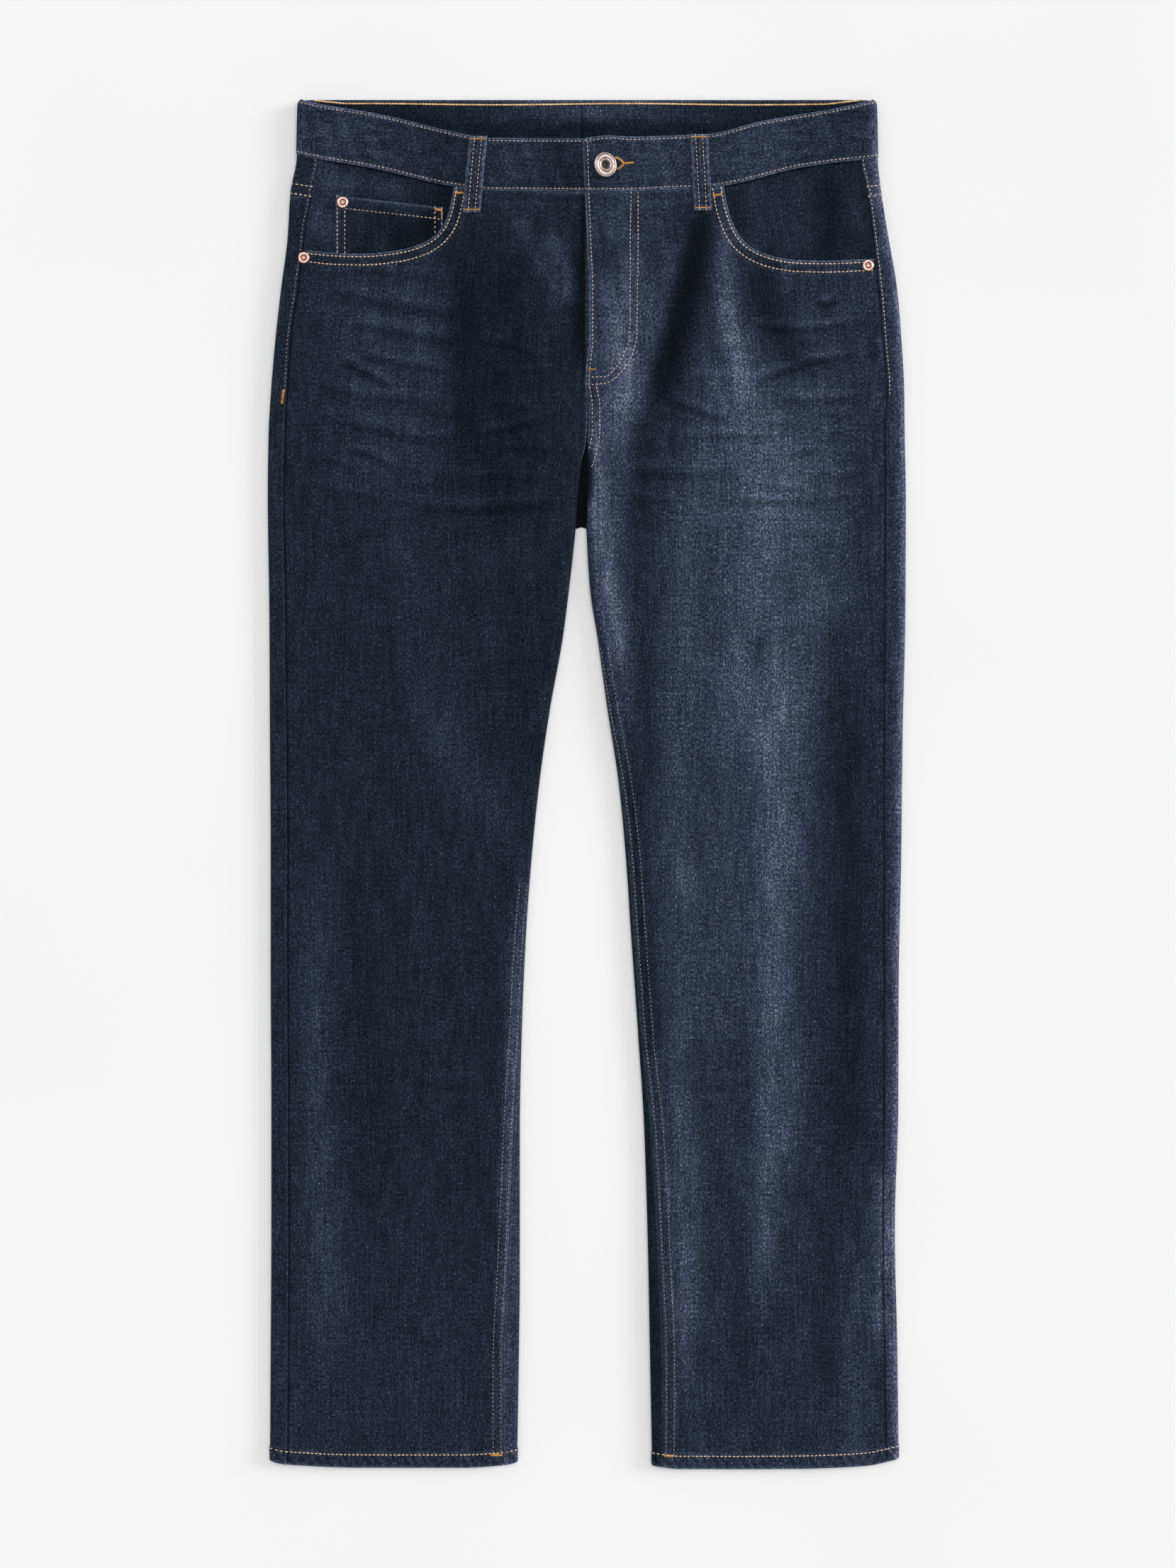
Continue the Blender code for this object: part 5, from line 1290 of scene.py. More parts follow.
@dataclass
class Back:
    """A back, from the yoke to the hem, which wraps round both folds of its leg."""

    half: Half
    near_side: tuple[float, ...] = (*EDGE_STEPS, 0.0021, 0.0032, 0.0044, 0.0058)
    strip_cells: int = 3
    turn_cells: int = 12
    flat_cells: int = 46
    inner_cells: int = 18
    near_end: tuple[float, ...] = EDGE_STEPS
    centre_strip: float = 0.0170
    block_rows: int = 22
    thigh_step: float = 0.0040
    leg_step: float = 0.0060

    def end(self, y: Array) -> Array:
        """The last distance: the centre back above the crotch, or the inseam."""
        centre = CENTRE_BACK + self.half.sign * SEAT_GAP / 2
        open_end = -self.half.distance_at(centre, y)
        closed = -(self.half.length_across(y) + cloth_distance(self.half.inseam(y)) - SEAM_GAP / 2)
        return np.where(y > CROTCH_END, open_end, closed)

    def columns(self, y: Array | float) -> Array:
        """Cloth distance of each column, at one height or at a grid of heights."""
        outer = self.half.back_seam(y)
        end = self.end(y)
        last = np.where(y > CROTCH_END, end + self.centre_strip, QUARTER - self.half.length_across(y))
        ladder = Ladder(
            rising(self.near_side),
            spread(0.0, 1.0, self.strip_cells),
            spread(0.0, 1.0, self.turn_cells),
            spread(0.0, 1.0, self.flat_cells),
            spread(0.0, 1.0, self.inner_cells),
            falling(self.near_end),
        )
        strip = outer - self.near_side[-1]
        return ladder.places(outer, strip, QUARTER, -QUARTER, last, end + self.near_end[-1], end)

    def rows(self) -> Array:
        """y of every row, rows by columns."""
        upper = yoke_line(self, self.columns(YOKE_SIDE), -SEAM_GAP / 2)
        near = np.array((*EDGE_STEPS, 0.0022, 0.0036))
        shares = spread(0.0, 1.0, self.block_rows)[1:, None]
        first = upper - near[-1]
        block = np.concatenate([upper - near[:, None], first + (BLOCK_END - first) * shares])
        thigh = np.arange(BLOCK_END, CROTCH_END + CROTCH_GAP, -self.thigh_step)[1:]
        steps = round((CROTCH_END - LAST_LEVEL) / self.leg_step)
        seam = (CROTCH_END + CROTCH_STEP, CROTCH_END - CROTCH_STEP)
        level = np.concatenate([thigh, seam, spread(CROTCH_END - CROTCH_GAP, LAST_LEVEL, steps)])
        rows = np.concatenate([block, np.repeat(level[:, None], len(upper), axis=1)])
        x = self.half.points(self.columns(LAST_LEVEL), LAST_LEVEL, 0.0)[..., 0]
        above = np.array((*Front.hem_rows, *EDGE_STEPS[::-1]))[:, None] + self.half.hem(x)
        return np.concatenate([rows, above])

    def build(self, denim: Material) -> Cut:
        """Makes the panel.

        Args:
            denim: its finish.

        Returns:
            The panel as a cut.
        """
        half = self.half
        y = self.rows()
        distance = self.columns(y)
        open_inside = y > CROTCH_END
        x = wrapped(half, distance, y, 0.0, open_inside)[..., 0]
        above = y - half.hem(x)
        outer = half.back_seam(y)
        from_yoke = y[0] - y
        from_end = distance - self.end(y)
        edge = np.clip(np.minimum.reduce([from_yoke, outer - distance, from_end, above]), 0.0, None)
        hem = hem_share(above)
        beyond = -distance - half.length_across(y)
        on_top = (distance > 0) | ((beyond > 0) & ~open_inside)
        proud = HEM_PROUD * hem * on_top
        thickness = CLOTH + (HEM_THICKNESS - CLOTH) * hem
        roping = hem * ropes(x, above, 1.4) * on_top
        out_depth = pinch(edge, thickness) - proud - ROPE_HEIGHT * roping
        in_depth = thickness - proud - pinch(edge, thickness)
        outside = wrapped(half, distance, y, out_depth, open_inside)
        inside = wrapped(half, distance, y, in_depth, open_inside)
        tone = self.tone(x, y, distance, from_yoke) + HEM_TONE * hem + ROPE_TONE * roping
        tone += painted_rim_highlight(half, distance)
        tone -= INNER_SHADE[half.name] * smooth_step(-0.004, 0.002, beyond) * ~open_inside
        worn = edge_wear(outer - distance, y, 0.15)
        worn = np.maximum(worn, edge_wear(above, x, HEM_WEAR))
        worn = np.maximum(worn, edge_wear(from_end, y, 0.45) * ~open_inside)
        cloth = joined(distance, y)
        reverse = np.where(y < REVERSE_LEVEL, REVERSE_TONE, INSIDE_SHADE_TONE)
        wall = Wall(outside, inside, cloth, tone, worn, reverse)
        return wall.make(f"{half.name}_back", f"back_{half.name}", denim, [f"back_pocket_{half.name}"])

    def tone(self, x: Array, y: Array, distance: Array, from_yoke: Array) -> Array:
        """Tone of the panel: its front strips follow the front, the seat and the calf are lighter."""
        half = self.half
        flat = smooth_step(-0.012, -0.040, distance)
        centre = x - (CENTRE_BACK + half.sign * 0.120)
        seat = 0.13 * bump(centre, 0.085) * bump(y - 0.300, 0.130)
        calf = 0.06 * bump(centre, 0.060) * bump(y + 0.150, 0.300)
        under = BACK_TONE + seat + calf + 0.04 * slack(x + 0.2, 0.7 * y)
        under += honeycomb(half, x, y)
        over = panel_tone(half, x, y)
        return over + (under - over) * flat + 0.05 * bump(from_yoke, 0.003)


def painted_rim_highlight(half: Half, distance: Array) -> Array:
    """Painted highlight along the outer fold, where the side light catches it: slight on the right, much
    stronger on the left.
    """
    return 0.07 * bump(distance, 0.006) + (0.27 * bump(distance - 0.0025, 0.0060) if half.sign > 0 else 0.0)


def honeycomb(half: Half, x: Array, y: Array) -> Array:
    """Soft creases behind the knees and under the seat."""
    across = half.sign * x
    level = 0.05 * (pucker(y + 0.05 * np.sin(18 * across), 0.052, 0.9) * bump(y + 0.010, 0.075))
    seat = 0.05 * pucker(y - 0.10 * across, 0.031, 0.2) * bump(y - 0.212, 0.018)
    return level + seat


def wrapped(half: Half, distance: Array, y: Array, depth: Array | float, open_inside: Array) -> Array:
    """Points of a back, whose cloth is open at the centre above the crotch and closed below it."""
    through = half.points(distance, y, depth, True)
    closed = half.points(distance, y, depth, False)
    return np.where(open_inside[..., None], through, closed)


def yoke_line(back: Back, columns: Array, shift: float) -> Array:
    """The yoke seam's y at a back's columns, moved along the body by shift."""
    turned = len(back.near_side) + back.strip_cells + back.turn_cells - 1
    share = np.maximum(0.0, (columns[turned] - columns) / (columns[turned] - columns[-1]))
    return YOKE_SIDE + (YOKE_CENTRE - YOKE_SIDE) * share + shift


@dataclass
class Yoke:
    """A yoke, between the waistband and the back."""

    half: Half
    middle_rows: int = 14

    def build(self, denim: Material) -> Cut:
        """Makes the yoke.

        Args:
            denim: its finish.

        Returns:
            The yoke as a cut.
        """
        half = self.half
        back = Back(half)
        side = float(BAND_BOTTOM(half.outer_edge(BAND_MIDDLE)))
        across = back.columns(side)
        x_top = half.points(across, side, 0.0, True)[..., 0]
        upper = np.where(across > QUARTER, BAND_BOTTOM(x_top), side) - SEAM_GAP
        lower = yoke_line(back, back.columns(YOKE_SIDE), SEAM_GAP / 2)
        near = np.array((*EDGE_STEPS, 0.0020, 0.0032, 0.0060, 0.0088, 0.0104))
        first = lower + near[-1]
        shares = spread(0.0, 1.0, self.middle_rows)[1:, None]
        y = np.concatenate([lower + near[:, None], first + (upper - first) * shares])[::-1]
        distance = back.columns(y)
        outer = half.back_seam(y)
        from_yoke = y - y[-1]
        from_end = distance - back.end(y)
        edge = np.clip(np.minimum.reduce([from_yoke, outer - distance, from_end]), 0.0, None)
        pressed = PRESS * sum(bump(from_yoke - row, ROW_WIDTH) for row in YOKE_ROWS)
        depth = pinch(edge) + pressed
        outside = half.points(distance, y, depth, True)
        inside = half.points(distance, y, CLOTH - pinch(edge), True)
        x = outside[..., 0]
        tone = back.tone(x, y, distance, np.full(y.shape, 1.0)) + 0.02 + painted_rim_highlight(half, distance)
        tone += 0.06 * waving(distance, PUCKER_PITCH, 0.3) * bump(from_yoke, 0.0030)
        worn = np.maximum(edge_wear(from_yoke, distance, 0.6), edge_wear(outer - distance, y, 0.5))
        cloth = joined(distance, y)
        wall = Wall(outside, inside, cloth, tone, worn, INSIDE_SHADE_TONE + 0.15)
        return wall.make(f"{half.name}_yoke", f"yoke_{half.name}", denim, [f"back_{half.name}"])


# ---------------------------------------------------------------- waistband
BAND_STITCH = 0.0024  # the band's rows of stitches lie this far in from its edges
CORNER_RISE = 0.0020  # the left end of the band bulges up beside its corner
CORNER_AT = 0.0160
CORNER_WIDTH = 0.0130
CORNER_ROUND = 0.0028  # the upper edge drops by this at the side fold
END_LEAN = 0.055  # the band's end leans by this share of its height
END_EASE = 0.0200


class BandPart(IntEnum):
    """Which stretch of the waistband a column belongs to."""

    BACK = 0
    TURN = 1
    FRONT = 2


def wash(x: Array) -> Array:
    """The waistband's own lighter and darker stretches."""
    return Curve(*zip(*BAND_WASH))(x)


@dataclass
class Waistband:
    """Half a waistband, from the centre back round the side to its end at the centre front."""

    half: Half
    column_step: float = 0.0026
    turn_cells: int = 12
    near: tuple[float, ...] = (*EDGE_STEPS, 0.0018, 0.0024, 0.0030, 0.0038, 0.0052)
    row_step: float = 0.0028
    crown: float = 0.00035  # how far its middle stands out
    waves: float = 0.00010  # height of the puckers along its edges
    press: float = 0.00022  # how far its rows of stitches lie in
    inner_waves: float = 0.00018  # height of the waves on its reverse
    rounding: float = 0.0014  # radius of its long edges

    def stretches(self) -> tuple[Array, Array]:
        """What part each column belongs to, and its place there: an x, or a distance in the turn."""
        half = self.half
        centre = CENTRE_BACK + half.sign * SEAM_GAP / 2
        outer = float(half.outer_edge(BAND_MIDDLE))
        back_end = outer - half.sign * BAND_EASE
        turn_x = outer - half.sign * FOLD_RADIUS
        last = BAND_END if half.sign > 0 else UNDERLAP_END
        back_steps = even_places(abs(back_end - centre), EDGE_STEPS, self.column_step, (0.0, 0.001))
        back = centre + half.sign * back_steps
        back = np.concatenate([back, spread(back_end, turn_x, 6)[1:-1]])
        turn = spread(-QUARTER, QUARTER, self.turn_cells)
        length = abs(turn_x - last)
        front = turn_x - half.sign * even_places(length, (0.0, 0.001), self.column_step, EDGE_STEPS)[1:]
        parts = [BandPart.BACK] * len(back) + [BandPart.TURN] * len(turn)
        parts += [BandPart.FRONT] * len(front)
        return np.array(parts), np.concatenate([back, turn, front])

    def edges(self, part: Array, place: Array) -> tuple[Array, Array]:
        """y of the upper and lower edge at each column."""
        half = self.half
        side = half.outer_edge(BAND_MIDDLE)
        on_front = np.where(part == BandPart.FRONT, place, side)
        in_from_fold = half.distance_at(place, BAND_MIDDLE)
        under = smooth_step(0.0, BAND_EASE, in_from_fold) * (part == BandPart.BACK)
        upper = BAND_TOP(on_front)
        if half.sign > 0:
            upper = upper + CORNER_RISE * bump(on_front - CORNER_AT, CORNER_WIDTH)
            upper = upper - 0.0012 * bump(on_front - BAND_END, 0.0020)
        upper = upper - CORNER_ROUND * bump(place, 0.0033) * (part == BandPart.TURN)
        return upper + (BAND_TOP_BACK - upper) * under, BAND_BOTTOM(on_front)

    def build(self, denim: Material) -> Cut:
        """Makes half the waistband.

        Args:
            denim: its finish.

        Returns:
            The waistband as a cut.
        """
        half = self.half
        part, place = self.stretches()
        upper, lower = self.edges(part, place)
        near = np.array(self.near) / BAND_WIDTH
        down = even_places(1.0, near, self.row_step / BAND_WIDTH, near)
        y = upper + (lower - upper) * down[:, None]
        from_top = (upper - lower) * down[:, None]
        from_low = (upper - lower) * (1 - down[:, None])
        on_front = part == BandPart.FRONT
        distance = np.where(part == BandPart.TURN, place, half.distance_at(place, y))
        distance = np.where(part == BandPart.BACK, -distance, distance)
        if half.sign > 0:
            lean = END_LEAN * (BAND_BOTTOM(0.0) + 0.020 - y) * bump(place - BAND_END, END_EASE) * on_front
            distance = distance - lean
        from_end = np.abs(place - place[-1]) + 1.0 * ~on_front
        from_centre = np.abs(place - place[0]) + 1.0 * (part != BandPart.BACK)
        from_ends = np.broadcast_to(np.minimum(from_end, from_centre), y.shape)
        edge = np.minimum.reduce([from_top, from_low, from_ends])

        def inset(offset: float, width: float) -> Array:
            """Bumps that lie this far in from both long edges."""
            return bump(from_top - offset, width) + bump(from_low - offset, width)

        along = np.where(on_front, place, distance)
        waves = self.waves * pucker(along, PUCKER_PITCH, 0.5) * inset(0.0, 0.006)
        crown = self.crown * np.sin(math.pi * down[:, None]) + waves - self.press * inset(BAND_STITCH, 0.0010)
        in_front = smooth_step(-QUARTER, QUARTER, distance)
        proud = BAND_PROUD * in_front + crown * in_front
        thin = pinch(edge, BAND_THICKNESS, self.rounding)
        outside = self.lift(part, place, distance, y, thin - proud)
        inner_waves = self.inner_waves * slack(2.1 * along, 1.3 * y)
        inside_depth = BAND_THICKNESS - proud - thin + inner_waves * (distance < 0)
        inside = self.lift(part, place, distance, y, inside_depth)
        x = outside[..., 0]
        tone = panel_tone(half, x, y) + 0.03 * slack(1.9 * x, 3.3 * y)
        streaks = 0.035 * pucker(along + 0.3 * y, 0.0170, 1.7) + 0.03 * slack(3.7 * x, 2.9 * y + 0.7)
        tone += streaks + wash(np.where(on_front, place, half.outer_edge(BAND_MIDDLE)))
        ropes = 0.5 + 0.5 * pucker(along, PUCKER_PITCH, 0.5)
        tone += 0.12 * ropes * inset(0.0008, 0.0028)
        tone -= 0.05 * inset(0.0062, 0.0020)
        tone += painted_rim_highlight(half, distance)
        worn = np.maximum(edge_wear(from_top, along, 1.0), edge_wear(from_low, along, 0.8))
        worn = np.maximum(worn, edge_wear(np.broadcast_to(from_end, y.shape), y, 0.8))
        cloth = joined(y, distance)
        # The reverse of the band, seen inside the waist: a little darker overall, as painted shade from the
        # front of the band, with painted light on its upper stretch.
        lit = 0.26 * bump(x - 0.01, 0.10) * smooth_step(0.515, 0.527, y)
        reverse = FACING_TONE - 0.04 + lit + 0.05 * slack(1.3 * x, 2.0 * y)
        rests_on = [f"yoke_{half.name}", f"loop_back_{half.name}", "loop_back_centre"]
        if half.sign > 0:
            rests_on.append("waistband_right")
        wall = Wall(outside, inside, cloth, tone, worn, reverse)
        return wall.make(f"{half.name}_waistband", f"waistband_{half.name}", denim, rests_on)

    def lift(self, part: Array, place: Array, distance: Array, y: Array, depth: Array) -> Array:
        """Points of the waistband, whose right end steps down under the left one."""
        points = self.half.points(distance, y, depth, True)
        if self.half.sign < 0:
            on_front = part == BandPart.FRONT
            lapped = smooth_step(BAND_END - LAP_STEP, BAND_END, place) * on_front
            points[..., 2] -= (BAND_THICKNESS + SEAM_GAP) * lapped
        return points


# ---------------------------------------------------------------- pieces on the panels
FLY_STITCH = 0.0031  # from the fly's left edge to its row of stitches
LOOP_ROW = 0.0027  # a loop's rows of stitches, from its middle


@dataclass
class Facing:
    """The facing seen in a front pocket's mouth, which runs on under the front."""

    half: Half
    column_step: float = 0.0030
    rows: int = 26
    sag: float = 0.0004  # how far it hangs in the middle of the mouth
    waves: float = 0.0002

    def build(self, denim: Material) -> Cut:
        """Makes the facing.

        Args:
            denim: its finish.

        Returns:
            The facing as a cut.
        """
        half = self.half
        pocket = half.pocket
        outer, _ = half.seam_distances(pocket[0].y)
        start = float(half.points(outer, pocket[0].y, 0.0)[0])
        end = pocket[-1].x - half.sign * POCKET_UNDERLAP
        columns = start + np.sign(end - start) * even_places(
            abs(end - start), EDGE_STEPS, self.column_step, EDGE_STEPS
        )
        high = BAND_BOTTOM(columns) - SEAM_GAP
        low = mark_curve(pocket)(columns) - POCKET_UNDERLAP
        tail = BAND_BOTTOM(end) - POCKET_TAIL
        low = low + (tail - low) * smooth_step(pocket[-1].x, end, columns)
        share = spread(0.0, 1.0, self.rows)[:, None]
        y = high + (low - high) * share
        x = np.repeat(columns[None, :], len(share), axis=0)
        seam, _ = half.seam_distances(y)
        seam_x = half.points(seam, y, 0.0)[..., 0]
        beside = 1 - np.clip(np.abs(columns - columns[0]) / 0.020, 0.0, 1.0)
        x = x + (seam_x - columns[0]) * beside
        from_side = np.broadcast_to(np.abs(columns - columns[0]), y.shape)
        edge = np.minimum.reduce([high - y, y - low, from_side])
        sag = self.sag * bump(half.sign * x - 0.150, 0.045) * bump(y - 0.445, 0.022)
        z = half.top(x, y) - POCKET_BAG_DROP - sag - self.waves * slack(1.4 * x, 1.9 * y)
        outside = joined(x, y, z - pinch(np.clip(edge, 0, None)))
        inside = joined(x, y, z - CLOTH)
        tone = facing_tone(x, y)
        cloth = joined(half.distance_at(x, y), y)
        worn = edge_wear(from_side, y, 0.25)
        wall = Wall(outside, inside, cloth, tone, worn)
        return wall.make(f"{half.name}_facing", f"facing_{half.name}", denim, [f"back_{half.name}"])


@dataclass
class Surface:
    """The upper or lower faces of finished pieces, to set other pieces on."""

    pieces: Sequence[Thing]
    trees: list[BVHTree] = field(init=False)

    def __post_init__(self) -> None:
        """Makes a search tree of each piece."""
        graph = bpy.context.evaluated_depsgraph_get()
        self.trees = [BVHTree.FromObject(piece, graph) for piece in self.pieces]

    def height(self, x: float, y: float, from_above: bool = True) -> float | None:
        """Height of the outermost face over a place, or None beside the pieces."""
        start = Vector((x, y, 1.0 if from_above else -1.0))
        way = Vector((0, 0, -1 if from_above else 1))
        hits = [tree.ray_cast(start, way)[0] for tree in self.trees]
        heights = [hit.z for hit in hits if hit is not None]
        if not heights:
            return None
        return max(heights) if from_above else min(heights)

    def heights(self, x: Array, y: Array, missing: Array | float = 0.0) -> Array:
        """Heights over a grid of places, with a stand-in beside the pieces."""
        missing = np.broadcast_to(missing, np.shape(x))
        found = [self.height(float(a), float(b)) for a, b in zip(np.ravel(x), np.ravel(y))]
        filled = [stand_in if high is None else high for high, stand_in in zip(found, np.ravel(missing))]
        return np.array(filled).reshape(np.shape(x))

    def clear_heights(self, x: Array, y: Array, reach: float) -> Array:
        """The highest height within a reach of each place."""
        steps = (-reach, 0.0, reach)
        return np.maximum.reduce([self.heights(x + right, y + up) for right in steps for up in steps])


@dataclass
class CoinPocket:
    """The coin pocket on the right facing, down to the scoop of the front."""

    columns: int = 40
    rows: int = 22
    side_rows: tuple[float, float] = (0.0010, 0.0071)  # its two rows of stitches, from each side
    seat: float = 0.0002  # clearance over the facing
    swell: float = 0.0003  # how far its middle stands off
    press: float = 0.00014  # how far its rows of stitches lie in
    hem_rise: float = 0.0004

    def top_at(self, x: Array) -> Array:
        """y of its upper edge."""
        share = (x - COIN_LEFT) / (COIN_RIGHT - COIN_LEFT)
        return COIN_TOP_LEFT + (COIN_TOP_RIGHT - COIN_TOP_LEFT) * share

    def build(self, facing: Cut, denim: Material) -> Cut:
        """Makes the pocket on its facing.

        Args:
            facing: the right facing.
            denim: its finish.

        Returns:
            The pocket as a cut.
        """
        width = COIN_RIGHT - COIN_LEFT
        near = np.array((*EDGE_STEPS, 0.0022))
        x = COIN_LEFT + even_places(width, near, width / self.columns, near)
        high = self.top_at(x)
        low = mark_curve(RIGHT_POCKET)(x) + COIN_CLEARANCE
        ladder = Ladder(rising(near), spread(0.0, 1.0, self.rows), np.array([0.0, 1.0]))
        depths = [top - bottom for top, bottom in zip(high, low)]
        down = np.stack([ladder.places(0.0, near[-1], depth - 0.0010, depth) for depth in depths])
        y = high - down.T
        x = np.repeat(x[None, :], len(y), axis=0)
        seat = Surface([facing.thing]).heights(x, y, RIGHT.top(x, y) - POCKET_BAG_DROP) + self.seat
        from_top = self.top_at(x) - y
        from_side = np.minimum(x - COIN_LEFT, COIN_RIGHT - x)
        from_low = y - (mark_curve(RIGHT_POCKET)(x) + COIN_CLEARANCE)
        edge = np.clip(np.minimum(from_top, from_side), 0.0, None)
        rows = bump(from_side - self.side_rows[0], 0.0008) + bump(from_side - self.side_rows[1], 0.0008)
        middle = self.swell * bump(x - (COIN_LEFT + COIN_RIGHT) / 2, 0.026)
        middle = middle * smooth_step(0.0, 0.010, from_top)
        lift = COIN_THICKNESS + middle - self.press * rows - pinch(edge, COIN_THICKNESS)
        hem = self.hem_rise * (1 - smooth_step(0.0080, 0.0092, from_top))
        low_calm = smooth_step(0.0, 0.006, from_low)
        outside = joined(x, y, seat + lift + hem * low_calm)
        inside = joined(x, y, seat)
        tone = facing_tone(x, y) + 0.045 - 0.05 * smooth_step(0.0090, 0.0110, from_top)
        tone += 0.05 * bump(from_top - 0.0088, 0.0016) + 0.07 * bump(from_top, 0.003)
        tone += 0.05 * bump(from_side, 0.0030)
        worn = np.maximum(edge_wear(from_top, x, 0.7), edge_wear(from_side, y, 0.45))
        cloth = joined(x, y)
        wall = Wall(outside, inside, cloth, tone, worn)
        return wall.make("coin_pocket_patch", "coin_pocket", denim, ["facing_right"])


@dataclass
class Fly:
    """The placket from the waistband down the centre front, with its lower end rounded off.

    Its left edge is a fold of the left front. At the stitches its cloth runs on into the front.
    """

    columns: int = 20
    row_step: float = 0.15 / 78
    edge_lift: float = 0.0011  # how far its left edge stands off the front
    flush_lift: float = 0.00025  # and its right side, where it runs on into the front
    seat: float = 0.00008
    pitch: float = 0.0078  # of the puckers along its left edge
    press: float = 0.00018  # how far its row of stitches lies in

    def build(self, fronts: Sequence[Cut], denim: Material) -> Cut:
        """Makes the placket on the fronts.

        Args:
            fronts: the two fronts.
            denim: its finish.

        Returns:
            The placket as a cut.
        """
        left = edge_curve(FLY_LEFT)
        right = edge_curve(FLY_RIGHT)
        length = FLY_RIGHT[0].y - FLY_RIGHT[-1].y
        levels = FLY_RIGHT[0].y - even_places(length, (0.0, 0.001), self.row_step, (0.0, 0.0006, 0.0014))
        ladder = Ladder(rising(EDGE_STEPS), spread(0.0, 1.0, self.columns), np.array([0.0, 1.0]))
        y = np.repeat(levels[:, None], ladder.count, axis=1)
        width = right(y) - left(y)
        x = left(y) + ladder.places(0.0, EDGE_STEPS[-1] + 0 * y, width - 0.0006, width)
        surface = Surface([cut.thing for cut in fronts])
        base = surface.heights(x, y, LEFT.top(x, y))
        smooth = base.copy()
        smooth[:, 1:-1] = (base[:, :-2] + 2 * base[:, 1:-1] + base[:, 2:]) / 4
        base = np.maximum(base, smooth)
        from_left = x - left(y)
        along = -y
        share = smooth_step(0.25, 1.0, from_left / width)
        ends = smooth_step(0.0, 0.016, y - FLY_RIGHT[-1].y)
        lift = self.flush_lift + (self.edge_lift - self.flush_lift) * (1 - share) * (0.35 + 0.65 * ends)
        lift += PUCKER_HEIGHT * pucker(along, self.pitch, 0.9) * bump(from_left - 0.004, 0.005)
        lift -= self.press * bump(from_left - FLY_STITCH, 0.0010)
        outside = joined(x, y, base + lift - pinch(from_left, self.edge_lift))
        inside = joined(x, y, base + self.seat)
        waves = 0.5 + 0.5 * pucker(along, self.pitch, 0.9)
        tone = panel_tone(LEFT, x, y) + 0.12 * bump(from_left, 0.0036) * waves
        worn = edge_wear(from_left, y, 0.95)
        cloth = joined(LEFT.distance_at(x, y), y)
        wall = Wall(outside, inside, cloth, tone, worn)
        return wall.make("fly_placket", "fly", denim, ["front_right", "front_left"])


@dataclass
class BackPocket:
    """A patch pocket with a pointed lower edge, lying on the surface under the back."""

    half: Half
    cells: int = 34
    row_offsets: tuple[float, float] = (0.0020, 0.0085)
    hem: float = 0.0210  # depth of the hem along its mouth
    press: float = 0.00012  # how far its rows of stitches lie in

    def place(self, across: Array, down: Array) -> tuple[Array, Array]:
        """x and y at shares across from the inner edge and down from the mouth."""
        lean = BACK_POCKET_TAPER * down * (1 - 2 * across)
        x = CENTRE_BACK + self.half.sign * (BACK_POCKET_INNER + BACK_POCKET_WIDTH * across + lean)
        depth = BACK_POCKET_DEPTH - BACK_POCKET_POINT * np.abs(2 * across - 1)
        return x, BACK_POCKET_TOP - depth * down

    def build(self, denim: Material) -> Cut:
        """Makes the pocket.

        Args:
            denim: its finish.

        Returns:
            The pocket as a cut.
        """
        near = np.array((*EDGE_STEPS, 0.0020, 0.0032, 0.0060, 0.0085, 0.0100))
        places = even_places(BACK_POCKET_WIDTH, near, BACK_POCKET_WIDTH / self.cells, near)
        across, down = np.meshgrid(places / BACK_POCKET_WIDTH, places / BACK_POCKET_WIDTH)
        x, y = self.place(across, down)
        from_side = np.minimum(across, 1 - across) * BACK_POCKET_WIDTH
        from_mouth = down * BACK_POCKET_DEPTH
        from_low = (1 - down) * (BACK_POCKET_DEPTH - BACK_POCKET_POINT * np.abs(2 * across - 1))
        edge = np.minimum.reduce([from_side, from_mouth, from_low])
        border = np.minimum(from_side, from_low)
        pressed = sum(self.press * bump(border - row, 0.0009) for row in self.row_offsets)
        pressed = pressed + self.press * bump(from_mouth - self.hem + 0.003, 0.0009)
        thin = pinch(edge, BACK_POCKET_THICKNESS, 0.0009)
        outside = joined(x, y, thin + pressed)
        inside = joined(x, y, BACK_POCKET_THICKNESS - thin)
        tone = BACK_TONE + 0.02 + 0.10 * bump(x - x.mean(), 0.05) * bump(y - y.mean(), 0.06)
        waves = waving(x + y, PUCKER_PITCH, 0.5)
        tone += 0.04 * slack(1.3 * x, 1.6 * y) + 0.07 * bump(edge, 0.0030) * waves
        tone += 0.05 * bump(from_mouth - self.hem, 0.0018)
        worn = edge_wear(edge, x + y, 0.7)
        cloth = joined(x, y)
        wall = Wall(outside, inside, cloth, tone, worn)
        return wall.make(f"{self.half.name}_back_pocket", f"back_pocket_{self.half.name}", denim)


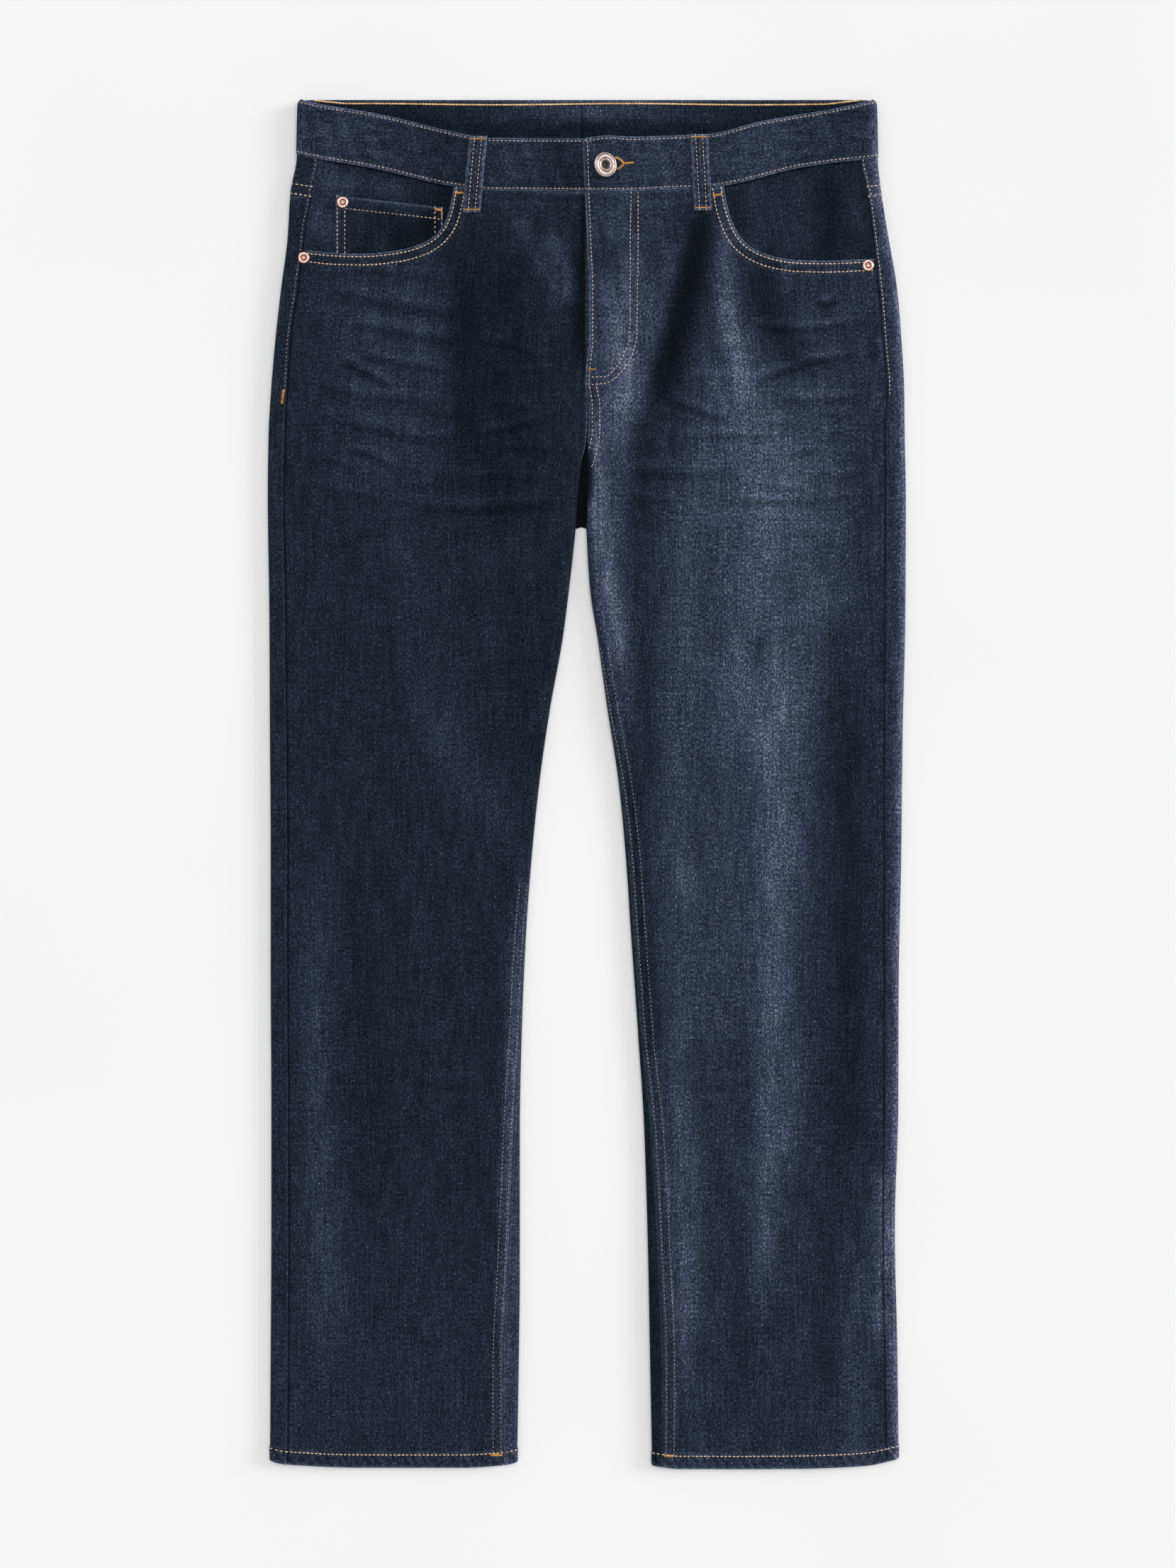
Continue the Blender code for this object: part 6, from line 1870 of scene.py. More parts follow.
@dataclass
class BeltLoop:
    """A belt loop: a strip with a rolled edge along each side, sewn down at both ends."""

    node: str
    x_top: float
    y_top: float
    lean: float = 0.0
    frayed_lit_edge: bool = False
    rows: int = 40
    bars: tuple[float, float] = (0.0022, 0.0575)  # the bartacks, from the upper end
    roll: float = 0.00022  # how far its rolled edges stand out, and its rows of stitches lie in
    bar_press: float = 0.00040

    def strip(self) -> tuple[Array, Array, Array, Array]:
        """x, y, and how far each point is from the middle and from the upper end."""
        width = even_places(LOOP_WIDTH, EDGE_STEPS, LOOP_WIDTH / 12, EDGE_STEPS)
        near_end = (0.0, 0.0004, 0.0010)
        length = even_places(LOOP_LENGTH, near_end, LOOP_LENGTH / self.rows, near_end)
        across, down = np.meshgrid(width - LOOP_WIDTH / 2, length)
        uneven = 0.0003 * np.sin(190 * down + 1.0) * np.sign(across) * (np.abs(across) > LOOP_WIDTH * 0.4)
        x = self.x_top + self.lean * down / LOOP_LENGTH + across + uneven * 0.5
        return x, self.y_top - down, across, down

    def make(self, seat: Array, upward: float, denim: Material, seats: Sequence[str] = ()) -> Cut:
        """Makes the loop on the heights that it stands on.

        Args:
            seat: height of its near face.
            upward: 1 over the front, -1 on the underside.
            denim: its finish.
            seats: the names of what it stands on.

        Returns:
            The loop as a cut.
        """
        x, y, across, down = self.strip()
        rolls = bump(np.abs(across) - LOOP_WIDTH * 0.36, 0.0015)
        sewn = bump(np.abs(across) - LOOP_ROW, 0.0009)
        pressed = sum(bump(down - bar, 0.0016) for bar in self.bars)
        edge = np.minimum.reduce([LOOP_WIDTH / 2 - np.abs(across), down, LOOP_LENGTH - down])
        edge = np.clip(edge, 0.0, None)
        rise = self.roll * rolls - self.roll * sewn - self.bar_press * np.minimum(pressed, 1.0)
        thin = pinch(edge, LOOP_THICKNESS)
        outer = seat + upward * (LOOP_THICKNESS + rise - thin)
        inner = seat + upward * thin * 0.5
        if upward < 0:
            outer = np.maximum(outer, 0.00002)
        outside = joined(x, y, outer)
        inside = joined(x, y, inner)
        # The rolled edges are lighter where they are worn; the pressed rows of stitches are darker, as
        # painted shade in their grooves.
        tone = (0.47 if self.frayed_lit_edge else 0.50) + 0.13 * rolls + 0.07 * bump(across, 0.0014)
        tone = tone - 0.13 * sewn + 0.06 * pucker(down, 0.0093, 0.4)
        worn = edge_wear(edge, down, 0.9)
        # the right edge of one loop: worn through by fraying, and lighter still as a painted highlight where
        # the side light catches it
        if self.frayed_lit_edge:
            worn = np.maximum(worn, 1.0 * bump(LOOP_WIDTH / 2 - across, 0.0013) * (down > 0.004))
        cloth = joined(across, -down)
        wall = Wall(outside, inside, cloth, tone, worn)
        return wall.make(self.node.replace("loop", "belt_loop"), self.node, denim, seats)

    def build_front(self, surface: Surface, seats: Sequence[str], denim: Material) -> Cut:
        """Makes a loop that arches over the front of the band.

        Args:
            surface: what it stands on.
            seats: the names of that.
            denim: its finish.

        Returns:
            The loop as a cut.
        """
        x, y, _, down = self.strip()
        row_heights = surface.clear_heights(x, y, LOOP_REACH).max(axis=1)
        smooth = np.convolve(np.pad(row_heights, 3, mode="edge"), np.ones(7) / 7, mode="valid")
        arch = LOOP_ARCH * np.sin(math.pi * np.clip(down / LOOP_LENGTH, 0, 1))
        seat = np.maximum(row_heights, smooth)[:, None] + SEAM_GAP * 0.6 + arch
        return self.make(seat, 1.0, denim, seats)

    def build_back(self, denim: Material) -> Cut:
        """Makes a loop that lies on the surface, under the band."""
        return self.make(np.full(self.strip()[0].shape, LOOP_THICKNESS), -1.0, denim)


# ---------------------------------------------------------------- metal pieces
def turned_object(
    name: str,
    profile: Sequence[Point2],
    radius: float,
    segments: int,
    shape: Callable[[Array, Array, Array], Array],
    recess: Callable[[Array, Array], Array],
    finish: Material,
) -> Thing:
    """A closed turned piece with a smooth profile.

    Args:
        name: the object's name.
        profile: from the axis below to the axis above, shares of the radius with their heights.
        radius: what a share of 1 stands for.
        segments: how many sides it has.
        shape: turns share, angle and height into points.
        recess: how much dirt lies at a share and a height.
        finish: its material.

    Returns:
        The object.
    """
    shares, heights = np.array(profile).T
    angles = spread(0.0, 2 * math.pi, segments)[:-1]
    share, angle = np.meshgrid(shares, angles, indexing="ij")
    height = np.repeat(heights[:, None], segments, axis=1)
    points = shape(share * radius, angle, height).reshape(-1, 3)
    low = np.arange(len(points)).reshape(-1, segments)
    cells = joined(low[:-1], np.roll(low, -1, 1)[:-1], np.roll(low, -1, 1)[1:], low[1:])
    faces = [*cells.reshape(-1, 4).tolist(), low[0, ::-1].tolist(), low[-1].tolist()]
    mesh = bpy.data.meshes.new(name)
    mesh.from_pydata(points.tolist(), [], faces)
    attribute = mesh.attributes.new("recess", "FLOAT", "POINT")
    attribute.data.foreach_set("value", recess(share, height).astype(np.float32).ravel())
    mesh.materials.append(finish)
    mesh.shade_smooth()
    mesh.update()
    return placed(name, mesh)


POLE = 0.004  # the share at which a turned piece is closed by a small disc


@dataclass
class Button:
    """The jeans button: a cap with a beaded ring and a stepped hollow, tilted on its neck."""

    segments: int = 96
    beads: int = 48
    bead_rise: float = 0.00012
    profile: tuple[Point2, ...] = (
        (POLE, -BUTTON_STAND), (0.33, -BUTTON_STAND), (0.343, -BUTTON_STAND + 0.0002), (0.343, -0.0003),
        (0.38, 0.0), (0.80, 0.0), (0.90, 0.0003), (0.965, 0.0008), (1.0, 0.0013), (0.99, 0.0018),
        (0.955, 0.0022), (0.905, 0.00245), (0.865, 0.0024), (0.835, 0.0021), (0.815, 0.0019),
        (0.79, 0.0019), (0.765, 0.0020), (0.735, 0.0020), (0.705, 0.0020), (0.675, 0.0020), (0.645, 0.0020),
        (0.615, 0.0019), (0.585, 0.0018), (0.55, 0.0018), (0.51, 0.0020), (0.47, 0.0023), (0.43, 0.0024),
        (0.395, 0.0023), (0.37, 0.0020), (0.355, 0.0014), (0.345, 0.0010), (0.31, 0.0009), (0.275, 0.0008),
        (0.262, 0.0003), (0.255, -0.0006), (0.22, -0.0009), (0.16, -0.0006), (0.09, -0.0003),
        (POLE, -0.0002),
    )

    def build(self, bands: Sequence[Thing], metal: Material) -> Thing:
        """Makes the button on the waistband.

        Args:
            bands: the two halves of the waistband.
            metal: its finish.

        Returns:
            The button.
        """
        seat = Surface(bands).height(*BUTTON_AT)
        centre = np.array([BUTTON_AT.x, BUTTON_AT.y, seat + SEAM_GAP + BUTTON_STAND - 0.0003])

        def shape(radius: Array, angle: Array, height: Array) -> Array:
            """Points of the cap and the neck: beads along its ring, and the cap tilted."""
            share = radius / (BUTTON_DIAMETER / 2)
            ring = smooth_step(0.60, 0.66, share) * smooth_step(-0.79, -0.73, -share) * (height > 0.001)
            height = height + self.bead_rise * ring * np.cos(self.beads * angle)
            tilt = BUTTON_TILT * smooth_step(-0.0030, -0.0010, height)
            x, y = radius * np.cos(angle), radius * np.sin(angle)
            turned_x = x * np.cos(tilt) + height * np.sin(tilt)
            turned_z = height * np.cos(tilt) - x * np.sin(tilt)
            return joined(turned_x, y, turned_z) + centre

        def recess(share: Array, height: Array) -> Array:
            """How dark its hollow and its two grooves are."""
            inside = smooth_step(0.40, 0.30, share) * (height > -0.001)
            groove = bump(share - 0.81, 0.025) + bump(share - 0.57, 0.030)
            return np.clip(np.maximum(inside, 0.75 * groove * (height > 0.0010)), 0.0, 1.0)

        radius = BUTTON_DIAMETER / 2
        cap = turned_object("jeans_button", self.profile, radius, self.segments, shape, recess, metal)
        return dress(cap, "button", Slot.BUTTON)


@dataclass
class Rivet:
    """A rivet: a low dome with a raised ring and a dimple."""

    node: str
    at: Mark
    turn: float = 0.0
    segments: int = 48
    profile: tuple[Point2, ...] = (
        (POLE, -0.0006), (0.90, -0.0006), (0.965, 0.0), (1.0, 0.0004), (0.985, 0.0007), (0.93, 0.00095),
        (0.86, 0.0011), (0.78, 0.00118), (0.70, 0.0012), (0.62, 0.00115), (0.55, 0.0010), (0.49, 0.00078),
        (0.43, 0.00068), (0.35, 0.00070), (0.26, 0.00084), (0.18, 0.00100), (0.10, 0.00108),
        (POLE, 0.00110),
    )

    def build(self, seats: Sequence[Thing], metal: Material) -> Thing:
        """Makes the rivet, pressed a little into the cloth.

        Args:
            seats: the pieces that it is set in.
            metal: its finish.

        Returns:
            The rivet.
        """
        radius = RIVET_DIAMETER / 2
        surface = Surface(seats)
        around = spread(0.0, 2 * math.pi, 8)[1:]
        seat = max(surface.heights(self.at.x + radius * np.cos(around), self.at.y + radius * np.sin(around)))
        centre = np.array([self.at.x, self.at.y, seat + 0.00005])

        def shape(reach: Array, angle: Array, height: Array) -> Array:
            """Points of the dome, which is a little uneven."""
            uneven = 1 + 0.012 * np.sin(3 * angle + self.turn) + 0.008 * np.sin(7 * angle - self.turn)
            dent = 0.00005 * np.sin(2 * angle + self.turn) * (reach / radius)
            x, y = reach * uneven * np.cos(angle), reach * uneven * np.sin(angle)
            return joined(x, y, height + dent) + centre

        def recess(share: Array, height: Array) -> Array:
            """How dark its inner groove and its rim are."""
            return np.clip(bump(share - 0.44, 0.10) + 0.6 * smooth_step(0.93, 1.0, share), 0.0, 1.0)

        cap = turned_object(self.node + "_cap", self.profile, radius, self.segments, shape, recess, metal)
        return dress(cap, self.node, Slot.RIVET)


RIVETS = (
    Rivet("rivet_coin", RIVET_COIN_AT, 0.3),
    Rivet("rivet_pocket_right", RIVET_RIGHT_AT, 1.9),
    Rivet("rivet_pocket_left", RIVET_LEFT_AT, 4.2),
)


# ---------------------------------------------------------------- node trees
Colour = tuple[float, float, float, float]
Socket = bpy.types.NodeSocket
Value = Socket | float | str | tuple
Given = dict[int | str, Value]
Inputs = dict[str, tuple[str, float | None]]
Point3 = tuple[float, float, float]


def linear(red: float, green: float, blue: float) -> Colour:
    """A colour as it is shown, from 0 to 255, as the shader's linear colour."""

    def channel(value: float) -> float:
        """The linear value of one channel."""
        share = value / 255
        return share / 12.92 if share <= 0.04045 else ((share + 0.055) / 1.055) ** 2.4

    return channel(red), channel(green), channel(blue), 1.0


@dataclass
class Board:
    """A shader tree that nodes are laid out in."""

    tree: bpy.types.NodeTree

    def fill(self, node: bpy.types.Node, given: Given) -> bpy.types.Node:
        """Links or sets a node's inputs.

        Args:
            node: the node.
            given: by the number or name of an input: another node's output, or a value.

        Returns:
            The node.
        """
        for key, value in given.items():
            if isinstance(value, bpy.types.NodeSocket):
                self.tree.links.new(value, node.inputs[key])
            else:
                node.inputs[key].default_value = value
        return node

    def node(self, kind: str, given: Given | None = None, **settings: object) -> bpy.types.Node:
        """Adds a node.

        Args:
            kind: the node's type.
            given: what its inputs get, as for fill.
            settings: its settings by name.

        Returns:
            The node.
        """
        node = self.tree.nodes.new(kind)
        for key, value in settings.items():
            setattr(node, key, value)
        return self.fill(node, given or {})

    def out(self, kind: str, given: Given | None = None, **settings: object) -> Socket:
        """The first output of a new node."""
        return self.node(kind, given, **settings).outputs[0]

    def math(self, operation: str, first: Value, second: Value = 0.0) -> Socket:
        """The result of a Math node."""
        return self.out("ShaderNodeMath", {0: first, 1: second}, operation=operation)

    def times(self, first: Value, second: Value) -> Socket:
        """The product of two values."""
        return self.math("MULTIPLY", first, second)

    def total(self, *parts: Socket | float) -> Socket:
        """The sum of some parts."""
        result = parts[0]
        for part in parts[1:]:
            result = self.math("ADD", result, part)
        return result

    def about(self, value: Socket, middle: float, strength: Socket | float) -> Socket:
        """How far a value is from its middle, times a strength."""
        return self.times(self.math("SUBTRACT", value, middle), strength)

    def noise(self, vector: Socket, scale: Point3, detail: float = 2.0, rough: float = 0.5) -> Socket:
        """Noise from 0 to 1, with so many lumps to the metre along each axis."""
        scaled = self.out("ShaderNodeVectorMath", {0: vector, 1: scale}, operation="MULTIPLY")
        given = {"Vector": scaled, "Scale": 1.0, "Detail": detail, "Roughness": rough}
        return self.out("ShaderNodeTexNoise", given)

    def span(self, value: Value, low: float, high: float, start: float = 0.0, end: float = 1.0) -> Socket:
        """A value mapped from one span to another, and held to it."""
        return self.out("ShaderNodeMapRange", {0: value, 1: low, 2: high, 3: start, 4: end})

    def ramp(self, value: Socket, stops: Sequence[tuple[float, Colour]]) -> Socket:
        """A colour for each value, from stops."""
        node = self.node("ShaderNodeValToRGB", {0: value})
        elements = node.color_ramp.elements
        while len(elements) < len(stops):
            elements.new(0.5)
        for element, (place, colour) in zip(elements, stops):
            element.position = place
            element.color = colour
        return node.outputs[0]

    def blend(self, share: Socket, first: Socket, second: Colour) -> Socket:
        """A colour that goes from one to another."""
        return self.node("ShaderNodeMix", {0: share, 6: first, 7: second}, data_type="RGBA").outputs[2]

    def relief(self, height: Socket, distance: float, strength: float = 1.0) -> Socket:
        """A normal from a height that goes from 0 to 1 over a distance."""
        return self.out("ShaderNodeBump", {"Strength": strength, "Distance": distance, "Height": height})

    def attribute(self, name: str) -> Socket:
        """A piece's own number."""
        return self.node("ShaderNodeAttribute", attribute_name=name).outputs["Fac"]


def new_tree(name: str, kind: str, inputs: Inputs, outputs: dict[str, str]) -> Board:
    """An empty node group on a board.

    Args:
        name: its name.
        kind: the type of tree.
        inputs: the kind of socket and the value of each input; None where it has no value.
        outputs: the kind of socket of each output.

    Returns:
        The board.
    """
    tree = bpy.data.node_groups.new(name, kind)
    for title, (socket, value) in inputs.items():
        added = tree.interface.new_socket(name=title, in_out="INPUT", socket_type=f"NodeSocket{socket}")
        if value is not None:
            added.default_value = value
    for title, socket in outputs.items():
        tree.interface.new_socket(name=title, in_out="OUTPUT", socket_type=f"NodeSocket{socket}")
    return Board(tree)


# ---------------------------------------------------------------- sewing
THREAD_LIFT = 0.00006  # the middle of a stitch above the cloth, which is pressed in there
STITCH_SIZES = ("Pitch", "Across", "Rise", "Along", "Wobble")


class StitchKind(Enum):
    """How a row is sewn: its pitch, its thread's size across, up and along, and its wobble."""

    TOPSTITCH = (0.00320, 0.00080, 0.00056, 0.00215, 0.12)
    BRIGHT = (0.00320, 0.00096, 0.00064, 0.00240, 0.12)
    SEAM = (0.00320, 0.00068, 0.00046, 0.00190, 0.12)
    EYELET = (0.00050, 0.00205, 0.00070, 0.00052, 0.14)
    BARTACK = (0.00042, 0.00230, 0.00060, 0.00044, 0.10)
    NARROW_TACK = (0.00040, 0.00130, 0.00055, 0.00042, 0.12)
    CHAIN = (0.00260, 0.00150, 0.00075, 0.00310, 0.10)
    # not sewn: dark beads that paint the shade in a buttonhole's slit
    SLIT = (0.00200, 0.00150, 0.00040, 0.00300, 0.0)


@dataclass
class Sewing:
    """Rows of stitches, each a line of points on the finished cloth."""

    name: str
    kind: StitchKind
    seed: int = 1  # the start of its random draws
    lines: list[Array] = field(default_factory=list)

    def on(self, surface: Surface, corners: Sequence[Point2], lift: float, from_above: bool) -> None:
        """Adds a row along corners seen from above, on a surface.

        Args:
            surface: the cloth that it is sewn on.
            corners: points of a smooth path.
            lift: how far its middle lies outside the cloth.
            from_above: False on the underside.
        """
        path = smooth_path(corners)
        points = []
        for x, y in path:
            z = surface.height(float(x), float(y), from_above)
            if z is not None:
                points.append((x, y, z + (lift if from_above else -lift)))
        if len(points) > 1:
            self.lines.append(np.array(points))

    def build(self, thread: Material) -> Thing:
        """Sews all rows.

        Args:
            thread: the finish.

        Returns:
            One plain mesh of all stitches.
        """
        points = np.concatenate(self.lines)
        edges = []
        start = 0
        for line in self.lines:
            edges += [(start + k, start + k + 1) for k in range(len(line) - 1)]
            start += len(line)
        rows = bpy.data.meshes.new(f"{self.name}_rows")
        rows.from_pydata(points.tolist(), edges, [])
        host = placed(rows.name, rows)
        tree = stitch_tree()
        modifier = host.modifiers.new("stitches", "NODES")
        modifier.node_group = tree
        values = {**dict(zip(STITCH_SIZES, self.kind.value)), "Seed": self.seed, "Thread": thread}
        for item in tree.interface.items_tree:
            if item.item_type == "SOCKET" and item.in_out == "INPUT" and item.name in values:
                modifier[item.identifier] = values[item.name]
        bpy.context.view_layer.update()
        graph = bpy.context.evaluated_depsgraph_get()
        mesh = bpy.data.meshes.new_from_object(host.evaluated_get(graph))
        mesh.name = self.name
        bpy.data.objects.remove(host, do_unlink=True)
        thing = placed(self.name, mesh)
        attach(thing, ROOT)
        LOG.info("%s: %d rows, %d faces", self.name, len(self.lines), len(mesh.polygons))
        return thing


def smooth_path(corners: Sequence[Point2], step: float = 0.0012) -> Array:
    """Closely spaced points on a smooth line through corners."""
    knots = np.array(corners, dtype=float)
    if len(knots) == 2:
        count = max(2, round(float(np.hypot(*(knots[1] - knots[0]))) / step))
        return knots[0] + (knots[1] - knots[0]) * spread(0.0, 1.0, count)[:, None]
    lengths = np.concatenate([[0.0], np.cumsum(np.hypot(*np.diff(knots, axis=0).T))])
    places = spread(0.0, lengths[-1], max(2, round(lengths[-1] / step)))
    return joined(Curve(lengths, knots[:, 0])(places), Curve(lengths, knots[:, 1])(places))


def beside(path: Array, offset: float) -> Array:
    """A path moved to its left by an offset, seen from above."""
    way = np.gradient(path[:, :2], axis=0)
    way /= np.hypot(way[:, 0], way[:, 1])[:, None]
    return path[:, :2] + offset * joined(-way[:, 1], way[:, 0])


def stitch_tree() -> bpy.types.NodeTree:
    """The node tree that sets one thread at every pitch along a row; built once."""
    if "stitch_row" in bpy.data.node_groups:
        return bpy.data.node_groups["stitch_row"]
    inputs = {name: ("Float", 0.001) for name in STITCH_SIZES}
    inputs = {"Geometry": ("Geometry", None), **inputs, "Seed": ("Int", 1), "Thread": ("Material", None)}
    board = new_tree("stitch_row", "GeometryNodeTree", inputs, {"Geometry": "Geometry"})
    given = board.node("NodeGroupInput").outputs
    curve = board.out("GeometryNodeMeshToCurve", {"Mesh": given["Geometry"]})
    level = board.out("GeometryNodeSetCurveNormal", {"Curve": curve}, mode="Z_UP")
    even = board.out("GeometryNodeResampleCurve", {"Curve": level, "Length": given["Pitch"]}, mode="LENGTH")
    points = board.node("GeometryNodeCurveToPoints", {"Curve": even}, mode="EVALUATED").outputs
    bead = board.node("GeometryNodeMeshUVSphere", {"Segments": 6, "Rings": 5, "Radius": 0.5}).outputs
    marked = board.out(
        "GeometryNodeStoreNamedAttribute",
        {"Geometry": bead["Mesh"], "Name": "UVMap", "Value": bead["UV Map"]},
        data_type="FLOAT2",
        domain="CORNER",
    )
    drawn = [
        board.node("FunctionNodeRandomValue", {"Seed": given["Seed"], **limits}, data_type="FLOAT").outputs[1]
        for limits in ({2: 0.86, 3: 1.10}, {2: -1.0})
    ]
    longer = board.times(given["Along"], drawn[0])
    scale = board.out("ShaderNodeCombineXYZ", {"X": given["Across"], "Y": given["Rise"], "Z": longer})
    lean = board.out("ShaderNodeCombineXYZ", {"Y": board.times(drawn[1], given["Wobble"])})
    rotation = board.out(
        "FunctionNodeRotateRotation",
        {"Rotation": points["Rotation"], "Rotate By": board.out("FunctionNodeEulerToRotation", {0: lean})},
        rotation_space="LOCAL",
    )
    beads = {"Points": points["Points"], "Instance": marked, "Rotation": rotation, "Scale": scale}
    real = board.out("GeometryNodeRealizeInstances", {0: board.out("GeometryNodeInstanceOnPoints", beads)})
    smooth = board.out("GeometryNodeSetShadeSmooth", {0: real})
    finish = board.out("GeometryNodeSetMaterial", {"Geometry": smooth, "Material": given["Thread"]})
    board.node("NodeGroupOutput", {"Geometry": finish})
    return board.tree


# ---------------------------------------------------------------- finishes
def new_finish(name: str, **settings: object) -> tuple[Material, Board, bpy.types.Node]:
    """A material with a Principled shader.

    Args:
        name: the material's name.
        settings: the shader's sockets by name, with spaces as underscores.

    Returns:
        The material, its board and its shader.
    """
    material = bpy.data.materials.new(name)
    material.use_nodes = True
    board = Board(material.node_tree)
    shader = material.node_tree.nodes["Principled BSDF"]
    for key, value in settings.items():
        shader.inputs[key.replace("_", " ")].default_value = value
    return material, board, shader


ROOM_LIGHT = 1.15  # how bright the room shows a white surface that lies flat
CLOTH_GLEAM = 0.0062  # what the denim's gleam adds to its colour


def dyed(red: float, green: float, blue: float) -> Colour:
    """The dye that shows as a colour in the studio's light."""
    shown = linear(red, green, blue)[:3]
    return (*(max(part - CLOTH_GLEAM, 0.0003) / ROOM_LIGHT for part in shown), 1.0)


INDIGO = (
    (0.00, dyed(12, 15, 20)),
    (0.20, dyed(20, 27, 34)),
    (0.35, dyed(31, 38, 47)),
    (0.50, dyed(44, 51, 64)),
    (0.65, dyed(61, 68, 87)),
    (0.80, dyed(84, 91, 114)),
    (1.00, dyed(135, 140, 160)),
)
WORN_INDIGO = dyed(138, 158, 184)
YARN_MIDDLE = -0.035  # brings the middle of the grain back to the tone that is asked for
TWILL_PITCH = 0.00085  # across the wales
TWILL_RISE = 0.50  # how far a wale leans over for its length


def denim_group() -> bpy.types.NodeTree:
    """Colour, roughness and height of washed twill; built once."""
    if "washed_twill" in bpy.data.node_groups:
        return bpy.data.node_groups["washed_twill"]
    inputs = {"Cloth": ("Vector", None), "Tone": ("Float", 0.5), "Worn": ("Float", 0.0)}
    inputs |= {"Grain": ("Float", 1.0), "Slub": ("Float", 1.0)}
    outputs = {"Colour": "Color", "Roughness": "Float", "Height": "Float"}
    board = new_tree("washed_twill", "ShaderNodeTree", inputs, outputs)
    given = board.node("NodeGroupInput").outputs
    cloth = given["Cloth"]
    place_x, place_y, _ = board.node("ShaderNodeSeparateXYZ", {0: cloth}).outputs
    sway = board.about(board.noise(cloth, (260.0, 260.0, 1.0), 1.0), 0.5, 1.6)
    steep = board.times(place_y, -TWILL_RISE)
    place = board.times(board.math("ADD", place_x, steep), 2 * math.pi / TWILL_PITCH)
    wale = board.math("SINE", board.math("ADD", place, sway))
    warp = board.math("SINE", board.times(place_y, 2 * math.pi / (2.2 * TWILL_PITCH)))
    grain = board.noise(cloth, (760.0, 470.0, 1.0), 2.0, 0.7)
    slub = board.noise(cloth, (560.0, 24.0, 1.0), 2.0, 0.6)
    weft = board.noise(cloth, (30.0, 620.0, 1.0), 1.0, 0.5)
    cloud = board.noise(cloth, (46.0, 30.0, 1.0), 3.0, 0.6)
    patch = board.noise(cloth, (170.0, 120.0, 1.0), 2.0, 0.6)
    speck = board.span(board.noise(cloth, (820.0, 560.0, 1.0), 0.0), 0.66, 0.78)
    # breaks up the worn channel: worn edges, and the painted highlight on a few of them
    rubbed_and_lit = board.span(board.noise(cloth, (520.0, 520.0, 1.0), 2.0, 0.7), 0.36, 0.64, 0.10, 1.0)
    lively = board.span(given["Tone"], 0.2, 0.75, 0.85, 1.25)
    yarn = board.total(
        board.times(board.about(grain, 0.5, 1.15), given["Grain"]),
        board.times(board.about(slub, 0.5, 0.34), given["Slub"]),
        board.about(weft, 0.5, 0.14),
        board.about(cloud, 0.5, 0.13),
        board.about(patch, 0.5, 0.20),
        board.times(wale, 0.045),
        board.times(warp, 0.015),
        board.times(speck, 0.22),
        YARN_MIDDLE,
    )
    worn = board.times(given["Worn"], rubbed_and_lit)
    tone = board.total(given["Tone"], board.times(yarn, lively), board.times(worn, 0.26))
    weave = (0.5, board.times(wale, 0.22), board.about(grain, 0.5, 0.9), board.about(slub, 0.5, 0.5))
    results = {
        "Colour": board.blend(board.times(worn, 0.42), board.ramp(tone, INDIGO), WORN_INDIGO),
        "Roughness": board.span(tone, 0.2, 0.9, 0.80, 0.92),
        "Height": board.total(*weave),
    }
    board.node("NodeGroupOutput", results)
    return board.tree


@dataclass(frozen=True)
class Denim:
    """Washed denim: how strong its grain and slubs are, and how high the weave stands."""

    name: str
    grain: float = 1.0
    slub: float = 1.0
    weave_height: float = 0.00016
    sheen: float = 0.08

    def material(self) -> Material:
        """Makes the finish."""
        material, board, shader = new_finish(
            self.name,
            Specular_IOR_Level=0.08,
            Sheen_Weight=self.sheen,
            Sheen_Roughness=0.5,
            Sheen_Tint=linear(150, 160, 190),
        )
        given = {
            "Cloth": board.out("ShaderNodeUVMap", uv_map="UVMap"),
            "Tone": board.attribute("tone"),
            "Worn": board.attribute("worn"),
            "Grain": self.grain,
            "Slub": self.slub,
        }
        twill = board.node("ShaderNodeGroup", given, node_tree=denim_group()).outputs
        relief = board.relief(twill["Height"], self.weave_height)
        board.fill(shader, {"Base Color": twill["Colour"], "Roughness": twill["Roughness"], "Normal": relief})
        return material


@dataclass(frozen=True)
class Thread:
    """Sewing thread: its pale and dark colours, twisted along its length."""

    name: str
    dark: Point3
    middle: Point3
    pale: Point3
    turns: float = 5.0

    def material(self) -> Material:
        """Makes the finish."""
        material, board, shader = new_finish(
            self.name,
            Specular_IOR_Level=0.22,
            Sheen_Weight=0.12,
            Sheen_Roughness=0.5,
            Sheen_Tint=linear(255, 225, 195),
        )
        place = board.out("ShaderNodeUVMap", uv_map="UVMap")
        place_x, place_y, _ = board.node("ShaderNodeSeparateXYZ", {0: place}).outputs
        around = board.times(place_x, 2 * math.pi)
        along = board.times(place_y, 2 * math.pi * self.turns)
        twist = board.math("SINE", board.math("ADD", around, along))
        body = board.node("ShaderNodeTexCoord").outputs["Object"]
        patchy = board.noise(body, (160.0, 160.0, 160.0), 3.0, 0.6)
        fine = board.noise(body, (1500.0, 1500.0, 1500.0), 1.0, 0.5)
        shades = (board.times(twist, 0.10), board.about(patchy, 0.5, 1.1), board.about(fine, 0.5, 0.9))
        stops = ((0.12, linear(*self.dark)), (0.52, linear(*self.middle)), (0.88, linear(*self.pale)))
        given = {
            "Base Color": board.ramp(board.total(0.52, *shades), stops),
            "Roughness": board.span(patchy, 0.3, 0.7, 0.55, 0.75),
            "Normal": board.relief(twist, 0.00005, 0.6),
        }
        board.fill(shader, given)
        return material


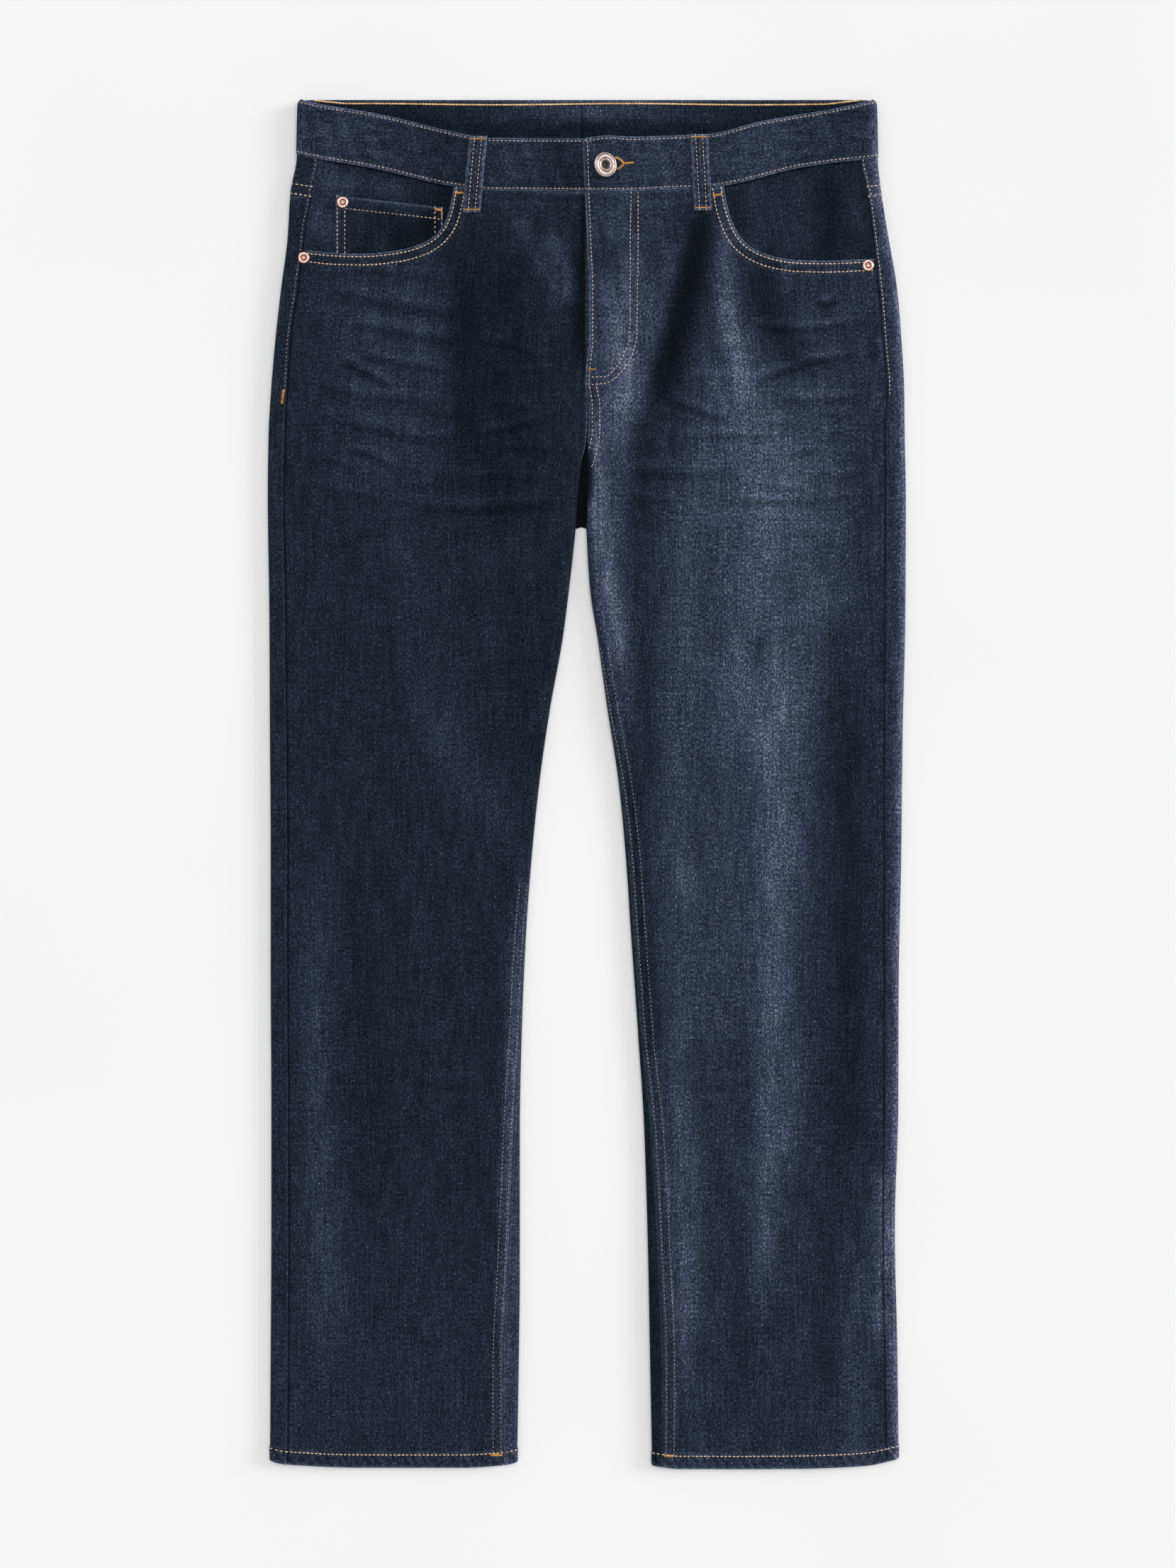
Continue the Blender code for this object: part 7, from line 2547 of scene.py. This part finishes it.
@dataclass(frozen=True)
class Metal:
    """Cast and plated metal, dull and dark in its recesses."""

    name: str
    bright: Point3
    dull: Point3
    deep: Point3
    smooth: float = 0.28

    def material(self) -> Material:
        """Makes the finish."""
        material, board, shader = new_finish(self.name, Specular_IOR_Level=0.5)
        body = board.node("ShaderNodeTexCoord").outputs["Object"]
        patina = board.noise(body, (520.0, 520.0, 520.0), 3.0, 0.6)
        scuffs = board.noise(body, (2600.0, 900.0, 1500.0), 2.0, 0.6)
        stops = ((0.36, linear(*self.dull)), (0.62, linear(*self.bright)))
        face = board.ramp(board.total(patina, board.about(scuffs, 0.5, 0.3)), stops)
        recess = board.attribute("recess")
        given = {
            "Base Color": board.blend(board.times(recess, 0.92), face, linear(*self.deep)),
            "Metallic": board.span(recess, 0.2, 1.0, 1.0, 0.35),
            "Roughness": board.total(self.smooth, board.about(scuffs, 0.4, 0.3), board.times(recess, 0.35)),
            "Normal": board.relief(patina, 0.00005, 0.5),
        }
        board.fill(shader, given)
        return material


@dataclass(frozen=True)
class Paper:
    """The pale table top."""

    name: str = "pale_table"

    def material(self) -> Material:
        """Makes the finish."""
        material, board, shader = new_finish(self.name, Specular_IOR_Level=0.1)
        body = board.node("ShaderNodeTexCoord").outputs["Object"]
        cloud = board.noise(body, (3.0, 3.0, 3.0), 2.0)
        fibre = board.noise(body, (900.0, 900.0, 900.0), 2.0)
        stops = ((0.3, linear(231, 231, 231)), (0.7, linear(234, 234, 234)))
        rough = board.span(fibre, 0.3, 0.7, 0.85, 0.95)
        board.fill(shader, {"Base Color": board.ramp(cloud, stops), "Roughness": rough})
        return material


# ---------------------------------------------------------------- studio
class Lamp(NamedTuple):
    """A broad soft light, with the way that it comes from."""

    name: str
    strength: float
    spread: float
    comes_from: tuple[float, float, float]


@dataclass
class Studio:
    """A pale floor under the garment, soft daylight, and a camera straight above."""

    eye: tuple[float, float, float] = (0.0008, 0.0002, 3.005)
    lens: float = 87.7
    floor_half: float = 4.0
    floor_level: float = -0.0003
    lamps: tuple[Lamp, ...] = (
        Lamp("overhead", 1.76, math.radians(40), (0.06, 0.16, 1.0)),
        Lamp("side", 1.50, math.radians(24), (1.0, 0.25, 0.38)),
    )
    sky: Colour = (0.42, 0.43, 0.45, 1.0)

    def build(self) -> None:
        """Makes the floor, the lights and the camera."""
        floor_mesh = bpy.data.meshes.new("floor")
        reach = self.floor_half
        corners = [(-reach, -reach), (reach, -reach), (reach, reach), (-reach, reach)]
        floor_mesh.from_pydata([(x, y, self.floor_level) for x, y in corners], [], [(0, 1, 2, 3)])
        floor_mesh.materials.append(Paper().material())
        placed("floor", floor_mesh)
        for lamp in self.lamps:
            light = bpy.data.lights.new(lamp.name, "SUN")
            light.energy = lamp.strength
            light.angle = lamp.spread
            light.color = (1.0, 0.985, 0.965)
            facing = Vector(lamp.comes_from).to_track_quat("Z", "Y")
            placed(lamp.name, light).rotation_euler = facing.to_euler()
        world = bpy.data.worlds.new("soft_room")
        world.use_nodes = True
        world.node_tree.nodes["Background"].inputs["Color"].default_value = self.sky
        bpy.context.scene.world = world
        lens = bpy.data.cameras.new("camera")
        lens.sensor_width = 36.0
        lens.sensor_fit = "AUTO"
        lens.lens = self.lens
        lens.clip_end = 20.0
        camera = placed("camera", lens)
        camera.location = self.eye
        bpy.context.scene.camera = camera
        bpy.context.scene.view_settings.view_transform = "Standard"


# ---------------------------------------------------------------- the garment
@dataclass
class Jeans:
    """The whole pair, built from the panels out to what is sewn on them."""

    denim: Material
    facing: Material
    button_metal: Material
    rivet_metal: Material
    cuts: dict[str, Cut] = field(default_factory=dict)

    def add(self, name: str, cut: Cut) -> None:
        """Keeps a finished piece by a short name."""
        self.cuts[name] = cut

    def things(self, *names: str) -> list[Thing]:
        """Finished pieces by their short names."""
        return [self.cuts[name].thing for name in names]

    def build(self) -> None:
        """Makes every piece of cloth and metal."""
        for half in HALVES:
            self.add(f"front_{half.name}", Front(half).build(self.denim))
            self.add(f"back_{half.name}", Back(half).build(self.denim))
            self.add(f"yoke_{half.name}", Yoke(half).build(self.denim))
            self.add(f"band_{half.name}", Waistband(half).build(self.denim))
            self.add(f"facing_{half.name}", Facing(half).build(self.facing))
            self.add(f"back_pocket_{half.name}", BackPocket(half).build(self.denim))
        self.add("coin", CoinPocket().build(self.cuts["facing_right"], self.facing))
        fronts = [self.cuts["front_right"], self.cuts["front_left"]]
        self.add("fly", Fly().build(fronts, self.denim))
        self.build_loops()
        Button().build(self.things("band_right", "band_left"), self.button_metal)
        seats = {"rivet_coin": ("coin", "facing_right"), "rivet_pocket_right": ("front_right", "back_right")}
        seats["rivet_pocket_left"] = ("front_left", "back_left")
        for rivet in RIVETS:
            rivet.build(self.things(*seats[rivet.node]), self.rivet_metal)

    def build_loops(self) -> None:
        """Makes the five belt loops."""
        for name, x in BACK_LOOPS.items():
            loop = BeltLoop(f"loop_back_{name}", x, BAND_TOP_BACK - LOOP_INSET)
            self.add(loop.node, loop.build_back(self.denim))
        for name, top, lean in FRONT_LOOPS:
            below = (f"band_{name}", f"front_{name}", f"facing_{name}")
            loop = BeltLoop(f"loop_front_{name}", top.x, top.y, lean, frayed_lit_edge=name == "right")
            seats = (f"waistband_{name}", f"front_{name}")
            self.add(loop.node, loop.build_front(Surface(self.things(*below)), seats, self.denim))

    def declare(self) -> None:
        """Goes through every piece's declare, which keeps nothing."""
        for cut in self.cuts.values():
            cut.declare()


# ---------------------------------------------------------------- what is sewn, and where
class Row(NamedTuple):
    """A row of stitches: the piece that it is on, how it is sewn, and its corners seen from above."""

    piece: str
    kind: StitchKind
    corners: tuple[Point2, ...]


TOP = StitchKind.TOPSTITCH
TACK = StitchKind.BARTACK
THIN_TACK = StitchKind.NARROW_TACK
EYELET = StitchKind.EYELET

ROWS = (
    # the fly: its double J, the short bars at its foot, and the seam on to the crotch
    Row(
        "fly",
        TOP,
        ((0.0345, 0.4633), (0.0339, 0.4227), (0.0339, 0.3860), (0.0334, 0.3527))
        + ((0.0295, 0.3382), (0.0211, 0.3251), (0.0139, 0.3196), (0.0044, 0.3193)),
    ),
    Row(
        "fly",
        TOP,
        ((0.0400, 0.4633), (0.0400, 0.4227), (0.0395, 0.3860), (0.0389, 0.3527))
        + ((0.0350, 0.3360), (0.0267, 0.3232), (0.0156, 0.3149), (0.0044, 0.3134)),
    ),
    Row("fly", THIN_TACK, ((0.0011, 0.3254), (0.0072, 0.3254))),
    Row("front_left", TOP, ((0.0021, 0.3112), (0.0041, 0.2976), (0.0041, 0.2771), (0.0020, 0.2643))),
    Row(
        "front_left",
        TOP,
        ((0.0074, 0.3112), (0.0100, 0.2976), (0.0100, 0.2771), (0.0070, 0.2587), (0.0040, 0.2500)),
    ),
    # the end of the band, and its buttonhole
    Row("band_left", TOP, ((0.0003, 0.5026), (0.0008, 0.4900), (0.0015, 0.4666))),
    Row("band_left", EYELET, ((0.0222, 0.4908), (0.0244, 0.4902), (0.0266, 0.4886), (0.0284, 0.4868))),
    Row("band_left", EYELET, ((0.0222, 0.4816), (0.0244, 0.4821), (0.0266, 0.4836), (0.0284, 0.4855))),
    Row("band_left", EYELET, ((0.0284, 0.4862), (0.0362, 0.4868))),
    # dark beads: painted shade in the buttonhole's slit
    Row("band_left", StitchKind.SLIT, ((0.0220, 0.4860), (0.0262, 0.4860))),
    # the coin pocket
    Row("coin", TOP, ((-0.1958, 0.4612), (-0.1958, 0.4175))),
    Row("coin", TOP, ((-0.1899, 0.4522), (-0.1899, 0.4172))),
    Row("coin", TOP, ((-0.1885, 0.4512), (-0.1165, 0.4433))),
    Row("coin", TOP, ((-0.1192, 0.4520), (-0.1192, 0.4330))),
    Row("coin", TOP, ((-0.1139, 0.4515), (-0.1139, 0.4395))),
    Row("coin", TACK, ((-0.1190, 0.4508), (-0.1142, 0.4502))),
    Row("coin", THIN_TACK, ((-0.1139, 0.4500), (-0.1139, 0.4433))),
    # bars at the tops of the pocket mouths and on the outseams
    Row("front_right", TACK, ((-0.1036, 0.4636), (-0.0973, 0.4636))),
    Row("front_left", TACK, ((0.0988, 0.4612), (0.1056, 0.4625))),
    Row("back_right", TACK, ((-0.2381, 0.3093), (-0.2394, 0.2987))),
    Row("back_left", TACK, ((0.2350, 0.3065), (0.2345, 0.2971))),
    # bars across the inseams at the hems
    Row("front_right", TACK, ((-0.0758, -0.5264), (-0.0664, -0.5264))),
    Row("front_left", TACK, ((0.0586, -0.5268), (0.0682, -0.5270))),
)

SIDE_ROW = 0.0020  # the outseam's stitches, from the seam, on the back
SIDE_ROW_TOP = 0.4890
ROW_MARGIN = 0.0012  # how far a row ends from an edge or a seam
CHAIN_LEVEL = 0.5343  # height of the chain stitch inside the waistband
SEAT_ROWS = (0.0020, 0.0079)  # the stitches beside the seat seam
INSEAM_SHOWS = {"right": -0.0800, "left": 0.1060}  # the inseam's rows come round the fold below this
YOKE_TILT = {"right": 0.0030, "left": 0.0018}  # how far its rows rise towards the fold
BARS_END = {"right": 0.3093, "left": 0.3065}


@dataclass
class Tailor:
    """Sews the finished pieces: every row that shows, above and below."""

    jeans: Jeans
    threads: dict[StitchKind, Material]
    gold: Material
    surfaces: dict[str, Surface] = field(default_factory=dict)
    work: dict[tuple[str, StitchKind], Sewing] = field(default_factory=dict)

    def sew(
        self, name: str, kind: StitchKind, corners: Sequence[Point2] | Array, from_above: bool = True
    ) -> None:
        """Adds a row to a piece.

        Args:
            name: the piece's short name.
            kind: how it is sewn.
            corners: a smooth path seen from above.
            from_above: False on the underside.
        """
        if name not in self.surfaces:
            self.surfaces[name] = Surface(self.jeans.things(name))
        key = (name, kind)
        if key not in self.work:
            title = f"{self.jeans.cuts[name].thing.name}_{kind.name.lower()}"
            self.work[key] = Sewing(title, kind, seed=len(self.work) + 1)
        self.work[key].on(self.surfaces[name], corners, THREAD_LIFT, from_above)

    def build(self) -> None:
        """Sews everything."""
        for row in ROWS:
            self.sew(*row)
        edge = edge_curve(FLY_LEFT)
        fly_y = spread(FLY_LEFT[0].y - 0.0010, FLY_LEFT[-1].y + 0.0012, 60)
        self.sew("fly", TOP, joined(edge(fly_y) + FLY_STITCH, fly_y))
        for half in HALVES:
            self.sew_front(half)
            self.sew_side(half)
            self.sew_hem(half)
            self.sew_band(half)
            self.sew_back(half)
        for cut_name in self.jeans.cuts:
            if cut_name.startswith("loop"):
                self.sew_loop(cut_name)
        for (name, kind), sewing in self.work.items():
            self.jeans.cuts[name].sewing.append(sewing.build(self.threads.get(kind, self.gold)))

    def sew_front(self, half: Half) -> None:
        """The double rows under the pocket's mouth and beside the inseam."""
        name = f"front_{half.name}"
        scoop = smooth_path(half.pocket)
        for offset in POCKET_ROWS:
            self.sew(name, StitchKind.BRIGHT, beside(scoop, offset * half.sign))
        y = spread(INSEAM_SHOWS[half.name], float(half.hem(0.06 * half.sign)) + HEM_STITCH + 0.0004, 200)
        _, inner = half.seam_distances(y)
        for offset in INSEAM_ROWS:
            x = half.points(inner - offset, y, 0.0)[..., 0]
            self.sew(name, StitchKind.SEAM, joined(x, y))

    def sew_side(self, half: Half) -> None:
        """The row beside the outseam, on the yoke and the back, down to its bar."""
        kind = TOP if half.sign > 0 else StitchKind.SEAM
        stretches = (("yoke", SIDE_ROW_TOP, YOKE_SIDE), ("back", YOKE_SIDE, BARS_END[half.name]))
        for name, high, low in stretches:
            y = spread(high, low, 80)
            distance = cloth_distance(half.side_seam(y)) - SIDE_ROW
            x = half.points(distance, y, 0.0, True)[..., 0]
            self.sew(f"{name}_{half.name}", kind, joined(x, y))

    def sew_hem(self, half: Half) -> None:
        """The hem's row, on the front, on the back's strips beside it and underneath."""
        outer = float(half.outer_edge(HEM_LEVEL)) - half.sign * ROW_MARGIN
        inner = float(half.inner_edge(HEM_LEVEL)) + half.sign * ROW_MARGIN
        x = spread(outer, inner, 160)
        path = joined(x, half.hem(x) + HEM_STITCH)
        self.sew(f"front_{half.name}", StitchKind.BRIGHT, path)
        front = self.surfaces[f"front_{half.name}"]
        beyond = np.array([front.height(float(a), float(b)) is None for a, b in path])
        first = int(np.argmin(beyond))
        last = len(beyond) - int(np.argmin(beyond[::-1]))
        for part in (path[:first], path[last:]):
            if len(part) > 2:
                self.sew(f"back_{half.name}", StitchKind.BRIGHT, part)
        self.sew(f"back_{half.name}", StitchKind.BRIGHT, path[2:-2], from_above=False)

    def sew_band(self, half: Half) -> None:
        """The rows along both edges of the waistband, and the chain inside it."""
        name = f"band_{half.name}"
        outer = float(half.outer_edge(BAND_MIDDLE))
        end = BAND_END + 0.0022 if half.sign > 0 else BAND_END
        x = spread(end, outer - half.sign * 0.0008, 150)
        corner = CORNER_RISE * bump(x - CORNER_AT, CORNER_WIDTH) * (half.sign > 0)
        self.sew(name, TOP, joined(x, BAND_TOP(x) + corner - BAND_STITCH))
        self.sew(name, TOP, joined(x, BAND_BOTTOM(x) + BAND_STITCH))
        back = spread(CENTRE_BACK + half.sign * 0.0010, outer - half.sign * BAND_EASE, 100)
        level = np.ones_like(back)
        lower = float(BAND_BOTTOM(outer))
        self.sew(name, TOP, joined(back, level * (BAND_TOP_BACK - BAND_STITCH)), from_above=False)
        self.sew(name, TOP, joined(back, level * (lower + BAND_STITCH)), from_above=False)
        inside = spread(CENTRE_BACK + half.sign * 0.0010, half.sign * 0.2130, 110)
        rise = 0.0005 * np.sin(31 * inside + 0.6) + 0.0028 * smooth_step(0.185, 0.220, np.abs(inside))
        self.sew(name, StitchKind.CHAIN, joined(inside, CHAIN_LEVEL + rise))

    def sew_back(self, half: Half) -> None:
        """The rows of the yoke, the seat seam and the back pocket."""
        sign = half.sign
        outer = float(half.outer_edge(YOKE_SIDE))
        for offset in YOKE_ROWS:
            start = (CENTRE_BACK + sign * 0.0008, YOKE_CENTRE + offset)
            end = (outer - sign * ROW_MARGIN, YOKE_SIDE + offset - 0.0004)
            self.sew(f"yoke_{half.name}", TOP, (start, end), from_above=False)
            y = YOKE_SIDE + offset
            seam = float(cloth_distance(half.side_seam(y))) - 0.0008
            reach = spread(0.0012, seam, 30)
            x = half.points(reach, y, 0.0, True)[..., 0]
            rows = y + YOKE_TILT[half.name] * (1 - reach / seam)
            self.sew(f"yoke_{half.name}", StitchKind.BRIGHT, joined(x, rows))
        if sign > 0:
            for offset in SEAT_ROWS:
                x = CENTRE_BACK + offset
                ends = ((x, CROTCH_END + 0.0015), (x, YOKE_CENTRE - ROW_MARGIN))
                self.sew("back_left", TOP, ends, from_above=False)
        pocket = BackPocket(half)
        title = f"back_pocket_{half.name}"
        for offset in pocket.row_offsets:
            side = offset / BACK_POCKET_WIDTH
            low = 1 - offset / (BACK_POCKET_DEPTH - BACK_POCKET_POINT)
            for start, end in (((side, 0.006), (side, low)), ((1 - side, 0.006), (1 - side, low))):
                ends = [corner_place(pocket, *start), corner_place(pocket, *end)]
                self.sew(title, TOP, ends, from_above=False)
            for far in (side, 1 - side):
                ends = [corner_place(pocket, far, low), corner_place(pocket, 0.5, low + 0.002)]
                self.sew(title, TOP, ends, from_above=False)
        mouth = (pocket.hem - 0.003) / BACK_POCKET_DEPTH
        ends = [corner_place(pocket, 0.01, mouth), corner_place(pocket, 0.99, mouth)]
        self.sew(title, TOP, ends, from_above=False)

    def sew_loop(self, name: str) -> None:
        """A loop's two rows and its two bars."""
        points = np.array([tuple(v.co) for v in self.jeans.cuts[name].thing.data.vertices])
        front = "front" in name
        high = points[points[:, 1] > points[:, 1].max() - 0.0008].mean(axis=0)[:2]
        low = points[points[:, 1] < points[:, 1].min() + 0.0008].mean(axis=0)[:2]
        way = low - high
        for offset in (-LOOP_ROW, LOOP_ROW):
            start = high + way * 0.012 + np.array([offset, 0.0])
            self.sew(name, TOP, np.stack([start, start + way * 0.976]), from_above=front)
        for share in (0.036, 0.964):
            middle = high + way * share
            bar = np.array([LOOP_WIDTH * 0.42, 0.0])
            self.sew(name, THIN_TACK, np.stack([middle - bar, middle + bar]), from_above=front)


def corner_place(pocket: BackPocket, across: float, down: float) -> Point2:
    """A place on a back pocket, seen from above."""
    x, y = pocket.place(np.array(across), np.array(down))
    return float(x), float(y)


def main() -> None:
    """Builds the jeans and the studio."""
    logging.basicConfig(level=logging.INFO, format="%(name)s: %(message)s")
    jeans = Jeans(
        denim=Denim("washed_denim").material(),
        facing=Denim("facing_denim_finish", grain=0.9, slub=0.9).material(),
        button_metal=Metal("cast_alloy", (196, 182, 176), (142, 130, 126), (44, 32, 26), 0.34).material(),
        rivet_metal=Metal("copper_alloy", (222, 184, 172), (176, 130, 120), (70, 30, 24), 0.34).material(),
    )
    jeans.build()
    tan = Thread("tan_thread", (108, 76, 56), (196, 168, 148), (232, 216, 202)).material()
    light = Thread("light_thread", (138, 102, 72), (220, 187, 154), (242, 224, 204)).material()
    pale = Thread("pale_gold_thread", (156, 112, 70), (228, 186, 134), (248, 224, 188)).material()
    dull = Thread("dull_thread", (70, 66, 62), (136, 127, 118), (182, 172, 162)).material()
    gold = Thread("gold_thread", (122, 78, 34), (200, 146, 78), (234, 188, 122)).material()
    # the dark beads that paint the shade in the buttonhole's slit
    shade = Thread("shaded_slit", (6, 8, 12), (12, 14, 20), (20, 24, 32)).material()
    kinds = (TOP, StitchKind.BRIGHT, StitchKind.CHAIN, StitchKind.SEAM, StitchKind.SLIT)
    threads = dict(zip(kinds, (tan, light, pale, dull, shade)))
    Tailor(jeans, threads, gold).build()
    jeans.declare()
    Studio().build()


if __name__ == "__main__":
    main()
